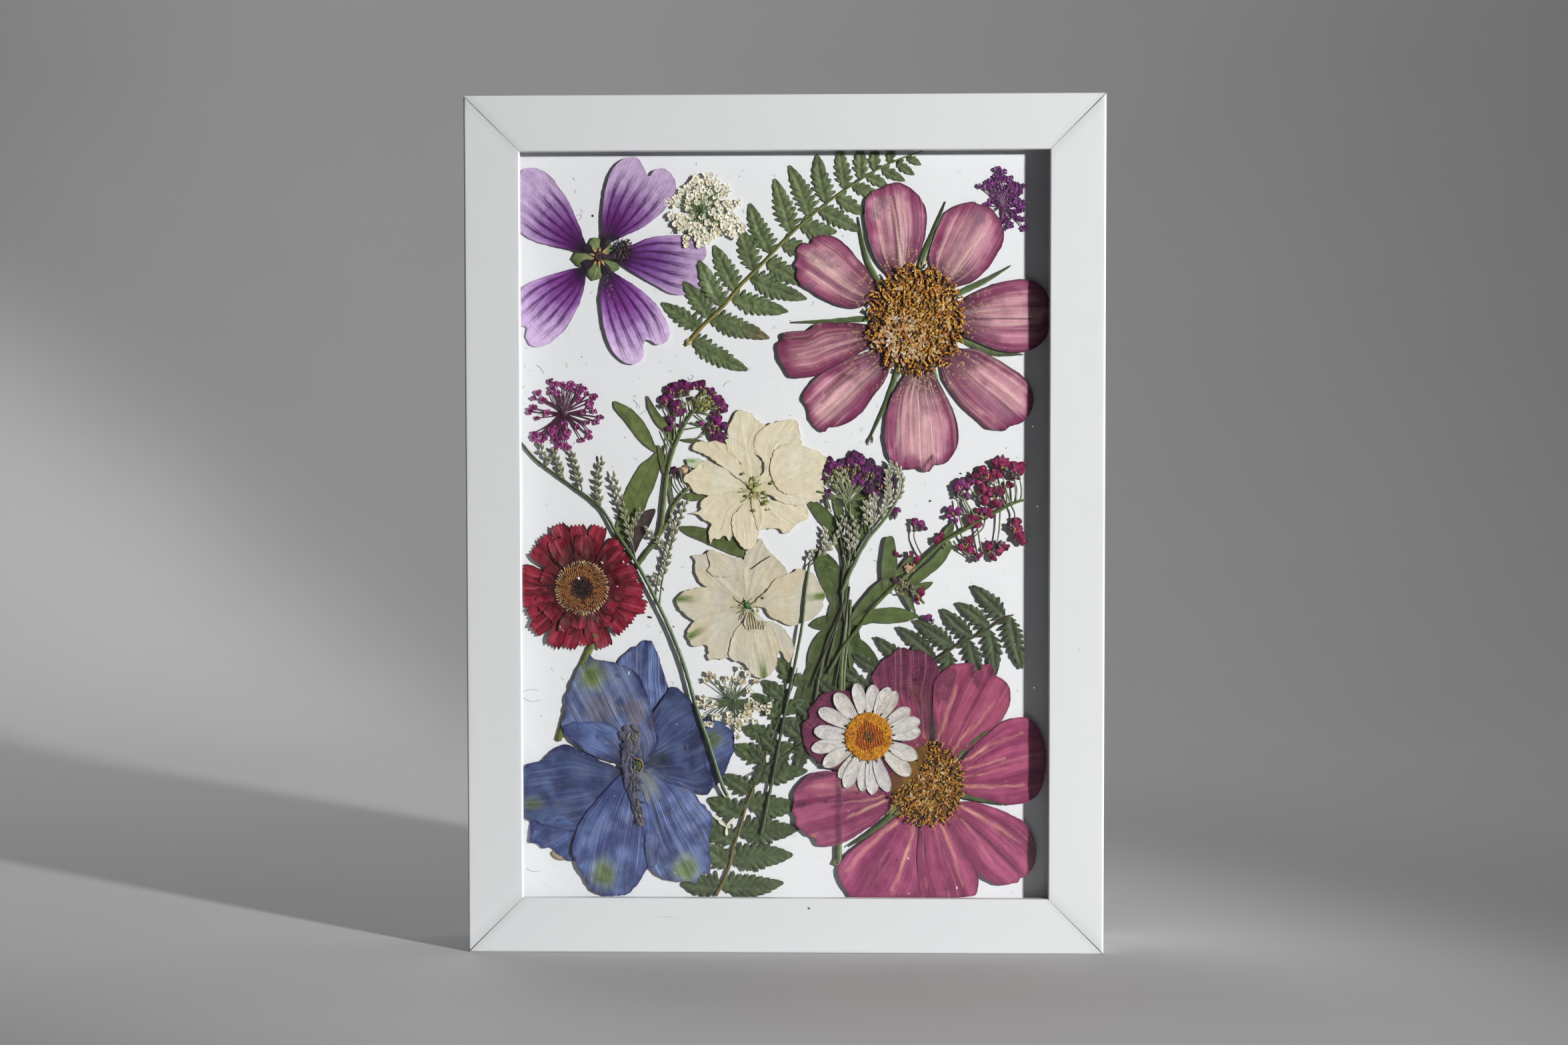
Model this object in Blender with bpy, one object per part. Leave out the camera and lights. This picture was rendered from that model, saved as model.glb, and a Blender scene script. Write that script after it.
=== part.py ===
# Pressed flower frame: a small white picture frame, glazed, with pressed flowers
# laid between the glass and a white card, and a board held in from behind.
# Metres, +Z up. The frame stands on its bottom rail and faces -Y.
import math

import bmesh
import bpy
from mathutils import Vector
from mathutils.geometry import delaunay_2d_cdt

MM = 0.001

# ---- driving dimensions, in millimetres ----
OUTER_W = 145.0          # across the frame
OUTER_H = 195.0          # height of the frame
RAIL = 12.6              # face width of a rail
DEPTH = 20.0             # front to back of a rail
LIP = 1.8                # thickness of the lip in front of the glass
REBATE = 5.6             # how far the rebate is cut under the face
MITRE_IN = 0.03          # half gap of a mitre at the opening
MITRE_OUT = 0.15         # half gap of a mitre at the outer corner
ROUND_OUT = 0.55         # rounding of the outer front edge
ROUND_IN = 0.35          # rounding of the edge round the opening
CHAMFER = 0.4            # chamfer of the back edges
SHEET_W = 130.4          # width of glass, card and board
SHEET_H = 180.4          # height of glass, card and board
GLASS_T = 1.2
GLASS_Y = LIP + 0.05     # front face of the glass behind the frame's front
CARD_Y = 4.65            # front face of the card
CARD_T = 0.35
BOARD_Y = CARD_Y + CARD_T + 0.05
BOARD_T = 3.0
TAB_T = 0.35             # steel retainer tabs
TAB_W = 8.0
TAB_L = 14.0
TAB_SUNK = 4.5           # length of a tab inside its rail
SLOT = 0.07              # clearance round a tab in its slot
HANGER_W = 40.0
HANGER_H = 5.6
HANGER_T = 0.8
NAIL_R = 0.7
NAIL_HEAD_R = 1.5
NAIL_HEAD_T = 0.45

# Pressed pieces lie in thin layers on the card. Layer 0 touches the card.
LAYER = 0.195            # pitch of the layers
THIN = 0.15              # thickness of one pressed piece
CLEAR = 0.04             # gap between the card and layer 0

# The frame is centred front to back on what sticks out furthest behind it.
FULL_DEPTH = DEPTH + HANGER_T + NAIL_HEAD_T + 0.06
FRONT = -FULL_DEPTH / 2

# The flowers are laid out on a drawing: its units run right and down, and it is
# seen in perspective from EYE, a point in front of the frame (frame centre at
# x = 0, bottom at z = 0, front face at y = 0, millimetres).
EYE = Vector((11.461, -493.19, 115.40))
FOCAL = 50.0 / 36.0 * 2352.0
TILT, TURN, ROLL = 0.0344, 0.0234, -0.0005


def ray_axes():
    """The drawing's right, down and forward directions."""
    ca, sa = math.cos(TILT), math.sin(TILT)
    cb, sb = math.cos(TURN), math.sin(TURN)
    cc, sc = math.cos(ROLL), math.sin(ROLL)
    rx = ((1, 0, 0), (0, ca, -sa), (0, sa, ca))
    ry = ((cb, 0, sb), (0, 1, 0), (-sb, 0, cb))
    rz = ((cc, -sc, 0), (sc, cc, 0), (0, 0, 1))

    def times(a, b):
        return [
            [sum(a[i][k] * b[k][j] for k in range(3)) for j in range(3)]
            for i in range(3)
        ]

    turned = times(times(rz, ry), rx)
    base = ((1, 0, 0), (0, 0, -1), (0, 1, 0))
    return [Vector(row) for row in times(turned, base)]


RIGHT, DOWN, AHEAD = ray_axes()


def on_card(u, v):
    """A drawing point on the card: (x, z) in millimetres."""
    ray = RIGHT * ((u - 1176.0) / FOCAL) + DOWN * ((v - 784.0) / FOCAL) + AHEAD
    hit = EYE + ray * ((CARD_Y - EYE.y) / ray.y)
    return hit.x, hit.z


# ---- clear the scene ----
for old in list(bpy.data.objects):
    bpy.data.objects.remove(old, do_unlink=True)


def material(name, colour, roughness=0.6, metallic=0.0, transmission=0.0):
    made = bpy.data.materials.new(name)
    made.use_nodes = True
    shader = made.node_tree.nodes["Principled BSDF"]
    shader.inputs["Base Color"].default_value = (*colour, 1.0)
    shader.inputs["Roughness"].default_value = roughness
    shader.inputs["Metallic"].default_value = metallic
    shader.inputs["Transmission Weight"].default_value = transmission
    made.diffuse_color = (*colour, 1.0)
    return made


def object_of(name, mesh, finish):
    obj = bpy.data.objects.new(name, mesh)
    obj.data.materials.append(finish)
    bpy.context.collection.objects.link(obj)
    return obj


def mesh_of(name, points, faces, scale=MM):
    mesh = bpy.data.meshes.new(name)
    mesh.from_pydata([[c * scale for c in p] for p in points], [], faces)
    work = bmesh.new()
    work.from_mesh(mesh)
    bmesh.ops.recalc_face_normals(work, faces=work.faces)
    work.to_mesh(mesh)
    work.free()
    return mesh


# ---------------------------------------------------------------- the frame
def rail_profile():
    """(y, t) round one rail: y from the front face back, t from the outer side in."""
    inner = RAIL - REBATE
    outline = []
    for i in range(4):  # rounded outer front edge
        a = math.pi / 2 * i / 3
        outline.append(
            (ROUND_OUT - ROUND_OUT * math.sin(a), ROUND_OUT - ROUND_OUT * math.cos(a))
        )
    for i in range(3):  # rounded edge at the opening
        a = math.pi / 2 * i / 2
        outline.append(
            (
                ROUND_IN - ROUND_IN * math.cos(a),
                RAIL - ROUND_IN + ROUND_IN * math.sin(a),
            )
        )
    outline += [(LIP, RAIL), (LIP, inner)]
    outline += [(DEPTH - CHAMFER, inner), (DEPTH, inner - CHAMFER)]
    outline += [(DEPTH, CHAMFER), (DEPTH - CHAMFER, 0.0)]
    return outline


def rail(name, length, place, finish):
    """A mitred rail. Its run is along u and place(u, y, t) puts a point in the frame."""
    outline = rail_profile()
    count = len(outline)
    points = []
    for side in (-1, 1):
        for y, t in outline:
            gap = MITRE_OUT + (MITRE_IN - MITRE_OUT) * t / RAIL
            points.append(place(side * (length / 2 - t - gap), y, t))
    faces = [list(range(count))[::-1], list(range(count, 2 * count))]
    faces += [
        [i, (i + 1) % count, count + (i + 1) % count, count + i] for i in range(count)
    ]
    return object_of(name, mesh_of(name, points, faces), finish)


WHITE = material("white_foil", (0.86, 0.87, 0.89), 0.35)
rails = {
    "rail_bottom": rail(
        "rail_bottom", OUTER_W, lambda u, y, t: (u, FRONT + y, t), WHITE
    ),
    "rail_top": rail(
        "rail_top", OUTER_W, lambda u, y, t: (-u, FRONT + y, OUTER_H - t), WHITE
    ),
    "rail_left": rail(
        "rail_left",
        OUTER_H,
        lambda u, y, t: (-OUTER_W / 2 + t, FRONT + y, OUTER_H / 2 - u),
        WHITE,
    ),
    "rail_right": rail(
        "rail_right",
        OUTER_H,
        lambda u, y, t: (OUTER_W / 2 - t, FRONT + y, OUTER_H / 2 + u),
        WHITE,
    ),
}


def block(name, low, high, finish):
    (x0, y0, z0), (x1, y1, z1) = low, high
    points = [(x, y, z) for z in (z0, z1) for y in (y0, y1) for x in (x0, x1)]
    faces = [
        (0, 2, 3, 1),
        (4, 5, 7, 6),
        (0, 1, 5, 4),
        (2, 6, 7, 3),
        (0, 4, 6, 2),
        (1, 3, 7, 5),
    ]
    return object_of(name, mesh_of(name, points, faces), finish)


def sheet(name, front, thick, finish):
    low = (-SHEET_W / 2, FRONT + front, (OUTER_H - SHEET_H) / 2)
    high = (SHEET_W / 2, FRONT + front + thick, (OUTER_H + SHEET_H) / 2)
    return block(name, low, high, finish)


sheet("glass_pane", GLASS_Y, GLASS_T, material("clear_glass", (0.9, 0.95, 0.93), 0.02, 0, 1))
sheet("backing_card", CARD_Y, CARD_T, material("white_card", (0.84, 0.84, 0.86), 0.7))
sheet("back_board", BOARD_Y, BOARD_T, material("brown_board", (0.38, 0.27, 0.17), 0.8))

# Steel tabs pressed into slots in the rails, lying over the back of the board.
STEEL = material("tab_steel", (0.55, 0.56, 0.58), 0.35, 1.0)
TAB_Y = BOARD_Y + BOARD_T + 0.08
inner_x = OUTER_W / 2 - (RAIL - REBATE)
inner_z = OUTER_H - (RAIL - REBATE)
TABS = [
    ("rail_left", (-inner_x, OUTER_H * 0.28), (1, 0)),
    ("rail_left", (-inner_x, OUTER_H * 0.72), (1, 0)),
    ("rail_right", (inner_x, OUTER_H * 0.28), (-1, 0)),
    ("rail_right", (inner_x, OUTER_H * 0.72), (-1, 0)),
    ("rail_top", (0.0, inner_z), (0, -1)),
    ("rail_bottom", (0.0, RAIL - REBATE), (0, 1)),
]


def tab_outline(grow):
    """Arrow-headed tab: buried end at the left, free end rounded at the right."""
    half = TAB_W / 2 + grow
    free = TAB_L - TAB_SUNK
    outline = [(-TAB_SUNK - grow, -half * 0.6), (-TAB_SUNK * 0.5, -half)]
    for i in range(5):
        a = -math.pi / 2 + math.pi * i / 4
        outline.append((free - half + half * math.cos(a), half * math.sin(a)))
    return outline + [(-TAB_SUNK * 0.5, half), (-TAB_SUNK - grow, half * 0.6)]


def flat_prism(name, outline, y0, y1, finish):
    """A prism from an (x, z) outline in millimetres, between two depths."""
    count = len(outline)
    points = [(x, y0, z) for x, z in outline] + [(x, y1, z) for x, z in outline]
    faces = [list(range(count)), list(range(count, 2 * count))[::-1]]
    faces += [
        [i, count + i, count + (i + 1) % count, (i + 1) % count] for i in range(count)
    ]
    return object_of(name, mesh_of(name, points, faces), finish)


for number, (holder, (x, z), (dx, dz)) in enumerate(TABS, 1):

    def put(outline):
        return [(x + a * dx - b * dz, z + a * dz + b * dx) for a, b in outline]

    y0 = FRONT + TAB_Y
    flat_prism(f"retainer_tab_{number}", put(tab_outline(0.0)), y0, y0 + TAB_T, STEEL)
    cutter = flat_prism(
        f"slot_cutter_{number}", put(tab_outline(SLOT)), y0 - SLOT, y0 + TAB_T + SLOT, STEEL
    )
    cutter.hide_render = True
    cutter.display_type = "WIRE"
    cut = rails[holder].modifiers.new(f"slot_{number}", "BOOLEAN")
    cut.operation = "DIFFERENCE"
    cut.object = cutter

# Sawtooth hanger on the back of the top rail, held by two small nails.
hanger_y = FRONT + DEPTH + 0.06
hanger_top = OUTER_H - 0.7
hanger_low = hanger_top - HANGER_H
outline = [(-HANGER_W / 2, hanger_low + 1.0), (-HANGER_W / 2, hanger_top - 1.0)]
outline += [(-HANGER_W / 2 + 1.0, hanger_top), (HANGER_W / 2 - 1.0, hanger_top)]
outline += [(HANGER_W / 2, hanger_top - 1.0), (HANGER_W / 2, hanger_low + 1.0)]
outline += [(HANGER_W / 2 - 1.0, hanger_low), (HANGER_W / 2 - 8.0, hanger_low)]
TEETH = 9
tooth = (HANGER_W - 16.0) / TEETH
for i in range(TEETH):
    right = HANGER_W / 2 - 8.0 - i * tooth
    outline.append((right - tooth / 2, hanger_low + 1.5))
    outline.append((right - tooth, hanger_low))
outline.append((-HANGER_W / 2 + 1.0, hanger_low))
hanger = flat_prism("sawtooth_hanger", outline, hanger_y, hanger_y + HANGER_T, STEEL)


def turned(name, profile, x, z, finish, sides=12):
    """A turned solid along Y from (y, r) pairs that start and end on the axis."""
    points, faces = [], []
    rings = []
    for y, r in profile:
        if r == 0:
            rings.append([len(points)])
            points.append((x, y, z))
        else:
            ring = []
            for i in range(sides):
                a = 2 * math.pi * i / sides
                ring.append(len(points))
                points.append((x + r * math.cos(a), y, z + r * math.sin(a)))
            rings.append(ring)
    for low, high in zip(rings, rings[1:]):
        for i in range(sides):
            j = (i + 1) % sides
            if len(low) == 1:
                faces.append((low[0], high[i], high[j]))
            elif len(high) == 1:
                faces.append((low[j], low[i], high[0]))
            else:
                faces.append((low[i], low[j], high[j], high[i]))
    made = object_of(name, mesh_of(name, points, faces), finish)
    made.data.shade_smooth()
    made.data.set_sharp_from_angle(angle=math.radians(30))
    return made


NAIL_LENGTH = 9.0
for word, side in (("left", -1), ("right", 1)):
    x, z = side * (HANGER_W / 2 - 3.6), hanger_top - HANGER_H / 2
    head = hanger_y + HANGER_T + 0.05
    turned(
        f"hanger_nail_{word}",
        [
            (head + NAIL_HEAD_T - 0.05, 0),
            (head + NAIL_HEAD_T - 0.05, NAIL_HEAD_R * 0.7),
            (head + NAIL_HEAD_T * 0.4, NAIL_HEAD_R),
            (head, NAIL_HEAD_R),
            (head, NAIL_R),
            (head - NAIL_LENGTH + 1.2, NAIL_R),
            (head - NAIL_LENGTH, 0),
        ],
        x,
        z,
        STEEL,
    )
    for target, word2 in ((hanger, "plate"), (rails["rail_top"], "rail")):
        bore = turned(
            f"nail_bore_{word2}_{word}",
            [
                (head + 2.0, 0),
                (head + 2.0, NAIL_R + SLOT),
                (head - NAIL_LENGTH - 0.3, NAIL_R + SLOT),
                (head - NAIL_LENGTH - 0.8, 0),
            ],
            x,
            z,
            STEEL,
        )
        bore.hide_render = True
        bore.display_type = "WIRE"
        cut = target.modifiers.new(f"nail_{word}", "BOOLEAN")
        cut.operation = "DIFFERENCE"
        cut.object = bore


# ------------------------------------------------------- the pressed pieces
def card_depth(level, thick=1):
    """(front, back) depth of a piece that fills `thick` layers from `level` up."""
    back = CARD_Y - CLEAR - LAYER * level
    front = CARD_Y - CLEAR - LAYER * (level + thick - 1) - THIN
    return FRONT + front, FRONT + back


def area(loop):
    return sum(
        a[0] * b[1] - b[0] * a[1] for a, b in zip(loop, loop[1:] + loop[:1])
    ) / 2


def covering(polygons):
    """Points and triangles that cover every polygon once."""
    verts, faces = [], []
    for polygon in polygons:
        loop = [Vector((float(u), float(v))) for u, v in polygon]
        if area(loop) < 0:
            loop.reverse()
        faces.append(list(range(len(verts), len(verts) + len(loop))))
        verts += loop
    points, _, triangles, _, _, owners = delaunay_2d_cdt(verts, [], faces, 1, 0.02)
    return points, triangles, owners


def rim_of(triangles):
    """The edges that only one triangle has, as start to end."""
    rim = {}
    for a, b, c in triangles:
        for i, j in ((a, b), (b, c), (c, a)):
            if (j, i) in rim:
                del rim[(j, i)]
            else:
                rim[(i, j)] = True
    return list(rim)


def straightened(loop, slack):
    """A closed loop without the points that lie within `slack` of its straight runs."""

    def keep(first, last):
        a, b = loop[first], loop[last % len(loop)]
        run = b - a
        far, where = 0.0, None
        for i in range(first + 1, last):
            away = loop[i % len(loop)] - a
            if run.length > 1e-9:
                off = abs(run.x * away.y - run.y * away.x) / run.length
                if away.dot(run) < 0 or away.dot(run) > run.length_squared:
                    off = min(away.length, (loop[i % len(loop)] - b).length)
            else:
                off = away.length
            if off > far:
                far, where = off, i
        if where is None or far < slack:
            return []
        return keep(first, where) + [where] + keep(where, last)

    start = max(range(len(loop)), key=lambda i: (loop[i].x, loop[i].y))
    loop = loop[start:] + loop[:start]
    half = max(range(len(loop)), key=lambda i: (loop[i] - loop[0]).length)
    kept = [0] + keep(0, half) + [half] + keep(half, len(loop))
    return [loop[i] for i in kept]


SMALLEST_HOLE = 60.0  # openings smaller than this (drawing units squared) are closed


def joined(polygons, slack=1.3):
    """The polygons as one shape: (points, triangles) in drawing units."""
    polygons = [list(polygon) for polygon in polygons]
    for _ in range(5):
        points, triangles, _ = covering(polygons)
        rim = rim_of(triangles)
        leaving = [i for i, _ in rim]
        pinched = sorted({i for i in leaving if leaving.count(i) > 1})
        if not pinched:
            break
        for i in pinched:  # shapes that only touch at a point are joined there
            polygons.append(disc(points[i].x, points[i].y, 1.6, sides=6))
    after = dict(rim)
    loops = []
    while after:
        start, at = after.popitem()
        loop = [points[start]]
        while at != start:
            loop.append(points[at])
            at = after.pop(at)
        loops.append(loop)
    outside = [straightened(loop, slack) for loop in loops if area(loop) > 0]
    holes = [
        straightened(loop, slack) for loop in loops if -area(loop) > SMALLEST_HOLE
    ]
    points, triangles, owners = covering(outside + holes)
    inside = [
        triangle
        for triangle, owner in zip(triangles, owners)
        if all(i < len(outside) for i in owner)
    ]
    return points, inside


def pressed(name, layers, colour, roughness=0.75, slack=1.3):
    """One pressed piece. layers holds (polygons, level, thick); their solids are joined."""
    finish = material(name, colour, roughness)
    made = []
    for number, (polygons, level, thick) in enumerate(layers):
        points, triangles = joined(polygons, slack)
        y0, y1 = card_depth(level, thick)
        y1 -= 0.02 * number  # so that no two backs lie in one plane
        used = sorted({i for triangle in triangles for i in triangle})
        index = {old: new for new, old in enumerate(used)}
        flat = [on_card(points[i].x, points[i].y) for i in used]
        count = len(flat)
        solid = [(x, y0, z) for x, z in flat] + [(x, y1, z) for x, z in flat]
        triangles = [tuple(index[i] for i in triangle) for triangle in triangles]
        faces = list(triangles)
        faces += [(count + c, count + b, count + a) for a, b, c in triangles]
        faces += [(j, i, count + i, count + j) for i, j in rim_of(triangles)]
        title = name if number == 0 else f"{name}_part_{number}"
        made.append(object_of(title, mesh_of(title, solid, faces), finish))
    for extra in made[1:]:
        extra.hide_render = True
        extra.display_type = "WIRE"
        join = made[0].modifiers.new(extra.name, "BOOLEAN")
        join.operation = "UNION"
        join.object = extra
    return made[0]


def disc(u, v, ru, rv=None, sides=10, turn=0.0):
    rv = ru if rv is None else rv
    return [
        (
            u + ru * math.cos(turn + 2 * math.pi * i / sides),
            v + rv * math.sin(turn + 2 * math.pi * i / sides),
        )
        for i in range(sides)
    ]


def stem(points, w0, w1=None):
    """A stem as overlapping four-sided lengths, w0 wide at its start and w1 at its end."""
    w1 = w0 if w1 is None else w1
    out = []
    last = len(points) - 1
    for i in range(last):
        (u0, v0), (u1, v1) = points[i], points[i + 1]
        run = math.hypot(u1 - u0, v1 - v0)
        du, dv = (u1 - u0) / run, (v1 - v0) / run
        a = (w0 + (w1 - w0) * i / last) / 2
        b = (w0 + (w1 - w0) * (i + 1) / last) / 2
        back = a * 0.35 if i else 0.0
        on = b * 0.35 if i < last - 1 else 0.0
        u0, v0, u1, v1 = u0 - du * back, v0 - dv * back, u1 + du * on, v1 + dv * on
        out.append(
            [
                (u0 - dv * a, v0 + du * a),
                (u1 - dv * b, v1 + du * b),
                (u1 + dv * b, v1 - du * b),
                (u0 + dv * a, v0 - du * a),
            ]
        )
    return out


def blade(base, tip, width, widest=0.5, neck=0.15, steps=4, bow=0.0):
    """A leaf or ray from base to tip, bowed sideways by bow times its length."""
    du, dv = tip[0] - base[0], tip[1] - base[1]
    run = math.hypot(du, dv)
    nu, nv = -dv / run, du / run
    left, right = [], []
    for i in range(steps + 1):
        t = i / steps
        if t < widest:
            half = neck + (1 - neck) * math.sin(math.pi / 2 * t / widest)
        else:
            half = math.cos(math.pi / 2 * (t - widest) / (1 - widest)) ** 0.75
        half *= width / 2
        off = bow * run * math.sin(math.pi * t)
        u, v = base[0] + du * t + nu * off, base[1] + dv * t + nv * off
        if i == steps:
            left.append((u, v))
        else:
            left.append((u + nu * half, v + nv * half))
            right.append((u - nu * half, v - nv * half))
    return left + right[::-1]


def pinna(base, tip, width, lobes=3, widest=0.3):
    """A fern leaflet with lobed sides that narrows to its tip."""
    du, dv = tip[0] - base[0], tip[1] - base[1]
    run = math.hypot(du, dv)
    eu, ev = du / run, dv / run
    nu, nv = -ev, eu
    side = []
    for i in range(lobes):
        for t, reach in ((i + 0.1, 0.5), (i + 0.62, 1.0)):
            s = t / lobes
            taper = 1 - max(0.0, (s - widest) / (1 - widest)) ** 1.3 * 0.85
            half = width / 2 * reach * taper
            lean = 0.22 * half
            side.append((s * run + lean, half))
    left = [(base[0] + eu * s + nu * h, base[1] + ev * s + nv * h) for s, h in side]
    right = [(base[0] + eu * s - nu * h, base[1] + ev * s - nv * h) for s, h in side]
    return left + [tuple(tip)] + right[::-1]


def fern(rachis, width, pairs):
    """A frond: its midrib and the leaflets, each given as (base, tip, width)."""
    shapes = stem(rachis, width, width * 0.4)
    for base, tip, wide in pairs:
        near = min(
            (
                (
                    a[0] + (b[0] - a[0]) * k / 8,
                    a[1] + (b[1] - a[1]) * k / 8,
                )
                for a, b in zip(rachis, rachis[1:])
                for k in range(9)
            ),
            key=lambda p: math.hypot(p[0] - base[0], p[1] - base[1]),
        )
        on = (base[0] + (tip[0] - base[0]) * 0.25, base[1] + (tip[1] - base[1]) * 0.25)
        shapes += stem([near, on], 3.5)
        shapes.append(pinna(base, tip, wide, 2 if wide >= 18 else 1))
    return shapes


def flower_head(centre, hub, tips, ray, blob, sides=6):
    """A flat flower head: spokes from a hub to small round clusters."""
    shapes = [disc(*centre, hub, sides=10)]
    for i, tip in enumerate(tips):
        size = blob * (0.85 + 0.3 * ((i * 7) % 5) / 4)
        shapes += stem([centre, tip], ray)
        shapes.append(disc(*tip, size, sides=sides, turn=i * 0.7))
    return shapes


# Mallow flower, five wide petals that are notched at their ends, and a green calyx.
MALLOW = [
    [(878, 360), (868, 340), (860, 320), (850, 300), (840, 284), (828, 268), (815, 257),
     (800, 252), (785, 255), (775, 275), (772, 310), (775, 340), (785, 352), (800, 360),
     (820, 366), (840, 370), (860, 374), (872, 377), (880, 368)],
    [(900, 350), (901, 325), (905, 300), (908, 280), (915, 260), (925, 247), (935, 239),
     (945, 235), (958, 237), (965, 255), (973, 266), (980, 256), (992, 254), (1003, 257),
     (1010, 265), (1015, 275), (1012, 290), (1005, 302), (995, 315), (980, 328),
     (960, 342), (945, 350), (930, 357), (916, 364), (905, 366)],
    [(940, 372), (955, 365), (970, 358), (985, 355), (1005, 353), (1025, 353), (1040, 356),
     (1050, 362), (1058, 370), (1060, 380), (1056, 390), (1042, 398), (1045, 405),
     (1052, 415), (1056, 430), (1050, 437), (1035, 441), (1020, 443), (1005, 440),
     (990, 432), (970, 420), (950, 408), (935, 398), (918, 390), (918, 380)],
    [(903, 420), (901, 455), (903, 475), (907, 495), (913, 512), (920, 528), (930, 540),
     (940, 546), (953, 547), (962, 540), (966, 530), (965, 520), (968, 510), (978, 512),
     (985, 517), (995, 517), (1003, 508), (1005, 497), (1000, 482), (990, 465), (980, 452),
     (965, 438), (950, 427), (935, 418), (920, 410), (908, 402)],
    [(865, 402), (845, 407), (825, 413), (805, 420), (788, 428), (775, 440), (772, 470),
     (778, 490), (790, 500), (789, 507), (795, 517), (805, 521), (820, 518), (835, 508),
     (848, 495), (860, 475), (870, 455), (877, 435), (883, 415), (884, 402)],
]
for number, outline in enumerate(MALLOW, 1):
    level = 1 if number in (2, 3, 4) else 0
    pressed(f"mallow_petal_{number}", [([outline], level, 1)], (0.42, 0.25, 0.60))
calyx = [disc(892, 386, 19, sides=12)]
calyx += [
    blade((892, 386), tip, 26, 0.35, 0.6)
    for tip in ((882, 354), (924, 362), (932, 404), (889, 424), (856, 390))
]
pressed("mallow_calyx", [(calyx, 2, 3)], (0.16, 0.22, 0.08))

# Large cosmos flower, upper right: eight petals in two heights, bracts and disc.
COSMOS_UPPER = [
    [(1334, 414), (1321, 399), (1310, 380), (1302, 353), (1297, 321), (1300, 297),
     (1310, 287), (1325, 281), (1337, 275), (1349, 274), (1363, 281), (1378, 294),
     (1389, 315), (1390, 336), (1386, 362), (1378, 386), (1369, 404), (1366, 440),
     (1348, 440)],
    [(1397, 401), (1393, 392), (1396, 371), (1405, 345), (1417, 321), (1437, 308),
     (1458, 303), (1467, 306), (1484, 311), (1498, 327), (1505, 345), (1505, 362),
     (1493, 386), (1479, 406), (1458, 424), (1434, 432), (1410, 450), (1394, 436)],
    [(1442, 455), (1458, 442), (1479, 432), (1499, 424), (1520, 420), (1536, 419),
     (1560, 428), (1574, 450), (1576, 480), (1568, 508), (1552, 522), (1536, 528),
     (1514, 529), (1493, 525), (1473, 516), (1451, 508), (1420, 492), (1420, 470)],
    [(1439, 522), (1464, 523), (1490, 536), (1514, 550), (1535, 566), (1549, 590),
     (1546, 618), (1533, 634), (1514, 640), (1496, 646), (1479, 642), (1467, 631),
     (1443, 610), (1425, 586), (1414, 566), (1409, 545), (1398, 516), (1414, 506)],
    [(1363, 554), (1352, 572), (1337, 595), (1331, 616), (1327, 642), (1328, 666),
     (1334, 687), (1349, 702), (1366, 704), (1378, 703), (1390, 708), (1399, 704),
     (1402, 699), (1417, 696), (1428, 684), (1437, 666), (1437, 642), (1431, 619),
     (1420, 595), (1408, 572), (1396, 554), (1386, 522), (1366, 522)],
    [(1337, 536), (1334, 557), (1325, 575), (1310, 595), (1296, 616), (1278, 631),
     (1257, 640), (1237, 648), (1223, 641), (1215, 631), (1210, 610), (1204, 598),
     (1210, 583), (1225, 566), (1245, 552), (1272, 538), (1290, 532), (1310, 524),
     (1334, 504), (1348, 516)],
    [(1307, 488), (1290, 485), (1257, 485), (1228, 485), (1213, 495), (1189, 497),
     (1175, 502), (1169, 513), (1166, 526), (1170, 541), (1178, 555), (1186, 566),
     (1204, 567), (1228, 563), (1245, 554), (1269, 541), (1290, 530), (1310, 517),
     (1334, 498), (1330, 484)],
    [(1307, 454), (1287, 463), (1263, 460), (1240, 451), (1219, 439), (1201, 427),
     (1194, 412), (1192, 398), (1197, 386), (1194, 376), (1204, 365), (1216, 365),
     (1222, 356), (1240, 353), (1257, 358), (1275, 374), (1287, 389), (1302, 406),
     (1316, 427), (1330, 444), (1340, 462), (1328, 466)],
]
for number, outline in enumerate(COSMOS_UPPER, 1):
    pressed(
        f"cosmos_upper_petal_{number}", [([outline], 3 if number % 2 else 2, 1)],
        (0.50, 0.28, 0.38),
    )
UPPER_BRACTS = [
    [(1352, 462), (1320, 425), (1305, 400), (1293, 360), (1287, 326)],
    [(1372, 462), (1381, 397), (1400, 350), (1418, 303)],
    [(1392, 466), (1435, 442), (1480, 420), (1516, 399)],
    [(1352, 476), (1298, 478), (1250, 482), (1187, 484)],
    [(1362, 496), (1348, 550), (1335, 590), (1302, 664)],
    [(1392, 486), (1443, 510), (1490, 530), (1534, 532)],
    [(1380, 500), (1398, 552), (1415, 596)],
]
bracts = [disc(1373, 480, 34, sides=12)]
for run in UPPER_BRACTS:
    bracts += stem(run, 11, 4)
pressed("cosmos_upper_bracts", [(bracts, 1, 1)], (0.16, 0.24, 0.09))
pressed(
    "cosmos_upper_disc", [([disc(1375, 480, 72, 82, 26)], 4, 4)], (0.60, 0.38, 0.06)
)

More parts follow.
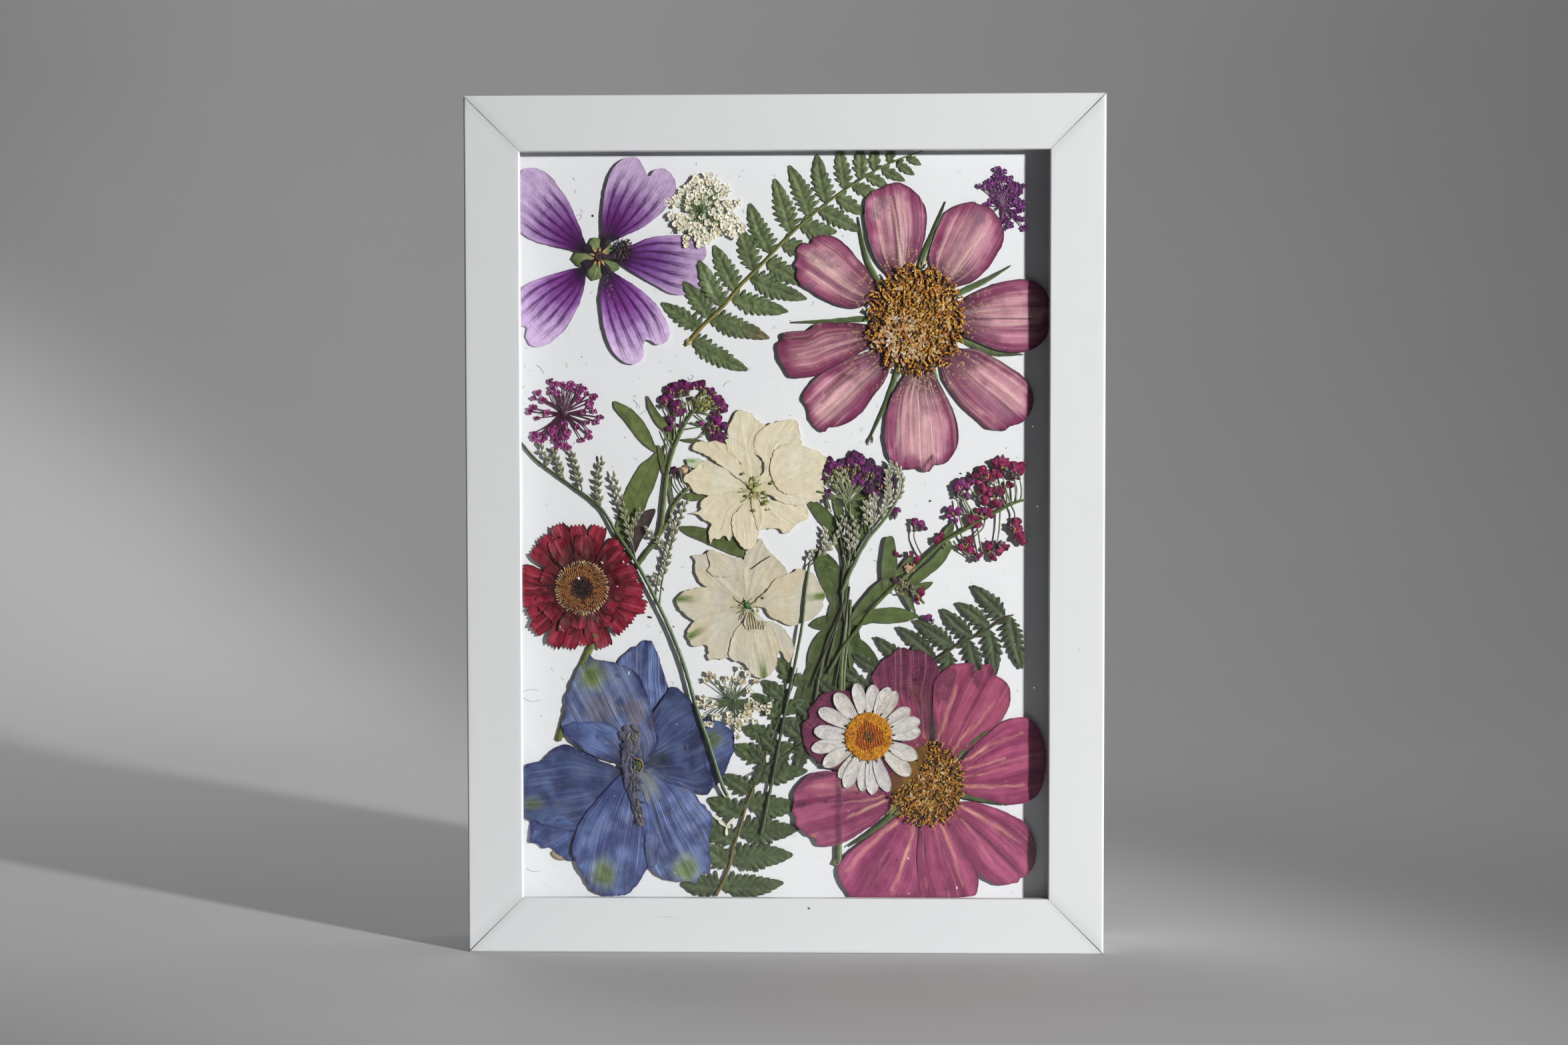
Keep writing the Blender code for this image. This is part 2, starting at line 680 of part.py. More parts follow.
# Magenta cosmos flower, lower right, its left side under the white daisy.
COSMOS_LOWER = [
    [(1308, 1018), (1312, 1006), (1322, 993), (1335, 983), (1347, 975), (1356, 971),
     (1372, 976), (1383, 976), (1395, 984), (1404, 993), (1409, 1008), (1400, 1026),
     (1398, 1046), (1397, 1066), (1395, 1092), (1395, 1112), (1396, 1140), (1374, 1142),
     (1356, 1118), (1340, 1090), (1322, 1056)],
    [(1402, 1112), (1400, 1074), (1400, 1036), (1403, 1021), (1413, 1008), (1428, 998),
     (1443, 995), (1459, 995), (1466, 1002), (1474, 998), (1486, 998), (1492, 1012),
     (1507, 1021), (1514, 1033), (1516, 1049), (1512, 1064), (1500, 1084), (1484, 1097),
     (1459, 1120), (1438, 1135), (1416, 1150), (1402, 1140)],
    [(1442, 1142), (1459, 1122), (1484, 1098), (1502, 1084), (1519, 1078), (1538, 1076),
     (1556, 1090), (1567, 1120), (1568, 1156), (1558, 1190), (1538, 1204), (1519, 1207),
     (1499, 1204), (1471, 1197), (1443, 1190), (1418, 1182), (1418, 1160)],
    [(1441, 1202), (1459, 1202), (1484, 1209), (1504, 1216), (1524, 1226), (1538, 1235),
     (1552, 1262), (1552, 1294), (1538, 1315), (1527, 1323), (1519, 1325), (1500, 1328),
     (1484, 1322), (1469, 1311), (1464, 1302), (1448, 1279), (1431, 1251), (1421, 1233),
     (1404, 1208), (1418, 1196)],
    [(1420, 1232), (1431, 1251), (1448, 1279), (1464, 1302), (1467, 1315), (1467, 1330),
     (1462, 1347), (1448, 1358), (1424, 1362), (1400, 1360), (1384, 1352), (1378, 1320),
     (1376, 1280), (1378, 1250), (1384, 1214), (1400, 1206)],
    [(1342, 1226), (1322, 1241), (1299, 1259), (1279, 1274), (1264, 1289), (1257, 1304),
     (1260, 1320), (1269, 1335), (1278, 1348), (1304, 1358), (1336, 1362), (1366, 1360),
     (1388, 1350), (1390, 1310), (1390, 1270), (1388, 1240), (1384, 1204), (1366, 1202)],
    [(1340, 1206), (1327, 1221), (1312, 1236), (1294, 1247), (1276, 1259), (1256, 1268),
     (1238, 1270), (1226, 1264), (1219, 1255), (1212, 1254), (1208, 1249), (1195, 1239),
     (1193, 1226), (1188, 1216), (1191, 1203), (1191, 1190), (1200, 1175), (1213, 1163),
     (1231, 1157), (1256, 1158), (1290, 1160), (1330, 1172), (1364, 1180), (1362, 1196)],
    [(1256, 1155), (1233, 1147), (1218, 1135), (1208, 1120), (1204, 1102), (1205, 1087),
     (1213, 1076), (1214, 1064), (1222, 1054), (1233, 1042), (1251, 1036), (1269, 1036),
     (1281, 1038), (1300, 1060), (1330, 1100), (1356, 1140), (1368, 1160), (1356, 1172),
     (1320, 1162), (1290, 1156)],
]
for number, outline in enumerate(COSMOS_LOWER, 1):
    pressed(
        f"cosmos_lower_petal_{number}", [([outline], 5 if number % 2 else 4, 1)],
        (0.46, 0.11, 0.26),
    )
LOWER_BRACTS = [
    [(1402, 1160), (1440, 1130), (1460, 1112), (1479, 1098)],
    [(1404, 1180), (1443, 1193), (1476, 1200), (1508, 1207)],
    [(1376, 1186), (1340, 1222), (1310, 1246), (1272, 1270)],
    [(1388, 1190), (1386, 1222), (1380, 1242)],
]
bracts = [disc(1390, 1174, 26, sides=12)]
for run in LOWER_BRACTS:
    bracts += stem(run, 10, 4)
pressed("cosmos_lower_bracts", [(bracts, 3, 1)], (0.16, 0.24, 0.09))
pressed(
    "cosmos_lower_disc", [([disc(1390, 1175, 57, 62, 24)], 6, 1)], (0.55, 0.33, 0.05)
)

# White daisy lying on the magenta cosmos.
DAISY = (1303, 1105)
RAYS = [
    (1284, 1025), (1310, 1027), (1332, 1032), (1344, 1038), (1364, 1063), (1380, 1082),
    (1380, 1098), (1375, 1136), (1363, 1162), (1332, 1188), (1309, 1192), (1291, 1187),
    (1268, 1183), (1259, 1167), (1235, 1149), (1218, 1124), (1222, 1095), (1229, 1066),
    (1253, 1041),
]
rays = [disc(*DAISY, 30, sides=14)]
rays += [blade(DAISY, tip, 20, 0.7, 0.5) for tip in RAYS]
pressed(
    "white_daisy",
    [(rays, 7, 1), ([disc(*DAISY, 33, sides=18)], 6, 2)],
    (0.72, 0.71, 0.68),
)

# Red daisy, upper left of the lower half, with its stem going down.
RED = (873, 882)
TIPS = [
    (836, 786), (866, 786), (878, 802), (901, 790), (931, 811), (941, 828), (957, 856),
    (967, 884), (971, 912), (954, 925), (936, 948), (912, 953), (907, 972), (887, 958),
    (870, 971), (850, 970), (829, 970), (812, 958), (800, 946), (790, 925), (782, 902),
    (780, 880), (782, 858), (790, 840), (802, 823), (815, 805), (830, 812),
]
rays = [disc(*RED, 50, sides=16)]
rays += [blade(RED, tip, 24, 0.75, 0.5) for tip in TIPS]
STALK = [(884, 930), (893, 955), (880, 985), (862, 1030), (848, 1075), (838, 1110)]
pressed(
    "red_daisy",
    [
        (rays, 2, 1),
        ([disc(*RED, 39, sides=20)], 2, 3),
        (stem(STALK[:2] + [(893, 957)], 11) + stem(STALK[1:], 11, 9), 1, 1),
        ([disc(885, 932, 7, sides=8)], 1, 2),
    ],
    (0.28, 0.02, 0.04),
)

# Delphinium flower: overlapping sepals in one flat piece, and its crumpled spur.
SEPALS = [
    [(882, 981), (874, 992), (861, 1019), (855, 1032), (849, 1050), (847, 1071),
     (843, 1087), (845, 1100), (860, 1116), (900, 1140), (950, 1160), (985, 1120),
     (981, 1082), (977, 1055), (969, 1032), (956, 1011), (943, 999), (927, 994),
     (895, 987)],
    [(926, 996), (940, 979), (956, 970), (969, 961), (977, 961), (990, 992), (1001, 1024),
     (1004, 1060), (990, 1110), (960, 1100)],
    [(985, 1060), (1006, 1031), (1022, 1034), (1040, 1061), (1049, 1069), (1070, 1079),
     (1087, 1087), (1100, 1100), (1102, 1116), (1098, 1134), (1090, 1150), (1085, 1163),
     (1077, 1176), (1061, 1193), (1048, 1190), (1000, 1170), (960, 1150)],
    [(960, 1150), (1000, 1160), (1051, 1203), (1061, 1211), (1068, 1221), (1069, 1234),
     (1064, 1255), (1064, 1276), (1066, 1295), (1064, 1310), (1053, 1308), (1043, 1326),
     (1022, 1322), (1001, 1320), (977, 1309), (965, 1280), (950, 1200)],
    [(975, 1298), (966, 1309), (956, 1321), (940, 1339), (932, 1342), (898, 1342),
     (885, 1331), (874, 1313), (864, 1295), (845, 1287), (870, 1220), (930, 1150),
     (970, 1170)],
    [(950, 1165), (859, 1118), (845, 1116), (830, 1126), (814, 1140), (792, 1146),
     (779, 1160), (779, 1215), (792, 1228), (799, 1231), (795, 1264), (814, 1271),
     (838, 1282), (880, 1260), (940, 1200)],
]
SPUR = [(942, 1095), (936, 1120), (944, 1150), (952, 1180), (956, 1208), (961, 1236)]
pressed(
    "delphinium",
    [(SEPALS, 2, 1), (stem(SPUR, 22, 12), 2, 2)],
    (0.08, 0.12, 0.32),
)

# Two cream larkspur flowers, one above the other.
LARKSPUR_UPPER = [
    (1106, 616), (1113, 616), (1126, 620), (1135, 630), (1147, 639), (1160, 634),
    (1173, 631), (1187, 630), (1196, 631), (1200, 643), (1201, 657), (1204, 668),
    (1218, 675), (1235, 680), (1240, 688), (1236, 700), (1232, 713), (1237, 736),
    (1238, 748), (1229, 750), (1216, 753), (1207, 758), (1213, 777), (1203, 782),
    (1184, 799), (1169, 794), (1153, 793), (1139, 797), (1136, 812), (1123, 825),
    (1107, 813), (1101, 803), (1094, 813), (1078, 810), (1067, 817), (1063, 799),
    (1066, 786), (1055, 779), (1037, 770), (1052, 766), (1053, 750), (1058, 742),
    (1044, 739), (1035, 728), (1025, 719), (1035, 708), (1046, 699), (1058, 690),
    (1038, 673), (1043, 665), (1060, 662), (1076, 662), (1088, 668), (1090, 655),
    (1096, 636),
]
pressed("larkspur_upper", [([LARKSPUR_UPPER], 3, 1)], (0.74, 0.66, 0.50))
LARKSPUR_LOWER = [
    (1140, 807), (1146, 816), (1158, 831), (1170, 842), (1177, 851), (1182, 861),
    (1197, 854), (1206, 855), (1221, 861), (1227, 873), (1233, 885), (1238, 893),
    (1234, 903), (1233, 915), (1218, 928), (1206, 934), (1194, 937), (1176, 936),
    (1173, 941), (1185, 955), (1191, 971), (1188, 986), (1178, 984), (1167, 991),
    (1164, 1001), (1155, 1013), (1144, 1018), (1130, 1013), (1121, 1001), (1114, 992),
    (1094, 986), (1082, 989), (1066, 991), (1061, 986), (1062, 980), (1060, 968),
    (1049, 970), (1039, 969), (1030, 952), (1043, 931), (1033, 925), (1024, 918),
    (1017, 909), (1015, 900), (1033, 885), (1048, 882), (1056, 880), (1045, 863),
    (1042, 851), (1039, 835), (1060, 831), (1067, 825), (1082, 830), (1100, 836),
    (1114, 839), (1118, 831), (1124, 824), (1136, 815),
]
pressed("larkspur_lower", [([LARKSPUR_LOWER], 2, 1)], (0.72, 0.66, 0.53))

# Flat flower heads: two white, two purple.
pressed(
    "umbel_white_upper",
    [(
        flower_head(
            (1055, 318), 30,
            [(1045, 267), (1063, 268), (1075, 277), (1090, 284), (1088, 298), (1106, 304),
             (1080, 313), (1098, 326), (1111, 337), (1092, 350), (1074, 350), (1056, 362),
             (1036, 346), (1027, 360), (1018, 338), (1014, 326), (1032, 314), (1013, 302),
             (1032, 298), (1032, 283), (1048, 283)],
            3, 9,
        ), 2, 1,
    )],
    (0.76, 0.72, 0.56),
    slack=1.8,
)
pressed(
    "umbel_white_lower",
    [(
        flower_head(
            (1101, 1050), 15,
            [(1064, 1013), (1092, 1016), (1110, 1004), (1122, 1012), (1124, 1036),
             (1127, 1051), (1152, 1060), (1134, 1081), (1118, 1080), (1107, 1092),
             (1093, 1081), (1060, 1082), (1076, 1074), (1052, 1052), (1088, 1032),
             (1106, 1026), (1134, 1064)],
            3, 9,
        ), 3, 1,
    )],
    (0.74, 0.70, 0.58),
    slack=1.8,
)
pressed(
    "umbel_purple_left",
    [(
        flower_head(
            (845, 620), 13,
            [(829, 578), (846, 580), (862, 579), (875, 584), (888, 594), (884, 607),
             (876, 618), (900, 626), (883, 632), (868, 641), (884, 652), (873, 659),
             (852, 649), (847, 670), (833, 660), (827, 646), (806, 654), (807, 626),
             (822, 620), (802, 600), (824, 593)],
            4, 7,
        ), 0, 1,
    )],
    (0.20, 0.02, 0.16),
    slack=1.8,
)
pressed(
    "umbel_purple_corner",
    [(
        flower_head(
            (1503, 309), 12,
            [(1497, 259), (1508, 262), (1482, 276), (1472, 282), (1494, 290), (1513, 276),
             (1525, 281), (1532, 284), (1529, 300), (1518, 300), (1531, 316), (1521, 325),
             (1535, 336), (1513, 336), (1506, 340), (1487, 303), (1478, 306), (1504, 280)],
            4, 8,
        ), 0, 1,
    )],
    (0.16, 0.02, 0.22),
    slack=1.8,
)

# Fern fronds.
UPPER_RACHIS = [
    (1034, 513), (1053, 491), (1083, 462), (1113, 427), (1145, 395), (1176, 362),
    (1206, 334), (1251, 297), (1291, 270), (1333, 246), (1380, 228), (1396, 222),
]
UPPER_PINNAE = [
    ((1050, 495), (992, 454), 22), ((1064, 478), (1025, 422), 22),
    ((1083, 460), (1049, 390), 23), ((1104, 438), (1071, 368), 24),
    ((1130, 407), (1109, 340), 24), ((1155, 380), (1125, 305), 24),
    ((1187, 350), (1162, 268), 24), ((1215, 325), (1184, 248), 23),
    ((1240, 305), (1226, 232), 21), ((1268, 285), (1258, 220), 18),
    ((1291, 270), (1288, 220), 16), ((1312, 257), (1314, 219), 14),
    ((1334, 246), (1338, 218), 11),
    ((1037, 512), (1123, 556), 22), ((1065, 482), (1155, 508), 24),
    ((1098, 450), (1183, 468), 24), ((1125, 418), (1211, 449), 24),
    ((1150, 395), (1205, 428), 22), ((1172, 368), (1222, 378), 21),
    ((1200, 340), (1256, 348), 21), ((1228, 315), (1292, 348), 20),
    ((1255, 295), (1298, 322), 17), ((1278, 278), (1320, 292), 15),
    ((1300, 264), (1333, 281), 13), ((1322, 253), (1358, 272), 12),
    ((1345, 243), (1372, 263), 10), ((1360, 236), (1382, 248), 8),
]
pressed(
    "fern_upper",
    [(fern(UPPER_RACHIS, 5, UPPER_PINNAE), 0, 1)],
    (0.12, 0.19, 0.07),
    slack=1.8,
)
LOWER_RACHIS = [
    (1074, 1343), (1086, 1320), (1095, 1296), (1100, 1272), (1109, 1245), (1119, 1211),
    (1128, 1187), (1138, 1165), (1151, 1126), (1161, 1097), (1171, 1072), (1180, 1050),
    (1189, 1030), (1196, 1002),
]
LOWER_PINNAE = [
    ((1080, 1331), (1022, 1326), 32), ((1094, 1300), (1056, 1268), 32),
    ((1101, 1264), (1052, 1228), 34), ((1113, 1224), (1062, 1198), 30),
    ((1125, 1190), (1084, 1162), 26), ((1148, 1138), (1101, 1117), 28),
    ((1158, 1106), (1113, 1091), 24), ((1168, 1078), (1128, 1040), 26),
    ((1180, 1051), (1145, 1020), 24), ((1190, 1026), (1168, 986), 22),
    ((1083, 1331), (1176, 1324), 32), ((1096, 1293), (1190, 1282), 36),
    ((1107, 1250), (1200, 1243), 34), ((1121, 1206), (1198, 1210), 32),
    ((1137, 1168), (1212, 1156), 28), ((1152, 1126), (1196, 1120), 24),
    ((1162, 1096), (1200, 1078), 22), ((1172, 1070), (1206, 1050), 20),
    ((1190, 1026), (1214, 1014), 14),
]
pressed(
    "fern_lower",
    [(fern(LOWER_RACHIS, 6, LOWER_PINNAE), 1, 1)],
    (0.10, 0.16, 0.06),
    slack=1.8,
)
RIGHT_RACHIS = [
    (1520, 922), (1504, 929), (1483, 943), (1460, 956), (1436, 968), (1404, 989),
    (1350, 1020), (1290, 1060), (1240, 1092), (1200, 1118), (1160, 1143), (1118, 1166),
]
RIGHT_PINNAE = [
    ((1508, 924), (1458, 878), 27), ((1485, 941), (1435, 904), 25),
    ((1459, 955), (1412, 913), 26), ((1433, 971), (1371, 930), 27),
    ((1404, 989), (1346, 940), 27), ((1378, 1003), (1312, 955), 25),
    ((1345, 1023), (1277, 981), 24), ((1312, 1044), (1253, 996), 22),
    ((1282, 1064), (1226, 1020), 20), ((1240, 1092), (1200, 1052), 18),
    ((1208, 1112), (1178, 1084), 16), ((1176, 1133), (1152, 1108), 14),
    ((1150, 1148), (1134, 1130), 11),
    ((1516, 925), (1533, 1004), 30), ((1484, 944), (1493, 1014), 27),
    ((1454, 960), (1470, 1022), 25), ((1424, 977), (1430, 1040), 25),
    ((1394, 996), (1398, 1052), 24), ((1350, 1020), (1352, 1076), 22),
    ((1300, 1054), (1300, 1104), 20), ((1242, 1092), (1230, 1140), 18),
    ((1212, 1110), (1200, 1148), 16), ((1182, 1130), (1166, 1160), 13),
    ((1146, 1150), (1138, 1172), 10),
]
pressed(
    "fern_right",
    [(fern(RIGHT_RACHIS, 5, RIGHT_PINNAE), 2, 1)],
    (0.08, 0.13, 0.05),
    slack=1.8,
)

# Sweet alyssum sprigs: leaves, stems and purple heads.
pressed(
    "alyssum_left",
    [
        (
            stem([(954, 852), (984, 808), (991, 787), (995, 749), (998, 719), (1004, 697),
                  (1012, 668), (1020, 651), (1029, 634), (1040, 618)], 9, 7)
            + stem([(988, 795), (1007, 765), (1021, 747), (1034, 730)], 6, 5)
            + [
                blade((994, 690), (921, 603), 19, 0.5, 0.1),
                blade((1010, 666), (971, 595), 14, 0.5, 0.2),
                [(986, 680), (974, 688), (958, 702), (946, 722), (937, 740), (930, 760),
                 (926, 780), (924, 800), (922, 811), (940, 808), (952, 790), (966, 766),
                 (974, 746), (982, 730), (990, 705), (996, 690)],
                blade((1008, 764), (988, 668), 12, 0.5, 0.3),
                [(983, 764), (968, 769), (960, 781), (950, 797), (942, 817), (934, 830),
                 (948, 846), (956, 846), (960, 808), (972, 794), (980, 780)],
                [(988, 790), (1021, 789), (1039, 790), (1063, 795), (1090, 805), (1116, 820),
                 (1118, 834), (1099, 833), (1069, 819), (1043, 807), (1014, 800), (988, 798)],
                blade((1016, 746), (1056, 744), 10, 0.5, 0.3),
            ], 0, 1,
        ),
        (
            [
                [(1040, 622), (1010, 612), (1000, 622), (991, 612), (992, 598), (1000, 592),
                 (999, 584), (1008, 577), (1020, 574), (1033, 573), (1041, 578), (1053, 575),
                 (1066, 582), (1068, 594), (1078, 595), (1088, 610), (1084, 620), (1080, 634),
                 (1088, 640), (1086, 662), (1070, 662), (1062, 646), (1052, 632)],
                [(1010, 630), (1016, 636), (1012, 648), (1002, 648), (1000, 636)],
                [(1037, 643), (1047, 613), (1018, 604), (1003, 642), (1016, 647)],
            ], 0, 2,
        ),
        (
            [disc(1024, 716, 13, 16, 9, 0.2)], 0, 2,
        ),
    ],
    (0.14, 0.19, 0.06),
)
pressed(
    "alyssum_middle",
    [(
        stem([(1257, 1296), (1256, 1180), (1262, 1000), (1268, 940), (1270, 880),
              (1273, 847), (1275, 800), (1276, 740)], 11, 8)
        + stem([(1270, 900), (1240, 960), (1228, 1020), (1222, 1060)], 12, 8)
        + [
            [(1234, 714), (1236, 700), (1242, 692), (1258, 690), (1272, 694), (1274, 686),
             (1281, 681), (1292, 685), (1297, 700), (1312, 694), (1322, 702), (1327, 716),
             (1336, 714), (1340, 724), (1333, 736), (1318, 738), (1300, 742), (1284, 760),
             (1262, 760), (1248, 742), (1238, 728)],
            blade((1252, 812), (1214, 756), 22, 0.5, 0.1),
            [(1212, 755), (1224, 753), (1240, 768), (1256, 780), (1266, 800), (1272, 846),
             (1262, 836), (1246, 800), (1226, 782)],
            [(1222, 825), (1238, 829), (1252, 840), (1262, 858), (1270, 886), (1272, 916),
             (1264, 936), (1254, 918), (1242, 894), (1230, 868), (1222, 846)],
            blade((1270, 940), (1204, 1052), 26, 0.5, 0.3),
            blade((1262, 930), (1214, 1006), 20, 0.5, 0.3, bow=0.08),
            blade((1264, 960), (1244, 1046), 24, 0.5, 0.4),
            blade((1266, 950), (1316, 992), 26, 0.5, 0.3),
            blade((1282, 800), (1304, 756), 14, 0.5, 0.3),
            blade((1264, 930), (1216, 936), 22, 0.5, 0.3),
            [(1262, 800), (1290, 800), (1300, 748), (1250, 748)],
        ], 0, 1,
    )],
    (0.11, 0.16, 0.05),
)
pressed(
    "alyssum_right",
    [(
        stem([(1244, 1008), (1264, 972), (1285, 945), (1309, 910), (1332, 886), (1350, 872),
              (1387, 837), (1416, 811), (1441, 797), (1461, 785), (1484, 772), (1499, 766),
              (1515, 757), (1536, 750)], 9, 5)
        + stem([(1352, 872), (1374, 884), (1386, 905)], 6, 5)
        + stem([(1384, 840), (1371, 815), (1372, 790)], 3)
        + stem([(1462, 786), (1444, 748), (1446, 726)], 3)
        + stem([(1500, 766), (1496, 812), (1490, 826)], 3)
        + stem([(1516, 757), (1520, 782), (1526, 800)], 3)
        + stem([(1516, 757), (1508, 722), (1500, 706)], 3)
        + stem([(1524, 754), (1526, 722), (1524, 700)], 3)
        + stem([(1486, 771), (1462, 738), (1452, 722)], 3)
        + stem([(1486, 771), (1481, 742), (1476, 714)], 3)
        + stem([(1440, 797), (1450, 816), (1460, 834)], 3)
        + stem([(1462, 784), (1440, 775), (1428, 768)], 3)
        + stem([(1466, 780), (1468, 810), (1476, 826)], 3)
        + [
            disc(1376, 788, 9), disc(1408, 804, 10), disc(1378, 838, 7),
            disc(1446, 724, 14), disc(1474, 708, 15), disc(1484, 740, 11),
            disc(1501, 738, 9), disc(1480, 754, 9), disc(1498, 756, 9),
            disc(1502, 700, 12), disc(1523, 700, 14), disc(1436, 768, 12),
            disc(1463, 782, 13), disc(1486, 768, 10), disc(1452, 820, 11),
            disc(1463, 836, 8), disc(1490, 826, 14), disc(1527, 790, 12),
            disc(1530, 806, 9), disc(1440, 740, 9), disc(1386, 896, 9),
            blade((1328, 892), (1330, 806), 22, 0.5, 0.3),
            [(1274, 930), (1296, 896), (1316, 872), (1340, 858), (1366, 832), (1374, 836),
             (1360, 858), (1330, 884), (1298, 912), (1282, 934)],
            blade((1278, 934), (1370, 922), 20, 0.55, 0.2),
            [(1356, 876), (1380, 846), (1400, 824), (1424, 808), (1440, 799), (1430, 828),
             (1418, 846), (1396, 866), (1372, 878)],
            blade((1414, 812), (1431, 784), 12, 0.5, 0.4),
            blade((1354, 884), (1399, 875), 13, 0.5, 0.3),
            blade((1346, 868), (1372, 918), 10, 0.5, 0.5),
        ], 3, 1,
    )],
    (0.15, 0.20, 0.06),
    slack=1.8,
)

# Statice sprigs: wiry stems with small pale buds.
LEFT_STEM = [
    (782, 664), (805, 690), (855, 727), (901, 762), (926, 801), (954, 843), (975, 882),
    (989, 910), (1004, 942), (1025, 995), (1046, 1066), (1064, 1118), (1085, 1182),
    (1091, 1193),
]


def sprig(points, width, buds, size):
    """A wiry branch with paired buds that lean towards its tip."""
    shapes = stem(points, width, width * 0.7)
    last = len(points) - 1
    for i in range(buds):
        t = (i + 0.6) / buds * last
        k = min(int(t), last - 1)
        (u0, v0), (u1, v1) = points[k], points[k + 1]
        run = math.hypot(u1 - u0, v1 - v0)
        du, dv = (u1 - u0) / run, (v1 - v0) / run
        u, v = u0 + (u1 - u0) * (t - k), v0 + (v1 - v0) * (t - k)
        side = 1 if i % 2 else -1
        lean_u, lean_v = du * 0.8 - side * dv * 0.6, dv * 0.8 + side * du * 0.6
        tip = (u + lean_u * size, v + lean_v * size)
        shapes.append(blade((u - du, v - dv), tip, size * 0.5, 0.5, 0.5, 2))
    return shapes


pressed(
    "statice_left",
    [(
        stem(LEFT_STEM[:7], 4, 6) + stem(LEFT_STEM[6:], 6, 7)
        + sprig([(822, 702), (815, 686), (811, 672)], 3, 3, 13)
        + sprig([(846, 720), (838, 700), (834, 682)], 3, 3, 14)
        + sprig([(873, 737), (866, 710), (860, 682)], 3, 4, 14)
        + sprig([(901, 762), (896, 730), (902, 690)], 3, 5, 14)
        + sprig([(953, 841), (944, 806), (934, 760), (922, 716)], 3, 6, 14)
        + sprig([(942, 800), (950, 784), (957, 768)], 3, 3, 13)
        + sprig([(990, 912), (996, 860), (1010, 801), (1028, 758)], 4, 6, 15)
        + sprig([(1004, 834), (984, 808), (970, 796)], 3, 3, 12)
        + sprig([(995, 884), (985, 872), (981, 866)], 3, 2, 10), 4, 1,
    )],
    (0.34, 0.36, 0.22),
)
pressed(
    "statice_middle",
    [(
        stem([(1142, 1252), (1156, 1182), (1171, 1102), (1186, 1026), (1203, 939),
              (1208, 890), (1214, 846)], 7, 5)
        + sprig([(1213, 850), (1236, 830), (1252, 812), (1262, 786)], 3, 4, 14)
        + sprig([(1236, 830), (1238, 812), (1238, 796)], 3, 3, 12), 3, 1,
    )],
    (0.34, 0.36, 0.22),
)
pressed(
    "statice_right",
    [(
        stem([(1262, 890), (1276, 856), (1300, 816), (1320, 788), (1346, 748), (1352, 716)],
             6, 3)
        + sprig([(1346, 748), (1352, 722), (1340, 698)], 3, 4, 14)
        + sprig([(1318, 790), (1312, 764), (1318, 740)], 3, 3, 14)
        + sprig([(1330, 772), (1336, 748), (1330, 722)], 3, 3, 14)
        + sprig([(1306, 808), (1300, 780), (1300, 752)], 3, 3, 14), 4, 1,
    )],
    (0.34, 0.36, 0.22),
)
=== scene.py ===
import math
import random

import bpy
import numpy as np
from mathutils import Matrix, Vector
from mathutils.geometry import delaunay_2d_cdt


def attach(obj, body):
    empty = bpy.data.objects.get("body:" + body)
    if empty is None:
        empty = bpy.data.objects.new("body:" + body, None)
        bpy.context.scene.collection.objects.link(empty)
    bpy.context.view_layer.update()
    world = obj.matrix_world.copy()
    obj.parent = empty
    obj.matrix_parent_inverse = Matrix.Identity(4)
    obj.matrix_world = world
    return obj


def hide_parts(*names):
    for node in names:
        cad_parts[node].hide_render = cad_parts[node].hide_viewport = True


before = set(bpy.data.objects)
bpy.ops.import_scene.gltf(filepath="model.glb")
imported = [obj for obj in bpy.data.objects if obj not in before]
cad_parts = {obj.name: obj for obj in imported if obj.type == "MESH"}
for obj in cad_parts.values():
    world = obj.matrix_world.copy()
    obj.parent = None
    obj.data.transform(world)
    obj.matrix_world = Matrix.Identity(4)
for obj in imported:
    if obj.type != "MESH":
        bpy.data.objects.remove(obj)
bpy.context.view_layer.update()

MM = 0.001
OUTER_W, OUTER_H, RAIL, DEPTH = 145.0, 195.0, 12.6, 20.0
LIP, REBATE = 1.8, 5.6
MITRE_IN, MITRE_OUT = 0.03, 0.15
CARD_Y, GLASS_Y = 4.65, 1.85
FRONT = -21.31 / 2
EYE = np.array((11.461, -493.19, 115.40))
FOCAL = 50.0 / 36.0 * 2352.0
TILT, TURN, ROLL = 0.0344, 0.0234, -0.0005
UNIT = 0.1524            # one drawing unit on the card, in millimetres


def ray_axes():
    ca, sa = math.cos(TILT), math.sin(TILT)
    cb, sb = math.cos(TURN), math.sin(TURN)
    cc, sc = math.cos(ROLL), math.sin(ROLL)
    rx = np.array(((1, 0, 0), (0, ca, -sa), (0, sa, ca)))
    ry = np.array(((cb, 0, sb), (0, 1, 0), (-sb, 0, cb)))
    rz = np.array(((cc, -sc, 0), (sc, cc, 0), (0, 0, 1)))
    base = np.array(((1, 0, 0), (0, 0, -1), (0, 1, 0)))
    return rz @ ry @ rx @ base


RIGHT, DOWN, AHEAD = ray_axes()


def place(uvw, depth=CARD_Y):
    """Drawing points (u, v, w) in the frame, in metres. depth is where w is 0."""
    uvw = np.asarray(uvw, float).reshape(-1, 3)
    ray = (
        np.outer((uvw[:, 0] - 1176.0) / FOCAL, RIGHT)
        + np.outer((uvw[:, 1] - 784.0) / FOCAL, DOWN)
        + AHEAD
    )
    y = depth - uvw[:, 2] * UNIT
    hit = EYE + ray * ((y - EYE[1]) / ray[:, 1])[:, None]
    return np.stack((hit[:, 0], FRONT + y, hit[:, 2]), axis=1) * MM


# ------------------------------------------------------------------- numbers
def hashed(ix, iy, seed):
    n = (ix * 374761393 + iy * 668265263 + seed * 974634777) & 0xFFFFFFFF
    n = ((n ^ (n >> 13)) * 1274126177) & 0xFFFFFFFF
    return ((n ^ (n >> 16)) & 0xFFFFFFFF) / 4294967295.0


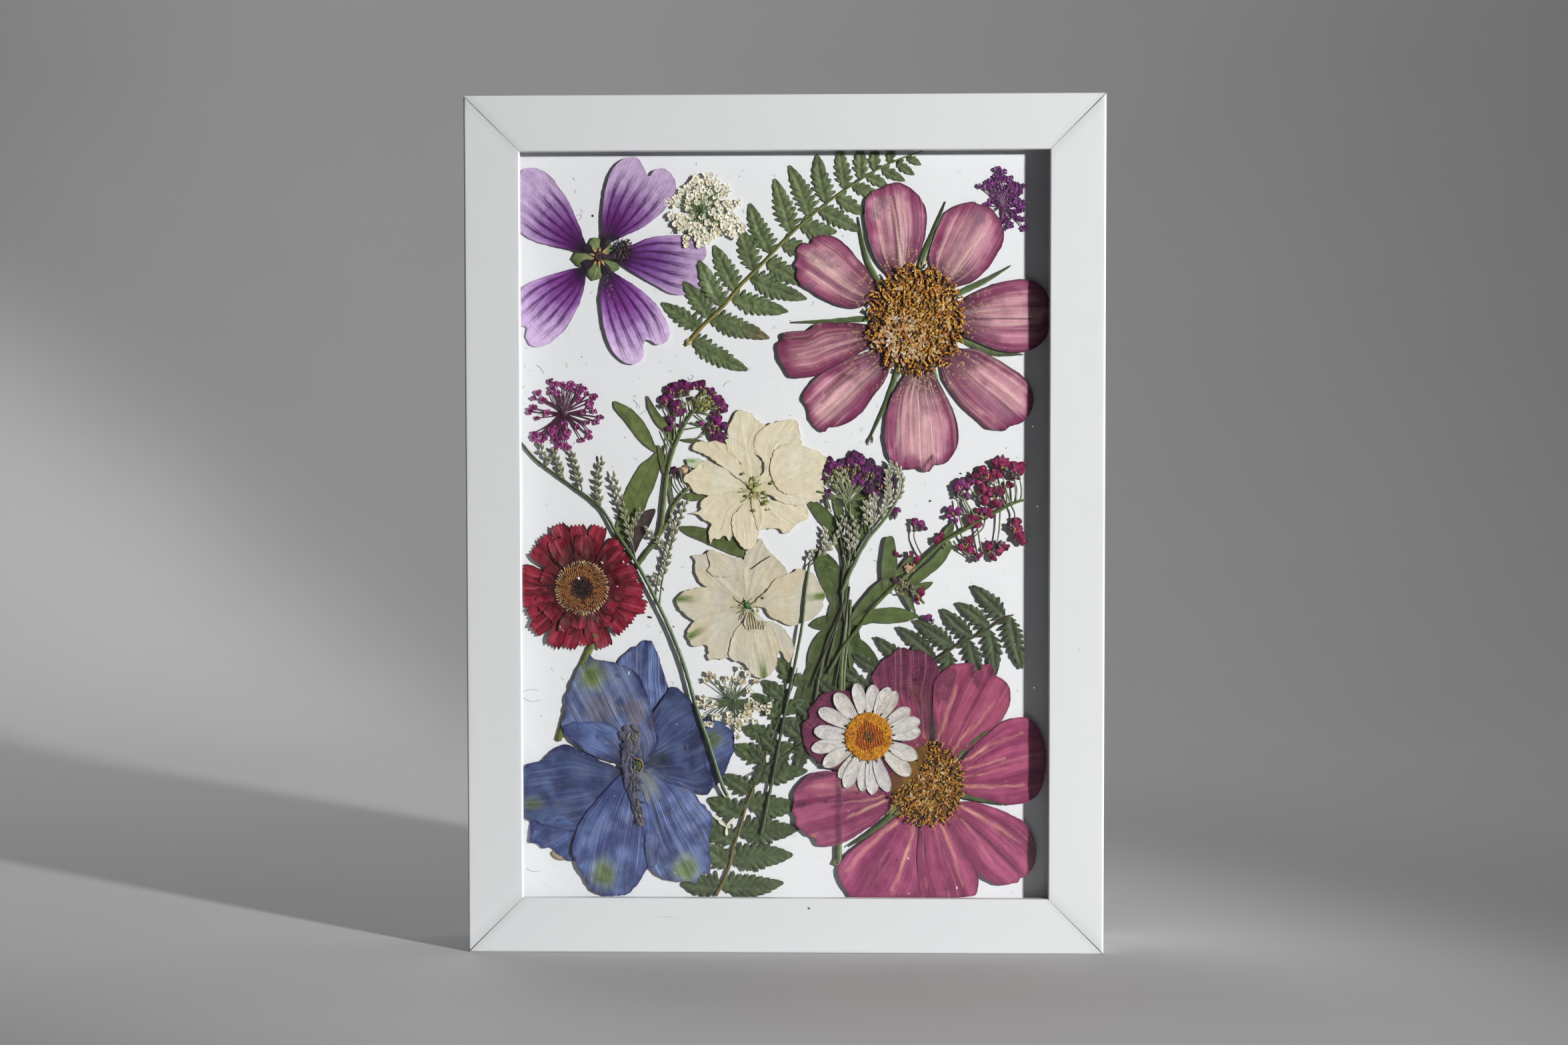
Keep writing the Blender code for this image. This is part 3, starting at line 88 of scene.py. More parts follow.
def noise(x, y, seed=0):
    """Smooth noise from -1 to 1."""
    x, y = np.broadcast_arrays(np.asarray(x, float), np.asarray(y, float))
    ix, iy = np.floor(x).astype(np.int64), np.floor(y).astype(np.int64)
    fx, fy = x - ix, y - iy
    fx, fy = fx * fx * (3 - 2 * fx), fy * fy * (3 - 2 * fy)
    a, b = hashed(ix, iy, seed), hashed(ix + 1, iy, seed)
    c, d = hashed(ix, iy + 1, seed), hashed(ix + 1, iy + 1, seed)
    return 2 * ((a + (b - a) * fx) * (1 - fy) + (c + (d - c) * fx) * fy) - 1


def layered(x, y, seed=0, octaves=3, gain=0.5):
    total, size = 0.0, 1.0
    for i in range(octaves):
        total = total + size * noise(x * 2**i, y * 2**i, seed + 17 * i)
        size *= gain
    return total


def ease(low, high, x):
    t = np.clip((np.asarray(x, float) - low) / (high - low), 0, 1)
    return t * t * (3 - 2 * t)


def blend(a, b, t):
    """Colours a to b by t, each a triple or an array of them."""
    t = np.asarray(t, float)
    if t.ndim:
        t = t[:, None]
    return np.asarray(a, float) * (1 - t) + np.asarray(b, float) * t


def shade(r, g, b):
    """A colour as seen on a screen, made linear."""
    return np.array([((c + 0.055) / 1.055) ** 2.4 if c > 0.04045 else c / 12.92 for c in (r, g, b)])


# -------------------------------------------------------------------- outlines
def curve(points, step, closed=True, power=0.5):
    """A smooth line through the points, with a point every `step`."""
    p = np.asarray(points, float)
    n = len(p)
    out = []
    last = n if closed else n - 1
    for i in range(last):
        if closed:
            p0, p1, p2, p3 = p[(i - 1) % n], p[i], p[(i + 1) % n], p[(i + 2) % n]
        else:
            p1, p2 = p[i], p[i + 1]
            p0 = p[i - 1] if i else 2 * p1 - p2
            p3 = p[i + 2] if i + 2 < n else 2 * p2 - p1
        t1 = max(np.linalg.norm(p1 - p0), 1e-6) ** power
        t2 = t1 + max(np.linalg.norm(p2 - p1), 1e-6) ** power
        t3 = t2 + max(np.linalg.norm(p3 - p2), 1e-6) ** power
        count = max(4, int(np.linalg.norm(p2 - p1) / step * 3))
        t = np.linspace(t1, t2, count, endpoint=False)[:, None]
        a1 = (t1 - t) / t1 * p0 + t / t1 * p1
        a2 = (t2 - t) / (t2 - t1) * p1 + (t - t1) / (t2 - t1) * p2
        a3 = (t3 - t) / (t3 - t2) * p2 + (t - t2) / (t3 - t2) * p3
        b1 = (t2 - t) / t2 * a1 + t / t2 * a2
        b2 = (t3 - t) / (t3 - t1) * a2 + (t - t1) / (t3 - t1) * a3
        out.append((t2 - t) / (t2 - t1) * b1 + (t - t1) / (t2 - t1) * b2)
    if not closed:
        out.append(p[-1:])
    return even(np.concatenate(out), step, closed)


def even(line, step, closed=True):
    """The line with evenly spaced points."""
    if closed:
        line = np.concatenate((line, line[:1]))
    run = np.linalg.norm(np.diff(line, axis=0), axis=1)
    at = np.concatenate(([0], np.cumsum(run)))
    count = max(6 if closed else 2, int(round(at[-1] / step)))
    want = np.linspace(0, at[-1], count, endpoint=not closed) if closed else np.linspace(0, at[-1], count + 1)
    return np.stack([np.interp(want, at, line[:, k]) for k in range(line.shape[1])], axis=1)


def ragged(loop, size, scale, seed):
    """The outline with a naturally uneven edge."""
    after, before = np.roll(loop, -1, axis=0), np.roll(loop, 1, axis=0)
    along = after - before
    along /= np.maximum(np.linalg.norm(along, axis=1), 1e-9)[:, None]
    out = np.stack((along[:, 1], -along[:, 0]), axis=1)
    off = layered(loop[:, 0] / scale, loop[:, 1] / scale, seed, 3)
    return loop + out * (off * size)[:, None]


def within(points, loop):
    x, y = points[:, 0][:, None], points[:, 1][:, None]
    a, b = loop, np.roll(loop, -1, axis=0)
    out = np.zeros(len(points), bool)
    for start in range(0, len(points), 4000):
        part = slice(start, start + 4000)
        cross = (a[:, 1] > y[part]) != (b[:, 1] > y[part])
        at = (b[:, 0] - a[:, 0]) * (y[part] - a[:, 1]) / (b[:, 1] - a[:, 1] + 1e-12) + a[:, 0]
        out[part] = (np.sum(cross & (x[part] < at), axis=1) % 2) == 1
    return out


def edge_distance(points, loop, closed=True):
    a = loop if closed else loop[:-1]
    b = np.roll(loop, -1, axis=0) if closed else loop[1:]
    run = b - a
    square = np.maximum((run**2).sum(axis=1), 1e-12)
    out = np.empty(len(points))
    for start in range(0, len(points), 3000):
        p = points[start : start + 3000][:, None, :]
        t = np.clip(((p - a) * run).sum(axis=2) / square, 0, 1)
        out[start : start + 3000] = np.sqrt((((a + run * t[..., None]) - p) ** 2).sum(axis=2).min(axis=1))
    return out


def fill(loop, gap, seed=0, holes=()):
    """Points and triangles that fill the outline, with a point about every `gap`."""
    low, high = loop.min(axis=0), loop.max(axis=0)
    rows = np.arange(low[1], high[1], gap * 0.866)
    cols = np.arange(low[0], high[0], gap)
    u, v = np.meshgrid(cols, rows)
    u = u + (np.arange(len(rows)) % 2)[:, None] * gap / 2
    grid = np.stack((u.ravel(), v.ravel()), axis=1)
    grid += 0.18 * gap * np.stack(
        (noise(grid[:, 0] * 3.1, grid[:, 1] * 2.7, seed), noise(grid[:, 0] * 2.9, grid[:, 1] * 3.3, seed + 1)), axis=1
    )
    grid = grid[within(grid, loop)]
    if len(grid):
        grid = grid[edge_distance(grid, loop) > 0.55 * gap]
    rings = [loop]
    for hole in holes:
        if len(grid):
            grid = grid[~within(grid, hole) & (edge_distance(grid, hole) > 0.5 * gap)]
        rings.append(hole)
    points = np.concatenate(rings + [grid]) if len(grid) else np.concatenate(rings)
    faces, edges, at = [], [], 0
    for ring in rings:
        edges += [(at + i, at + (i + 1) % len(ring)) for i in range(len(ring))]
        at += len(ring)
    verts = [Vector((float(x), float(y))) for x, y in points]
    made, _, tris, _, _, _ = delaunay_2d_cdt(verts, edges, [], 1, 1e-4)
    made = np.array([(p.x, p.y) for p in made])
    tris = np.array([t for t in tris if len(t) == 3], int)
    middle = made[tris].mean(axis=1)
    keep = within(middle, loop)
    for hole in holes:
        keep &= ~within(middle, hole)
    return made, tris[keep]


# ------------------------------------------------------------------- meshes
class Bag:
    """Closed shapes that become one mesh."""

    def __init__(self):
        self.uvw, self.tris, self.quads = [], [], []
        self.tone, self.grain, self.mask = [], [], []
        self.tri_slot, self.quad_slot = [], []
        self.count = 0

    def add(self, uvw, tris=None, quads=None, tone=(0.5, 0.5, 0.5), grain=(0, 0, 0), mask=(0, 0, 0, 0), slot=0):
        uvw = np.asarray(uvw, float)
        n = len(uvw)
        tris = np.zeros((0, 3), int) if tris is None or not len(tris) else np.asarray(tris, int)
        quads = np.zeros((0, 4), int) if quads is None or not len(quads) else np.asarray(quads, int)
        at = uvw - uvw.mean(axis=0)
        volume = np.linalg.det(at[tris]).sum() if len(tris) else 0.0
        if len(quads):
            volume += np.linalg.det(at[quads[:, [0, 1, 2]]]).sum() + np.linalg.det(at[quads[:, [0, 2, 3]]]).sum()
        if volume < 0:
            tris, quads = tris[:, ::-1], quads[:, ::-1]
        # (u, v, w) is a left-handed set of axes in the frame with w to the front,
        # and so is turned round once more when it is placed.
        self.uvw.append(uvw)
        self.tris.append(tris + self.count)
        self.quads.append(quads + self.count)
        self.tone.append(np.broadcast_to(np.asarray(tone, float), (n, 3)))
        self.grain.append(np.broadcast_to(np.asarray(grain, float), (n, 3)))
        self.mask.append(np.broadcast_to(np.asarray(mask, float), (n, 4)))
        self.tri_slot.append(np.full(len(tris), slot))
        self.quad_slot.append(np.full(len(quads), slot))
        self.count += n

    def grade(self, gain, contrast):
        """Tint all painted colours, and spread the light and the dark ones apart."""
        weights = np.array((0.2126, 0.7152, 0.0722))
        level = np.maximum(np.concatenate(self.tone) @ weights, 1e-3)
        middle = float(np.exp(np.log(level).mean()))
        for i, tone in enumerate(self.tone):
            light = np.maximum(tone @ weights, 1e-3)
            spread = np.clip((light / middle) ** (contrast - 1), 0.4, 1.9)
            self.tone[i] = tone * spread[:, None] * np.asarray(gain, float)

    def build(self, name, materials, depth=CARD_Y, sharp=50.0):
        uvw = np.concatenate(self.uvw)
        tris, quads = np.concatenate(self.tris), np.concatenate(self.quads)
        points = place(uvw, depth)
        # Whether placing mirrored the shapes.
        flip = np.linalg.det(place(np.array(((0, 0, 0), (1, 0, 0), (0, 1, 0), (0, 0, 1)), float) + uvw[0])[1:] - place(uvw[:1])) < 0
        if flip:
            tris, quads = tris[:, ::-1], quads[:, ::-1]
        mesh = bpy.data.meshes.new(name)
        total = len(tris) + len(quads)
        mesh.vertices.add(len(points))
        mesh.vertices.foreach_set("co", points.ravel().astype(np.float32))
        mesh.loops.add(3 * len(tris) + 4 * len(quads))
        mesh.loops.foreach_set("vertex_index", np.concatenate((tris.ravel(), quads.ravel())).astype(np.int32))
        mesh.polygons.add(total)
        starts = np.concatenate((np.arange(len(tris)) * 3, 3 * len(tris) + np.arange(len(quads)) * 4))
        mesh.polygons.foreach_set("loop_start", starts.astype(np.int32))
        mesh.polygons.foreach_set("use_smooth", np.ones(total, bool))
        mesh.polygons.foreach_set(
            "material_index", np.concatenate(self.tri_slot + self.quad_slot).astype(np.int32)
        )
        mesh.update(calc_edges=True)
        mesh.validate()
        tone = np.concatenate(self.tone)
        tone = np.concatenate((np.clip(tone, 0, 1), np.ones((len(tone), 1))), axis=1)
        mesh.attributes.new("tone", "FLOAT_COLOR", "POINT").data.foreach_set("color", tone.ravel().astype(np.float32))
        mesh.attributes.new("grain", "FLOAT_VECTOR", "POINT").data.foreach_set(
            "vector", np.concatenate(self.grain).ravel().astype(np.float32)
        )
        mesh.attributes.new("mask", "FLOAT_COLOR", "POINT").data.foreach_set(
            "color", np.concatenate(self.mask).ravel().astype(np.float32)
        )
        mesh.set_sharp_from_angle(angle=math.radians(sharp))
        obj = bpy.data.objects.new(name, mesh)
        for made in materials:
            mesh.materials.append(made)
        bpy.context.collection.objects.link(obj)
        return obj


def piece(bag, name, materials, nodes, slot, gain=(1, 1, 1), contrast=1.0, **options):
    """The bag as a finished piece that stands for the named solids."""
    bag.grade(gain, contrast)
    obj = bag.build(name, materials, **options)
    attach(obj, "root")
    if nodes:
        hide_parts(*([nodes] if isinstance(nodes, str) else nodes))
    return obj


def rim(tris):
    """Edges that only one triangle has, in that triangle's direction."""
    ends = np.concatenate((tris[:, [0, 1]], tris[:, [1, 2]], tris[:, [2, 0]]))
    seen = {(a, b) for a, b in ends.tolist()}
    return np.array([(a, b) for a, b in ends.tolist() if (b, a) not in seen], int).reshape(-1, 2)


def add_sheet(bag, points, tris, height, thick, tone, grain, mask, slot=0, back_tone=None):
    """A thin closed sheet over flat points, its front at `height`."""
    n = len(points)
    area = np.cross(points[tris[:, 1]] - points[tris[:, 0]], points[tris[:, 2]] - points[tris[:, 0]])
    tris = np.where(area[:, None] < 0, tris[:, ::-1], tris)
    front = np.concatenate((points, height[:, None]), axis=1)
    back = np.concatenate((points, (height - thick)[:, None]), axis=1)
    edge = rim(tris)
    quads = np.stack((edge[:, 1], edge[:, 0], edge[:, 0] + n, edge[:, 1] + n), axis=1)
    tone = np.broadcast_to(tone, (n, 3))
    grain = np.broadcast_to(grain, (n, 3))
    mask = np.broadcast_to(mask, (n, 4))
    under = tone * 0.9 if back_tone is None else np.broadcast_to(back_tone, (n, 3))
    bag.add(
        np.concatenate((front, back)),
        np.concatenate((tris, tris[:, ::-1] + n)),
        quads,
        np.concatenate((tone, under)),
        np.concatenate((grain, grain)),
        np.concatenate((mask, mask)),
        slot,
    )


def add_tube(bag, path, radius, tone, sides=7, flat=0.6, seed=0, rough=0.12, mask=(0, 0, 0, 0), slot=0, step=2.0, smooth=True, keel=0.0):
    """A stem along (u, v, w) points. radius is a number, a pair or one value for each point."""
    path = np.asarray(path, float)
    given = np.atleast_1d(np.asarray(radius, float))
    if len(given) == 1:
        given = np.repeat(given, len(path))
    elif len(given) == 2 and len(path) != 2:
        given = np.linspace(given[0], given[1], len(path))
    joined = np.concatenate((path, given[:, None]), axis=1)
    line = curve(joined, step, closed=False) if smooth and len(path) > 2 else even(joined, step, closed=False)
    spots, reach = line[:, :3], line[:, 3]
    n = len(spots)
    run = np.gradient(spots, axis=0)
    run /= np.maximum(np.linalg.norm(run, axis=1), 1e-9)[:, None]
    side = np.stack((-run[:, 1], run[:, 0], np.zeros(n)), axis=1)
    side /= np.maximum(np.linalg.norm(side, axis=1), 1e-9)[:, None]
    up = np.cross(run, side)
    up *= np.sign(up[:, 2] + 1e-9)[:, None]
    angle = 2 * np.pi * np.arange(sides) / sides
    swell = 1 + rough * noise(np.arange(n)[:, None] * step / 7.0, np.arange(sides)[None, :] * 1.3, seed)
    swell *= 1 + 0.6 * rough * noise(np.arange(n)[:, None] * step / 2.5, np.arange(sides)[None, :] * 2.3, seed + 5)
    r = reach[:, None] * swell
    out = (
        spots[:, None, :]
        + side[:, None, :] * (r * np.cos(angle))[..., None]
        + up[:, None, :] * (r * flat * (np.sin(angle) + keel * np.abs(np.sin(angle)) * np.abs(np.sin(angle))))[..., None]
    )
    ring = np.arange(n * sides).reshape(n, sides)
    quads = np.stack(
        (ring[:-1], np.roll(ring[:-1], -1, axis=1), np.roll(ring[1:], -1, axis=1), ring[1:]), axis=-1
    ).reshape(-1, 4)
    points = out.reshape(-1, 3)
    ends = np.stack((spots[0] - run[0] * reach[0] * 0.4, spots[-1] + run[-1] * reach[-1] * 0.6))
    points = np.concatenate((points, ends))
    first, last = len(points) - 2, len(points) - 1
    caps = [(first, ring[0][(i + 1) % sides], ring[0][i]) for i in range(sides)]
    caps += [(last, ring[-1][i], ring[-1][(i + 1) % sides]) for i in range(sides)]
    s = np.repeat(np.linspace(0, 1, n), sides)
    c = np.tile(np.cos(angle), n)
    grain = np.stack((s * n * step / 40.0, c, np.full(n * sides, seed * 0.37)), axis=1)
    grain = np.concatenate((grain, grain[:1], grain[-1:]))
    tone = np.asarray(tone, float)
    if tone.ndim == 2:
        if len(tone) == 2:
            tone = blend(tone[0], tone[1], np.concatenate((s, (0, 1))))
        else:
            at = np.concatenate((s, (0, 1))) * (len(tone) - 1)
            tone = np.stack([np.interp(at, np.arange(len(tone)), tone[:, k]) for k in range(3)], axis=1)
    bag.add(points, caps, quads, tone, grain, mask, slot)


def add_patch(
    bag, base, tip, width, tone, rows=9, cols=6, outline=None, bow=0.0, lift=0.0, cup=0.0, wave=0.0,
    keel=0.0, thick=0.8, teeth=0.0, seed=0, mask=(0, 0, 0, 0), slot=0, tone_tip=None, tone_edge=None,
    notch=0.0, twist=0.0, curl=0.0, spot=None,
):
    """A small leaf, ray or petal between two (u, v, w) points, as a thin closed sheet.

    outline maps 0..1 along it to its half width (0..1). cup lowers its middle, lift raises its
    middle length, wave ruffles it, keel draws a ridge, notch cuts its tip and curl lifts its edges."""
    base, tip = np.asarray(base, float), np.asarray(tip, float)
    run = tip - base
    length = np.linalg.norm(run[:2])
    along = run / max(np.linalg.norm(run), 1e-9)
    side = np.array((-run[1], run[0], 0.0)) / max(length, 1e-9)
    s, c = np.linspace(0, 1, rows), np.linspace(-1, 1, cols)
    if outline is None:
        outline = [(0, 0.25), (0.25, 0.75), (0.55, 1.0), (0.8, 0.8), (0.95, 0.4), (1, 0.12)]
    half = np.interp(s, [a for a, _ in outline], [b for _, b in outline]) * width / 2
    S, C = np.meshgrid(s, c, indexing="ij")
    H = half[:, None] * np.ones(cols)
    across = C * H
    if teeth:
        across = across + np.sign(C) * (np.abs(C) > 0.9) * teeth * noise(S * length / 3.0, C * 3, seed + 3)
    reach = S * np.linalg.norm(run)
    if notch:
        reach = reach - notch * ease(0.8, 1.0, S) * (0.5 + 0.5 * np.cos(C * 3 * np.pi))
    off = bow * length * np.sin(np.pi * S)
    w = lift * np.sin(np.pi * S) - cup * (1 - C**2) * ease(0, 0.3, S) + curl * C**2 * S
    w = w + wave * noise(S * length / 9.0 + seed, C * 1.3, seed) * ease(0, 0.25, S)
    w = w + keel * (np.abs(C) < 0.34) * (1 - np.abs(C) / 0.34) * (1 - S * 0.6) + twist * C * (S - 0.3)
    points = (
        base
        + along * reach[..., None]
        + side * (across + off)[..., None]
        + np.array((0, 0, 1.0)) * w[..., None]
    ).reshape(-1, 3)
    n = rows * cols
    index = np.arange(n).reshape(rows, cols)
    quads = np.stack((index[:-1, :-1], index[:-1, 1:], index[1:, 1:], index[1:, :-1]), axis=-1).reshape(-1, 4)
    loop = np.concatenate((index[0, :-1], index[:-1, -1], index[-1, :0:-1], index[:0:-1, 0]))
    back = points - np.array((0, 0, thick))
    sides = np.stack((loop, np.roll(loop, -1), np.roll(loop, -1) + n, loop + n), axis=1)
    tone = np.broadcast_to(np.asarray(tone, float), (n, 3))
    if tone_tip is not None:
        tone = blend(tone, np.asarray(tone_tip, float), ease(0.35, 1.0, S.ravel()))
    if tone_edge is not None:
        tone = blend(tone, np.asarray(tone_edge, float), ease(0.55, 1.0, np.abs(C.ravel())))
    if spot is not None:
        tone = spot(S.ravel(), C.ravel(), tone)
    grain = np.stack((S.ravel(), C.ravel(), np.full(n, seed * 0.731 % 17)), axis=1)
    mask = np.broadcast_to(np.asarray(mask, float), (n, 4))
    bag.add(
        np.concatenate((points, back)),
        None,
        np.concatenate((quads[:, ::-1], quads + n, sides)),
        np.concatenate((tone, tone * 0.85)),
        np.concatenate((grain, grain)),
        np.concatenate((mask, mask)),
        slot,
    )


def add_bead(bag, at, radius, tone, squash=0.7, rings=4, sides=7, stretch=1.0, angle=0.0, seed=0, lumps=0.12, mask=(0, 0, 0, 0), slot=0, lit_top_tone=None, tilt=0.0):
    """A small rounded body. Its colour can run from the given tone at its bottom to a lighter tone at its top: painted
    shade below and a painted highlight on top.
    """
    points = [(0, 0, -squash * radius)]
    for i in range(1, rings):
        a = math.pi * i / rings
        r, z = math.sin(a) * radius, -math.cos(a) * radius * squash
        for k in range(sides):
            b = 2 * math.pi * (k + 0.5 * (i % 2)) / sides
            points.append((r * math.cos(b) * stretch, r * math.sin(b), z))
    points.append((0, 0, squash * radius))
    points = np.array(points)
    points *= (1 + lumps * noise(points[:, 0] * 1.7 + seed * 3.1, points[:, 1] * 1.7 + points[:, 2], seed))[:, None]
    ct, st = math.cos(tilt), math.sin(tilt)
    points = np.stack((points[:, 0] * ct - points[:, 2] * st, points[:, 1], points[:, 0] * st + points[:, 2] * ct), axis=1)
    ca, sa = math.cos(angle), math.sin(angle)
    turned = np.stack((points[:, 0] * ca - points[:, 1] * sa, points[:, 0] * sa + points[:, 1] * ca, points[:, 2]), axis=1)
    tris, quads = [], []
    for k in range(sides):
        tris.append((0, 1 + (k + 1) % sides, 1 + k))
        tris.append((len(points) - 1, len(points) - 1 - sides + k, len(points) - 1 - sides + (k + 1) % sides))
    for i in range(rings - 2):
        for k in range(sides):
            a, b = 1 + i * sides + k, 1 + i * sides + (k + 1) % sides
            quads.append((a, b, b + sides, a + sides))
    tone = np.broadcast_to(np.asarray(tone, float), (len(points), 3))
    # painted light and shade: the body's top takes the lighter tone and its bottom the darker one
    if lit_top_tone is not None:
        tone = blend(tone, np.asarray(lit_top_tone, float), ease(0.0, 1.0, turned[:, 2] / max(squash * radius, 1e-6)))
    grain = np.stack((turned[:, 0] / 6, turned[:, 1] / 6, np.full(len(points), seed * 0.53)), axis=1)
    bag.add(turned + np.asarray(at, float), tris, quads, tone, grain, mask, slot)


def along_petal(points, loop, base, tip, least=5.0):
    """(s, c) of points in a petal: how far along it, and where between its two sides."""
    base, tip = np.asarray(base, float), np.asarray(tip, float)
    length = np.linalg.norm(tip - base)
    e = (tip - base) / length
    n = np.array((-e[1], e[0]))
    ls, lt = (loop - base) @ e, (loop - base) @ n
    spots = np.linspace(max(ls.min(), 0) + 1, ls.max() - 1, 48)
    left, right = [], []
    ns, nt = np.roll(ls, -1), np.roll(lt, -1)
    for s0 in spots:
        cross = (ls > s0) != (ns > s0)
        t = lt[cross] + (nt[cross] - lt[cross]) * (s0 - ls[cross]) / (ns[cross] - ls[cross])
        left.append(t.min() if len(t) else 0.0)
        right.append(t.max() if len(t) else 0.0)
    left, right = np.array(left), np.array(right)
    half, middle = (right - left) / 2, (right + left) / 2
    top = int(np.argmax(half))
    half[top:] = half[top]
    slope = (middle[top] - middle[max(top - 8, 0)]) / max(spots[top] - spots[max(top - 8, 0)], 1e-6)
    middle[top:] = middle[top] + slope * (spots[top:] - spots[top]) * 0.5
    box = np.ones(7) / 7
    half = np.convolve(np.pad(half, 3, mode="edge"), box, mode="valid")
    middle = np.convolve(np.pad(middle, 3, mode="edge"), box, mode="valid")
    s, t = (points - base) @ e, (points - base) @ n
    h = np.maximum(np.interp(s, spots, half), least)
    c = (t - np.interp(s, spots, middle)) / h
    return s / length, np.clip(c, -1.4, 1.4)


# ---------------------------------------------------------------- materials
class Graph:
    """A material's nodes, made from short calls."""

    def __init__(self, name):
        self.made = bpy.data.materials.new(name)
        self.made.use_nodes = True
        self.tree = self.made.node_tree
        self.tree.nodes.clear()
        self.out = self.tree.nodes.new("ShaderNodeOutputMaterial")
        self.shader = self.tree.nodes.new("ShaderNodeBsdfPrincipled")
        self.tree.links.new(self.shader.outputs[0], self.out.inputs["Surface"])

    def put(self, socket, value):
        if isinstance(value, bpy.types.NodeSocket):
            self.tree.links.new(value, socket)
        elif value is not None:
            if hasattr(value, "__len__") and len(value) == 3 and socket.type == "RGBA":
                value = (*value, 1.0)
            socket.default_value = value

    def node(self, kind, **inputs):
        made = self.tree.nodes.new(kind)
        for key, value in inputs.items():
            self.put(made.inputs[key.replace("_", " ")], value)
        return made

    def math(self, op, a, b=None, c=None, clamp=False):
        made = self.tree.nodes.new("ShaderNodeMath")
        made.operation, made.use_clamp = op, clamp
        for socket, value in zip(made.inputs, (a, b, c)):
            self.put(socket, value)
        return made.outputs[0]

    def vec(self, x, y, z):
        made = self.tree.nodes.new("ShaderNodeCombineXYZ")
        for socket, value in zip(made.inputs, (x, y, z)):
            self.put(socket, value)
        return made.outputs[0]

    def split(self, vector):
        made = self.tree.nodes.new("ShaderNodeSeparateXYZ")
        self.put(made.inputs[0], vector)
        return made.outputs[:3]

    def attribute(self, name, output="Color"):
        made = self.tree.nodes.new("ShaderNodeAttribute")
        made.attribute_name = name
        return made.outputs[output]

    def mix(self, factor, a, b, kind="MIX"):
        made = self.tree.nodes.new("ShaderNodeMix")
        made.data_type, made.blend_type = "RGBA", kind
        made.clamp_factor = True
        self.put(made.inputs["Factor"], factor)
        colours = [i for i in made.inputs if i.type == "RGBA"]
        self.put(colours[0], a)
        self.put(colours[1], b)
        return [o for o in made.outputs if o.type == "RGBA"][0]

    def span(self, value, low, high, to_low=0.0, to_high=1.0, smooth=False):
        made = self.tree.nodes.new("ShaderNodeMapRange")
        if smooth:
            made.interpolation_type = "SMOOTHSTEP"
        self.put(made.inputs["Value"], value)
        for key, number in (("From Min", low), ("From Max", high), ("To Min", to_low), ("To Max", to_high)):
            self.put(made.inputs[key], number)
        return made.outputs["Result"]

    def clouds(self, vector, scale, detail=3.0, rough=0.55, twist=0.0):
        made = self.tree.nodes.new("ShaderNodeTexNoise")
        self.put(made.inputs["Vector"], vector)
        for key, value in (("Scale", scale), ("Detail", detail), ("Roughness", rough), ("Distortion", twist)):
            made.inputs[key].default_value = value
        return made.outputs["Fac"]

    def cells(self, vector, scale, feature="F1", output="Distance", random_=1.0):
        made = self.tree.nodes.new("ShaderNodeTexVoronoi")
        made.feature = feature
        self.put(made.inputs["Vector"], vector)
        made.inputs["Scale"].default_value = scale
        made.inputs["Randomness"].default_value = random_
        return made.outputs[output]

    def ground(self):
        return self.tree.nodes.new("ShaderNodeTexCoord").outputs["Object"]

    def bump(self, height, distance, strength=1.0, normal=None):
        made = self.tree.nodes.new("ShaderNodeBump")
        made.inputs["Strength"].default_value = strength
        made.inputs["Distance"].default_value = distance
        self.put(made.inputs["Height"], height)
        if normal is not None:
            self.put(made.inputs["Normal"], normal)
        return made.outputs["Normal"]

    def finish(self, colour, roughness, normal=None, **values):
        self.put(self.shader.inputs["Base Color"], colour)
        self.put(self.shader.inputs["Roughness"], roughness)
        if normal is not None:
            self.put(self.shader.inputs["Normal"], normal)
        for key, value in values.items():
            self.shader.inputs[key.replace("_", " ")].default_value = value
        return self.made


def specks(g, colour, spot_colour, scale, size, share, amount=1.0, seed=0.0):
    """Scattered small specks over a colour."""
    where = g.tree.nodes.new("ShaderNodeVectorMath")
    where.operation = "ADD"
    g.put(where.inputs[0], g.ground())
    where.inputs[1].default_value = (seed, seed * 0.7, seed * 1.3)
    cell = g.tree.nodes.new("ShaderNodeTexVoronoi")
    g.put(cell.inputs["Vector"], where.outputs[0])
    cell.inputs["Scale"].default_value = scale
    chosen = g.split(cell.outputs["Color"])
    near = g.math("LESS_THAN", cell.outputs["Distance"], g.math("MULTIPLY", chosen[1], size))
    picked = g.math("LESS_THAN", chosen[0], share)
    return g.mix(g.math("MULTIPLY", g.math("MULTIPLY", near, picked), amount), colour, spot_colour)


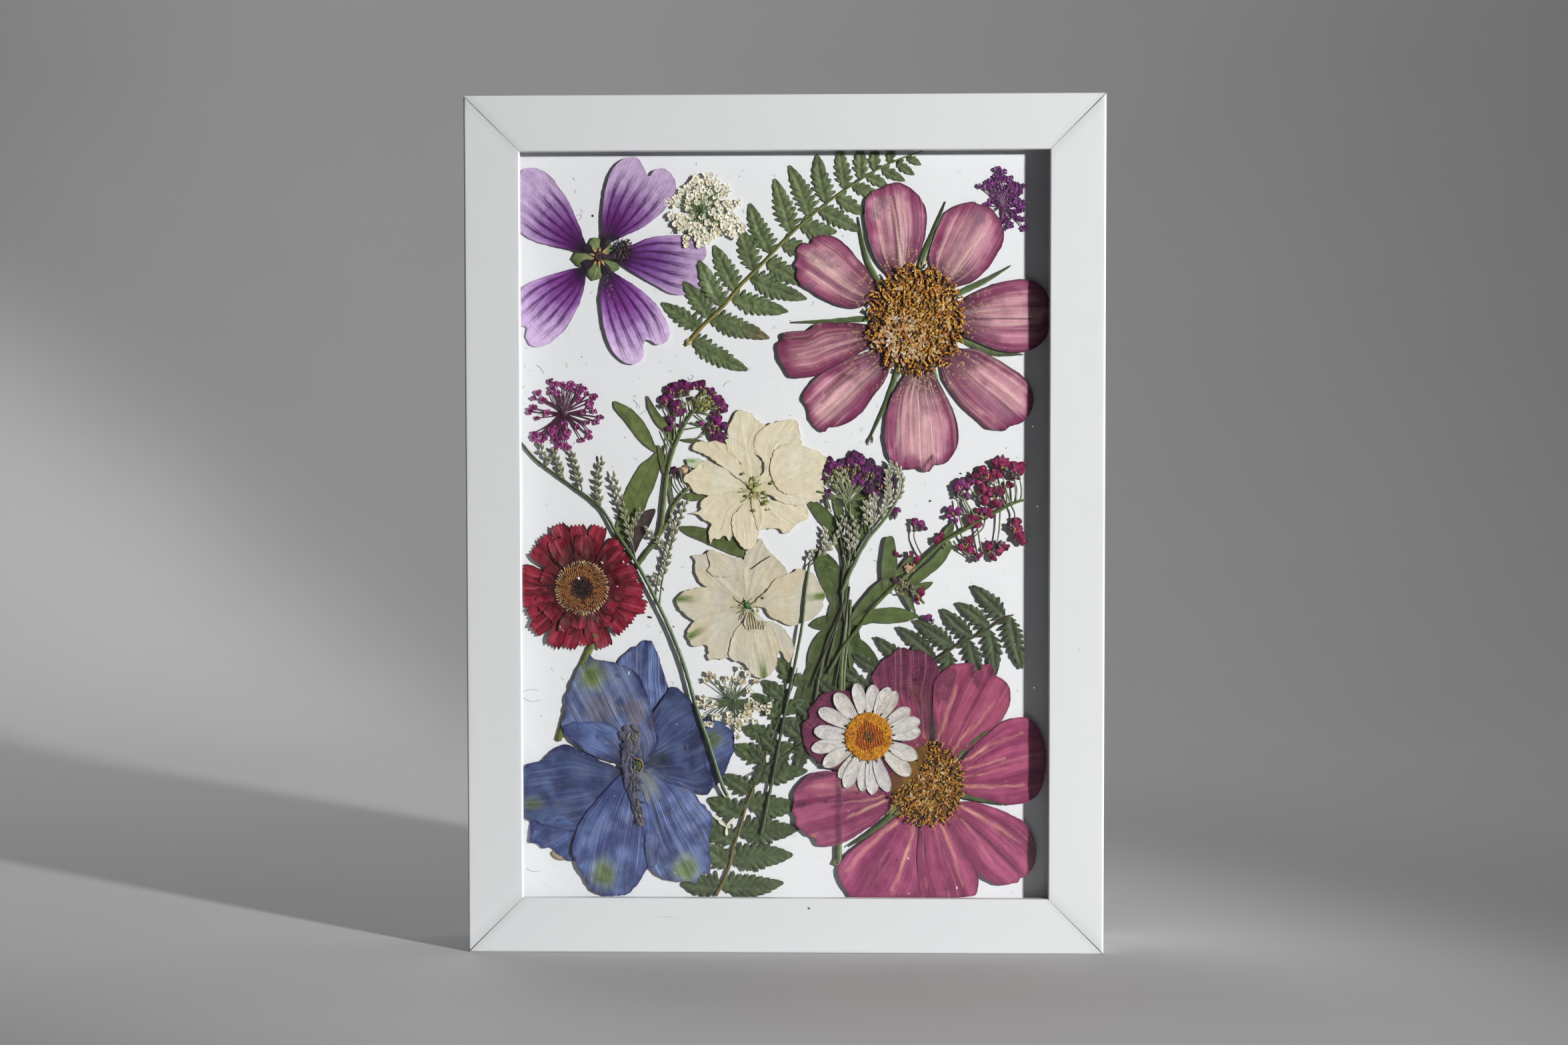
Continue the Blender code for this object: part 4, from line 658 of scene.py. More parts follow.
def petal_finish(
    name, vein=(0.2, 0.05, 0.25), lines=6.0, line_width=0.06, branch=0.0, fine=(5.0, 26.0, 0.25), streak=None,
    streak_size=(2.0, 9.0), streak_level=(0.55, 0.75), mottle=0.16, rough=0.62, relief=0.00006, under=0.55, sheen=0.0,
    white_specks=0.0, dots=0.0, gloss=0.35, depth=1.0,
):
    """A pressed petal. Its attributes hold the painted colour (tone), the place along and
    across it (grain) and the strength of veins, streaks and what shows through (mask)."""
    g = Graph(name)
    tone = g.attribute("tone")
    s, c, k = g.split(g.attribute("grain", "Vector"))
    strong, streaky, shown = g.split(g.attribute("mask"))
    ground = g.ground()
    wobble = g.math("SUBTRACT", g.clouds(g.vec(g.math("MULTIPLY", s, 2.0), c, k), 1.3, 1.0), 0.5)
    # fine lengthwise fibres
    fibre = g.clouds(g.vec(g.math("MULTIPLY", s, fine[0]), g.math("MULTIPLY", c, fine[1]), k), 1.0, 4.0, 0.6)
    colour = g.mix(
        g.span(fibre, 0.3, 0.7, 0.0, 1.0), g.mix(1.0, tone, (1 - fine[2],) * 3, "MULTIPLY"),
        g.mix(1.0, tone, (1 + fine[2] * 0.5,) * 3, "MULTIPLY"),
    )
    height = g.math("MULTIPLY", fibre, 0.6)
    if streak is not None:
        band = g.clouds(
            g.vec(g.math("MULTIPLY", s, streak_size[0]), g.math("MULTIPLY", c, streak_size[1]), g.math("ADD", k, 5.0)),
            1.0, 2.0, 0.5,
        )
        band = g.span(band, streak_level[0], streak_level[1], smooth=True)
        colour = g.mix(g.math("MULTIPLY", band, streaky), colour, streak)
        height = g.math("ADD", height, g.math("MULTIPLY", band, 0.4))
    # veins, each splitting in two further out
    shifted = g.math("ADD", g.math("MULTIPLY", c, lines), g.math("MULTIPLY", wobble, 0.9))
    away = g.math("ABSOLUTE", g.math("SUBTRACT", g.math("FRACT", g.math("ADD", shifted, 0.5)), 0.5))
    if branch:
        away = g.math("ABSOLUTE", g.math("SUBTRACT", away, g.span(s, 0.4, 1.0, 0.0, branch)))
    thin = g.span(s, 0.0, 1.0, line_width * 1.8, line_width * 0.7)
    line = g.math("SUBTRACT", 1.0, g.math("DIVIDE", away, thin), clamp=True)
    line = g.math("MULTIPLY", line, g.span(g.clouds(g.vec(g.math("MULTIPLY", s, 6.0), g.math("MULTIPLY", c, 3.0), k), 1.5, 2.0), 0.25, 0.6, 0.25, 1.0))
    colour = g.mix(g.math("MULTIPLY", line, strong), colour, vein)
    height = g.math("SUBTRACT", height, g.math("MULTIPLY", g.math("MULTIPLY", line, strong), 0.5))
    if dots:
        grainy = g.span(g.clouds(ground, 3400.0, 2.0, 0.6), 0.44, 0.62, smooth=True)
        colour = g.mix(g.math("MULTIPLY", shown, g.math("MULTIPLY", grainy, dots)), colour, g.mix(1.0, colour, (under,) * 3, "MULTIPLY"))
    soft = g.clouds(ground, 700.0, 4.0, 0.6)
    colour = g.mix(g.span(soft, 0.3, 0.7, 0.0, 1.0), g.mix(1.0, colour, (1 - mottle,) * 3, "MULTIPLY"), g.mix(1.0, colour, (1 + mottle * 0.5,) * 3, "MULTIPLY"))
    if white_specks:
        colour = specks(g, colour, (0.75, 0.72, 0.68), 900.0, 0.16, white_specks, 0.75, 0.013)
    height = g.math("ADD", height, g.math("MULTIPLY", g.clouds(ground, 2600.0, 3.0, 0.6), 0.35))
    normal = g.bump(height, relief, depth)
    roughness = g.span(soft, 0.2, 0.8, rough - 0.08, rough + 0.1)
    return g.finish(colour, roughness, normal, Specular_IOR_Level=gloss, Sheen_Weight=sheen)


def leaf_finish(name, rough=0.55, mottle=0.3, relief=0.00008, gloss=0.4, cross=True, vein_tint=(1.35, 1.25, 1.1), scale=1500.0):
    """A pressed leaf, stem or bud: painted tone, a fine cell pattern and side veins."""
    g = Graph(name)
    tone = g.attribute("tone")
    s, c, k = g.split(g.attribute("grain", "Vector"))
    ground = g.ground()
    coarse = g.clouds(ground, scale * 0.4, 4.0, 0.6)
    fine = g.clouds(ground, scale * 2.2, 3.0, 0.65)
    colour = g.mix(g.span(coarse, 0.32, 0.68, 0.0, 1.0), g.mix(1.0, tone, (1 - mottle,) * 3, "MULTIPLY"), g.mix(1.0, tone, (1 + mottle * 0.5,) * 3, "MULTIPLY"))
    colour = g.mix(g.span(fine, 0.35, 0.65, 0.0, 0.35), colour, g.mix(1.0, colour, (0.6, 0.6, 0.62), "MULTIPLY"))
    height = g.math("ADD", g.math("MULTIPLY", coarse, 0.7), g.math("MULTIPLY", fine, 0.45))
    if cross:
        slant = g.math("SUBTRACT", g.math("MULTIPLY", s, 9.0), g.math("MULTIPLY", g.math("ABSOLUTE", c), 2.0))
        side = g.math("ABSOLUTE", g.math("SUBTRACT", g.math("FRACT", g.math("ADD", slant, g.math("MULTIPLY", coarse, 0.8))), 0.5))
        side = g.math("SUBTRACT", 1.0, g.math("DIVIDE", side, 0.09), clamp=True)
        middle = g.math("SUBTRACT", 1.0, g.math("DIVIDE", g.math("ABSOLUTE", c), 0.1), clamp=True)
        ribs = g.math("MAXIMUM", g.math("MULTIPLY", side, 0.3), middle)
        strong = g.split(g.attribute("mask"))[0]
        ribs = g.math("MULTIPLY", ribs, strong)
        colour = g.mix(g.math("MULTIPLY", ribs, 0.8), colour, g.mix(1.0, colour, vein_tint, "MULTIPLY"))
        height = g.math("ADD", height, g.math("MULTIPLY", ribs, 0.8))
    normal = g.bump(height, relief)
    return g.finish(colour, g.span(coarse, 0.2, 0.8, rough - 0.08, rough + 0.12), normal, Specular_IOR_Level=gloss)


# ---------------------------------------------------------------- the frame
def rail_outline():
    """(y, t) round a rail: y back from the front face, t in from the outer side."""
    inner = RAIL - REBATE
    outer_round, inner_round, soft = 0.55, 0.32, 0.4
    line = []
    for i in range(9):
        a = math.pi / 2 * i / 8
        line.append((outer_round * (1 - math.sin(a)), outer_round * (1 - math.cos(a))))
    for t in np.linspace(1.6, RAIL - 1.2, 9):
        line.append((0.0, float(t)))
    for i in range(7):
        a = math.pi / 2 * i / 6
        line.append((inner_round * (1 - math.cos(a)), RAIL - inner_round + inner_round * math.sin(a)))
    line += [(LIP - 0.08, RAIL), (LIP, RAIL - 0.08), (LIP, inner + 0.1), (LIP + 0.1, inner)]
    line += [(10.0, inner), (DEPTH - soft, inner)]
    for i in range(1, 5):
        a = math.pi / 2 * i / 4
        line.append((DEPTH - soft + soft * math.sin(a), inner - soft + soft * math.cos(a)))
    line.append((DEPTH, inner / 2))
    for i in range(5):
        a = math.pi / 2 * i / 4
        line.append((DEPTH - soft + soft * math.cos(a), soft - soft * math.sin(a)))
    line.append((10.0, 0.0))
    return line


def white_foil():
    """White foil on the rails: satin, with a very faint grain along the rail, dust and scuffs."""
    g = Graph("white_foil")
    along, across, k = g.split(g.attribute("grain", "Vector"))
    ground = g.ground()
    tone = g.attribute("tone")
    fibre = g.clouds(g.vec(g.math("MULTIPLY", along, 9.0), g.math("MULTIPLY", across, 60.0), k), 1.0, 3.0, 0.6)
    blotch = g.clouds(ground, 38.0, 3.0, 0.5)
    fine = g.clouds(ground, 5200.0, 2.0, 0.6)
    colour = g.mix(g.span(fibre, 0.3, 0.7, 0.0, 0.4), tone, g.mix(1.0, tone, (0.98, 0.982, 0.984), "MULTIPLY"))
    colour = g.mix(g.span(blotch, 0.35, 0.7, 0.0, 0.8), colour, g.mix(1.0, colour, (0.975, 0.978, 0.985), "MULTIPLY"))
    colour = specks(g, colour, (0.42, 0.40, 0.38), 260.0, 0.045, 0.16, 0.7, 0.021)
    colour = specks(g, colour, (0.30, 0.28, 0.27), 95.0, 0.022, 0.12, 0.8, 0.007)

    def spot(u, v, ru, rv, dark, soft=0.45):
        """A small mark on the front face at a drawing point."""
        x, _, z = place(((u, v, 0.0),), 0.0)[0]
        px, _, pz = g.split(ground)
        dx = g.math("DIVIDE", g.math("SUBTRACT", px, float(x)), ru * UNIT * MM)
        dz = g.math("DIVIDE", g.math("SUBTRACT", pz, float(z)), rv * UNIT * MM)
        r = g.math("SQRT", g.math("ADD", g.math("MULTIPLY", dx, dx), g.math("MULTIPLY", dz, dz)))
        r = g.math("ADD", r, g.math("MULTIPLY", g.math("SUBTRACT", g.clouds(ground, 3000.0, 2.0), 0.5), 0.9))
        return g.math("MULTIPLY", g.span(r, 1.0, 1.0 - soft, 0.0, 1.0), dark)

    dark = spot(1213, 1363, 2.6, 2.0, 0.92, 0.3)
    for u, v, ru, rv, size in (
        (1000, 1376, 11, 0.9, 0.28), (1015, 1378, 8, 0.7, 0.2), (985, 1375, 4, 0.8, 0.2),
        (1619, 974, 0.8, 5, 0.3), (1621, 979, 1.6, 0.8, 0.22), (739, 612, 0.9, 2.2, 0.25),
        (1102, 182, 1.4, 0.8, 0.3), (1389, 196, 0.9, 0.9, 0.35), (752, 1052, 0.9, 1.1, 0.3),
        (1634, 512, 0.9, 0.8, 0.3), (1499, 1398, 1.0, 0.8, 0.3), (893, 1402, 0.8, 0.8, 0.3),
    ):
        dark = g.math("MAXIMUM", dark, spot(u, v, ru, rv, size, 0.7))
    colour = g.mix(dark, colour, (0.06, 0.05, 0.045))
    height = g.math("ADD", g.math("MULTIPLY", fibre, 0.25), g.math("MULTIPLY", fine, 0.2))
    height = g.math("ADD", height, g.math("MULTIPLY", blotch, 0.8))
    normal = g.bump(height, 0.000016)
    rough = g.span(g.clouds(ground, 160.0, 3.0), 0.3, 0.7, 0.36, 0.46)
    return g.finish(colour, rough, normal, Specular_IOR_Level=0.45)


FOIL = white_foil()


def foil_rail(name, node, length, where, seed):
    """A mitred rail; where(u, y, t) puts a point of it in the frame, in millimetres."""
    outline = rail_outline()
    count = len(outline)
    stations = 61
    points, tone, grain = [], [], []
    for k in range(stations):
        part = k / (stations - 1)
        for j, (y, t) in enumerate(outline):
            gap = MITRE_OUT + (MITRE_IN - MITRE_OUT) * t / RAIL
            reach = length / 2 - t - gap
            u = (2 * part - 1) * reach
            # the foil's edge is drawn in a little where it is cut at the mitre
            last = min(part, 1 - part) * 2 * reach
            tuck = 0.05 * math.exp(-((last / 0.25) ** 2)) if y < 0.5 else 0.0
            swell = 0.012 * float(noise(u / 21.0 + seed * 7, t / 6.0, seed)) if y < 0.01 else 0.0
            points.append(where(u, y + tuck + (abs(swell) if y < 0.01 else 0.0), t))
            worn = 0.0
            if last < 0.35:
                worn = 0.10 * math.exp(-((last / 0.14) ** 2))
            tone.append(np.array((0.70, 0.722, 0.738)) * (1 - worn))
            grain.append((u / 40.0, t / 12.6, seed * 1.7))
    points = np.array(points) * MM
    faces = []
    for k in range(stations - 1):
        for j in range(count):
            a, b = k * count + j, k * count + (j + 1) % count
            faces.append((a, b, b + count, a + count))
    ends = [list(range(count))[::-1], list(range((stations - 1) * count, stations * count))]
    mesh = bpy.data.meshes.new(name)
    mesh.from_pydata(points.tolist(), [], faces + ends)
    centre = points.mean(axis=0)
    at = points - centre
    volume = sum(
        float(np.linalg.det(at[[f[0], f[i], f[i + 1]]])) for f in faces + ends for i in range(1, len(f) - 1)
    )
    if volume < 0:
        mesh.flip_normals()
    tone = np.concatenate((np.array(tone), np.ones((len(tone), 1))), axis=1)
    mesh.attributes.new("tone", "FLOAT_COLOR", "POINT").data.foreach_set("color", tone.ravel().astype(np.float32))
    mesh.attributes.new("grain", "FLOAT_VECTOR", "POINT").data.foreach_set(
        "vector", np.array(grain).ravel().astype(np.float32)
    )
    mesh.shade_smooth()
    mesh.set_sharp_from_angle(angle=math.radians(32))
    mesh.materials.append(FOIL)
    obj = bpy.data.objects.new(name, mesh)
    bpy.context.collection.objects.link(obj)
    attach(obj, "root")
    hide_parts(node)
    return obj


foil_rail("bottom_rail", "rail_bottom", OUTER_W, lambda u, y, t: (u, FRONT + y, t), 1)
foil_rail("top_rail", "rail_top", OUTER_W, lambda u, y, t: (-u, FRONT + y, OUTER_H - t), 2)
foil_rail("left_rail", "rail_left", OUTER_H, lambda u, y, t: (-OUTER_W / 2 + t, FRONT + y, OUTER_H / 2 - u), 3)
foil_rail("right_rail", "rail_right", OUTER_H, lambda u, y, t: (OUTER_W / 2 - t, FRONT + y, OUTER_H / 2 + u), 4)


def dress(node, made):
    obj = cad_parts[node]
    if obj.material_slots:
        for held in obj.material_slots:
            held.material = made
    else:
        obj.data.materials.append(made)
    return obj


def clear_glass():
    g = Graph("clear_glass")
    return g.finish((0.985, 1.0, 0.992), 0.0, Transmission_Weight=1.0, IOR=1.5)


pane = dress("glass_pane", clear_glass())
pane.visible_shadow = pane.visible_diffuse = False   # so that each lamp lights the card once


def white_card():
    """Smooth white card with faint fibres and grey specks."""
    g = Graph("white_card")
    ground = g.ground()
    pulp = g.clouds(ground, 1400.0, 4.0, 0.65)
    cloud = g.clouds(ground, 60.0, 3.0, 0.5)
    colour = g.mix(g.span(pulp, 0.35, 0.65, 0.0, 1.0), (0.82, 0.83, 0.86), (0.845, 0.855, 0.885))
    colour = g.mix(g.span(cloud, 0.3, 0.7, 0.0, 1.0), colour, g.mix(1.0, colour, (0.965, 0.965, 0.97), "MULTIPLY"))
    colour = specks(g, colour, (0.45, 0.43, 0.44), 420.0, 0.07, 0.22, 0.6, 0.003)
    colour = specks(g, colour, (0.25, 0.22, 0.22), 150.0, 0.03, 0.2, 0.7, 0.031)
    normal = g.bump(g.math("ADD", pulp, g.math("MULTIPLY", cloud, 0.5)), 0.00002)
    return g.finish(colour, 0.72, normal, Specular_IOR_Level=0.3)


dress("backing_card", white_card())


def brown_board():
    """Hardboard: brown, with pressed fibres lying all ways."""
    g = Graph("brown_board")
    ground = g.ground()
    coarse = g.clouds(ground, 140.0, 5.0, 0.6, 0.4)
    strands = g.clouds(ground, 900.0, 4.0, 0.7, 1.2)
    x, y, z = g.split(ground)
    mesh_ = g.math("MULTIPLY", g.math("SINE", g.math("MULTIPLY", x, 2800.0)), g.math("SINE", g.math("MULTIPLY", z, 2800.0)))
    colour = g.mix(g.span(coarse, 0.3, 0.7), (0.20, 0.115, 0.058), (0.29, 0.175, 0.095))
    colour = g.mix(g.span(strands, 0.35, 0.65), g.mix(1.0, colour, (0.66, 0.64, 0.62), "MULTIPLY"), colour)
    colour = g.mix(g.span(mesh_, -1.0, 1.0, 0.0, 0.22), colour, (0.12, 0.07, 0.04))
    colour = specks(g, colour, (0.42, 0.30, 0.19), 620.0, 0.2, 0.35, 0.6, 0.05)
    height = g.math("ADD", g.math("ADD", coarse, strands), g.math("MULTIPLY", mesh_, 0.35))
    return g.finish(colour, g.span(coarse, 0.2, 0.8, 0.62, 0.85), g.bump(height, 0.00012), Specular_IOR_Level=0.25)


dress("back_board", brown_board())


def plated_steel(name, tint, along=(1.0, 1.0, 30.0), rough=0.32):
    """Zinc-plated sheet steel, rolled in one direction, with light spangle and wear."""
    g = Graph(name)
    ground = g.ground()
    x, y, z = g.split(ground)
    rolled = g.clouds(
        g.vec(g.math("MULTIPLY", x, 90.0 * along[0]), g.math("MULTIPLY", y, 90.0 * along[1]), g.math("MULTIPLY", z, 90.0 * along[2])),
        1.0, 4.0, 0.6,
    )
    spangle = g.cells(ground, 480.0, "F1", "Color")
    shine = g.split(spangle)[0]
    colour = g.mix(g.span(rolled, 0.3, 0.7), tint, tuple(0.78 * t for t in tint))
    colour = g.mix(g.math("MULTIPLY", shine, 0.18), colour, (0.80, 0.82, 0.86))
    dull = g.clouds(ground, 240.0, 4.0, 0.6)
    colour = g.mix(g.span(dull, 0.52, 0.72, 0.0, 0.55), colour, (0.33, 0.32, 0.31))
    roughness = g.math("ADD", g.span(rolled, 0.2, 0.8, rough - 0.08, rough + 0.12), g.span(dull, 0.5, 0.75, 0.0, 0.2))
    return g.finish(colour, roughness, g.bump(g.math("ADD", rolled, g.math("MULTIPLY", shine, 0.2)), 0.00003), Metallic=1.0)


TAB_STEEL = plated_steel("tab_steel", (0.58, 0.60, 0.63))
HANGER_STEEL = plated_steel("hanger_steel", (0.62, 0.60, 0.52), (30.0, 1.0, 1.0))
NAIL_STEEL = plated_steel("nail_steel", (0.66, 0.63, 0.52), (1.0, 1.0, 1.0), 0.26)
for number in range(1, 7):
    dress(f"retainer_tab_{number}", TAB_STEEL)
dress("sawtooth_hanger", HANGER_STEEL)
dress("hanger_nail_left", NAIL_STEEL)
dress("hanger_nail_right", NAIL_STEEL)
for node in [f"retainer_tab_{n}" for n in range(1, 7)] + ["sawtooth_hanger"]:
    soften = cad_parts[node].modifiers.new("worn_edge", "BEVEL")
    soften.width, soften.segments, soften.limit_method = 0.00008, 2, "ANGLE"
    soften.angle_limit = math.radians(40)


# ------------------------------------------------------------- the flowers
def lift_of(level):
    """The height of a layer of pressed pieces in front of the card."""
    return 1.2 + 1.2 * level


def near(points, path, width, soft=0.6):
    """1 on a line through the path's points, falling to 0 at its width."""
    away = edge_distance(points, np.asarray(path, float), closed=False)
    return 1 - ease(width * (1 - soft), width, away)


def within_blot(points, u, v, ru, rv, seed=0, scale=4.0, rough=0.5):
    """1 in a ragged spot, 0 outside it."""
    r = np.sqrt(((points[:, 0] - u) / ru) ** 2 + ((points[:, 1] - v) / rv) ** 2)
    r = r + rough * layered(points[:, 0] / scale, points[:, 1] / scale, seed, 2)
    return 1 - ease(0.7, 1.1, r)


def add_petal(
    bag, outline, base, tip, paint, height, seed, gap=2.3, thick=0.7, uneven=0.5, pleat=0.35, pleats=7.0,
    curl=0.8, wave=0.5, mask=None, bulge=0.0, scale=7.0, holes=(), least=5.0, smooth=True, slot=0, cap=None,
):
    """A pressed petal over its outline. paint(p, s, c, d) gives colours, mask(p, s, c, d)
    the strengths of its veins and streaks, and height a number or a function of the same."""
    line = curve(outline, gap * 0.95) if smooth else even(np.asarray(outline, float), gap * 0.95)
    line = ragged(line, uneven, scale, seed)
    points, tris = fill(line, gap, seed, holes=[curve(h, gap * 0.8) for h in holes])
    s, c = along_petal(points, line, base, tip, least)
    d = edge_distance(points, line)
    w = height(points, s, c, d) if callable(height) else np.full(len(points), float(height))
    ridge = noise(c * pleats + seed * 3.7, s * 2.0, seed) * (0.5 + 0.5 * ease(0.1, 0.5, s))
    ridge = ridge + 0.5 * noise(c * pleats * 2.3 + seed, s * 3.0, seed + 9)
    w = w + pleat * ridge + curl * np.exp(-d / 5.0) * (0.55 + 0.6 * noise(points[:, 0] / 22, points[:, 1] / 22, seed + 4))
    w = w + wave * layered(points[:, 0] / 30.0, points[:, 1] / 30.0, seed + 2, 2) + bulge * ease(0, 18, d)
    if cap is not None:
        w = np.minimum(w, cap(points))
    w = np.clip(w, 0.5, 10.1)
    tone = paint(points, s, c, d)
    marks = np.zeros((len(points), 4)) if mask is None else mask(points, s, c, d)
    grain = np.stack((s, c, np.full(len(points), (seed * 0.618) % 7)), axis=1)
    add_sheet(bag, points, tris, w, thick, tone, grain, marks, slot)
    return line


def marks_of(n, vein=0.0, streak=0.0, shown=0.0):
    out = np.zeros((n, 4))
    out[:, 0], out[:, 1], out[:, 2], out[:, 3] = vein, streak, shown, 1
    return out


# Mallow: five wide petals notched at their ends, a green calyx and a dark tuft of stamens.
MALLOW_AT = (899.5, 385.0)
MALLOW = [
    [(878, 364), (872, 346), (864, 326), (855, 306), (843, 287), (830, 269), (816, 257),
     (800, 252), (785, 255), (776, 275), (773, 310), (775, 336), (785, 352), (800, 361),
     (820, 367), (842, 372), (860, 376), (874, 380), (884, 374)],
    [(903, 352), (903, 325), (906, 300), (909, 281), (916, 261), (926, 246), (936, 239),
     (947, 236), (958, 238), (966, 252), (974, 265), (981, 256), (992, 253), (1003, 257),
     (1010, 265), (1014, 277), (1012, 290), (1005, 303), (995, 317), (980, 330),
     (962, 343), (945, 351), (930, 358), (917, 364), (906, 368)],
    [(940, 373), (955, 366), (970, 359), (985, 355), (1005, 353), (1025, 353), (1040, 356),
     (1050, 362), (1058, 371), (1060, 381), (1056, 390), (1043, 398), (1045, 405),
     (1051, 414), (1054, 428), (1048, 437), (1035, 441), (1020, 443), (1005, 440),
     (990, 432), (970, 421), (950, 409), (935, 399), (922, 391), (920, 382)],
    [(904, 420), (901, 440), (902, 462), (905, 484), (911, 508), (920, 528), (930, 539),
     (940, 545), (953, 547), (962, 541), (966, 530), (965, 520), (969, 510), (978, 512),
     (985, 517), (995, 516), (1003, 508), (1005, 497), (1000, 482), (990, 465), (980, 452),
     (965, 438), (950, 427), (935, 418), (920, 408), (908, 402)],
    [(872, 402), (845, 407), (825, 413), (805, 420), (788, 428), (777, 441), (774, 470),
     (780, 488), (791, 491), (789, 505), (795, 516), (805, 521), (820, 518), (835, 508),
     (848, 495), (860, 475), (870, 455), (876, 435), (879, 416), (882, 404)],
]
MALLOW_TIPS = [(780, 290), (972, 252), (1060, 408), (975, 545), (778, 500)]
MALLOW_PETAL = petal_finish(
    "mallow_petal", vein=shade(0.25, 0.02, 0.32), lines=2.9, line_width=0.075, branch=0.24, fine=(7.0, 30.0, 0.20),
    mottle=0.20, rough=0.62, relief=0.00009, white_specks=0.03, gloss=0.25,
)


def mallow_paint(number):
    def paint(p, s, c, d):
        wander = 0.10 * layered(p[:, 0] / 14.0, p[:, 1] / 14.0, 40 + number, 3)
        deep = 1 - ease(0.22, 0.86, s + 0.20 * c**2 + wander)
        lilac = blend(shade(0.62, 0.45, 0.75), shade(0.80, 0.73, 0.875), ease(0.5, 0.95, s + 0.12 * np.abs(c)))
        mid = shade(0.43, 0.08, 0.49) if number != 3 else shade(0.38, 0.07, 0.50)
        tone = blend(lilac, mid, deep**0.95)
        ribs = 0.5 + 0.5 * np.cos(2 * np.pi * (c * 2.9 + 0.35 * wander))
        tone = blend(tone, shade(0.36, 0.05, 0.44), 0.8 * ribs**3 * (1 - ease(0.30, 0.90, s)))
        tone = blend(tone, shade(0.23, 0.025, 0.31), 0.9 * ribs**9 * ease(0.15, 0.3, s) * (1 - ease(0.60, 0.98, s)))
        fork = 0.5 + 0.5 * np.cos(2 * np.pi * ((np.abs((c * 2.9 + 0.35 * wander) % 1.0 - 0.5) + 0.62 * s) * 2.6))
        tone = blend(tone, shade(0.40, 0.14, 0.50), 0.42 * fork**10 * ease(0.45, 0.6, s) * (1 - ease(0.80, 0.98, s)))
        tone = blend(tone, shade(0.26, 0.05, 0.31), 0.92 * (1 - ease(0.24, 0.54, s + 0.16 * np.abs(c))))
        tone = blend(tone, shade(0.085, 0.035, 0.11), 1 - ease(0.17, 0.30, s + wander * 0.5))
        tone = blend(tone, shade(0.79, 0.725, 0.85), 0.6 * (1 - ease(0, 7, d)) * ease(0.3, 0.6, s))
        pale = 0.5 + 0.5 * layered(p[:, 0] / 9.0, p[:, 1] / 9.0, 60 + number, 3)
        tone = blend(tone, shade(0.76, 0.70, 0.86), 0.22 * ease(0.45, 0.95, pale) * ease(0.35, 0.8, s))
        if number == 4:
            grit = hashed((p[:, 0] * 7).astype(np.int64), (p[:, 1] * 7).astype(np.int64), 3)
            tone = blend(tone, shade(0.86, 0.74, 0.86), (grit > 0.93) * 0.2 * near(p, [(913, 412), (917, 440), (926, 478)], 9))
        return tone
    return paint


def mallow_mask(p, s, c, d):
    strength = ease(0.1, 0.3, s) * (1 - ease(0.62, 0.97, s)) * 0.9 + 0.12 * ease(0.5, 0.7, s)
    return marks_of(len(p), strength * (1 - 0.45 * ease(0.7, 1.0, np.abs(c))))


MALLOW_HEIGHT = [2.0, 4.6, 3.0, 4.4, 2.2]
for number, outline in enumerate(MALLOW, 1):
    bag = Bag()
    tall = MALLOW_HEIGHT[number - 1]
    add_petal(
        bag, outline, MALLOW_AT, MALLOW_TIPS[number - 1], mallow_paint(number),
        lambda p, s, c, d: 3.4 + (tall - 3.4) * ease(0.2, 0.5, s), 100 + number, gap=2.2, pleat=0.3, pleats=3.4,
        curl=0.9, wave=0.45, mask=mallow_mask, uneven=0.55, scale=6.0,
    )
    mid = np.array(MALLOW_TIPS[number - 1], float) - MALLOW_AT
    mid /= np.linalg.norm(mid)
    claw = {1: (-0.84, -0.54), 2: (0.38, -0.92), 3: (0.99, 0.08), 4: (0.44, 0.9), 5: (-0.84, 0.54)}[number]
    start = np.array(MALLOW_AT) + np.array(claw) * 7
    end = np.array(MALLOW_AT) + np.array(claw) * {1: 27, 2: 29, 3: 40, 4: 30, 5: 28}[number]
    add_patch(
        bag, (*start, 4.0), (*end, 4.2), {1: 15, 2: 14, 3: 15, 4: 15, 5: 16}[number], shade(0.075, 0.03, 0.085), rows=11, cols=7,
        outline=[(0, 0.38), (0.3, 0.62), (0.7, 0.95), (1, 0.9)], cup=-0.8, thick=0.8, seed=number,
        tone_tip=shade(0.13, 0.04, 0.17), wave=0.3,
    )
    gain = {1: (0.88, 0.78, 0.83), 2: (0.87, 0.77, 0.81), 3: (0.82, 0.71, 0.77), 4: (1.14, 1.02, 1.06), 5: (1.10, 0.98, 1.03)}[number]
    piece(bag, f"mallow_petal_{number}_pressed", [MALLOW_PETAL], f"mallow_petal_{number}", "mallow_petal", gain=gain, contrast=1.12)

CALYX_LEAF = leaf_finish("mallow_calyx", rough=0.62, mottle=0.3, relief=0.00012, vein_tint=(1.5, 1.45, 1.2), scale=1300.0)
bag = Bag()
SEPALS_OF_MALLOW = [
    ((889, 357), 19, 0.1), ((916, 366), 19, 0.0), ((929, 404), 18, 0.1), ((890, 421), 22, 0.0), ((858, 389), 22, 0.0),
]
for i, (tip, wide, bow) in enumerate(SEPALS_OF_MALLOW):
    tip = np.array(tip, float)
    e = (tip - MALLOW_AT) / np.linalg.norm(tip - MALLOW_AT)
    add_patch(
        bag, (*(np.array(MALLOW_AT) + e * 3), 2.4), (*tip, 2.6), wide * 1.35, shade(0.50, 0.56, 0.38), rows=17, cols=11,
        outline=[(0, 0.42), (0.3, 0.78), (0.6, 1.0), (0.82, 0.72), (0.94, 0.32), (1, 0.06)], bow=bow, cup=-0.6, thick=0.9, seed=31 + i,
        tone_edge=shade(0.29, 0.34, 0.20), wave=0.5, mask=(0.9, 0, 0, 1), tone_tip=shade(0.38, 0.44, 0.26), teeth=0.3,
    )
rng = random.Random(11)
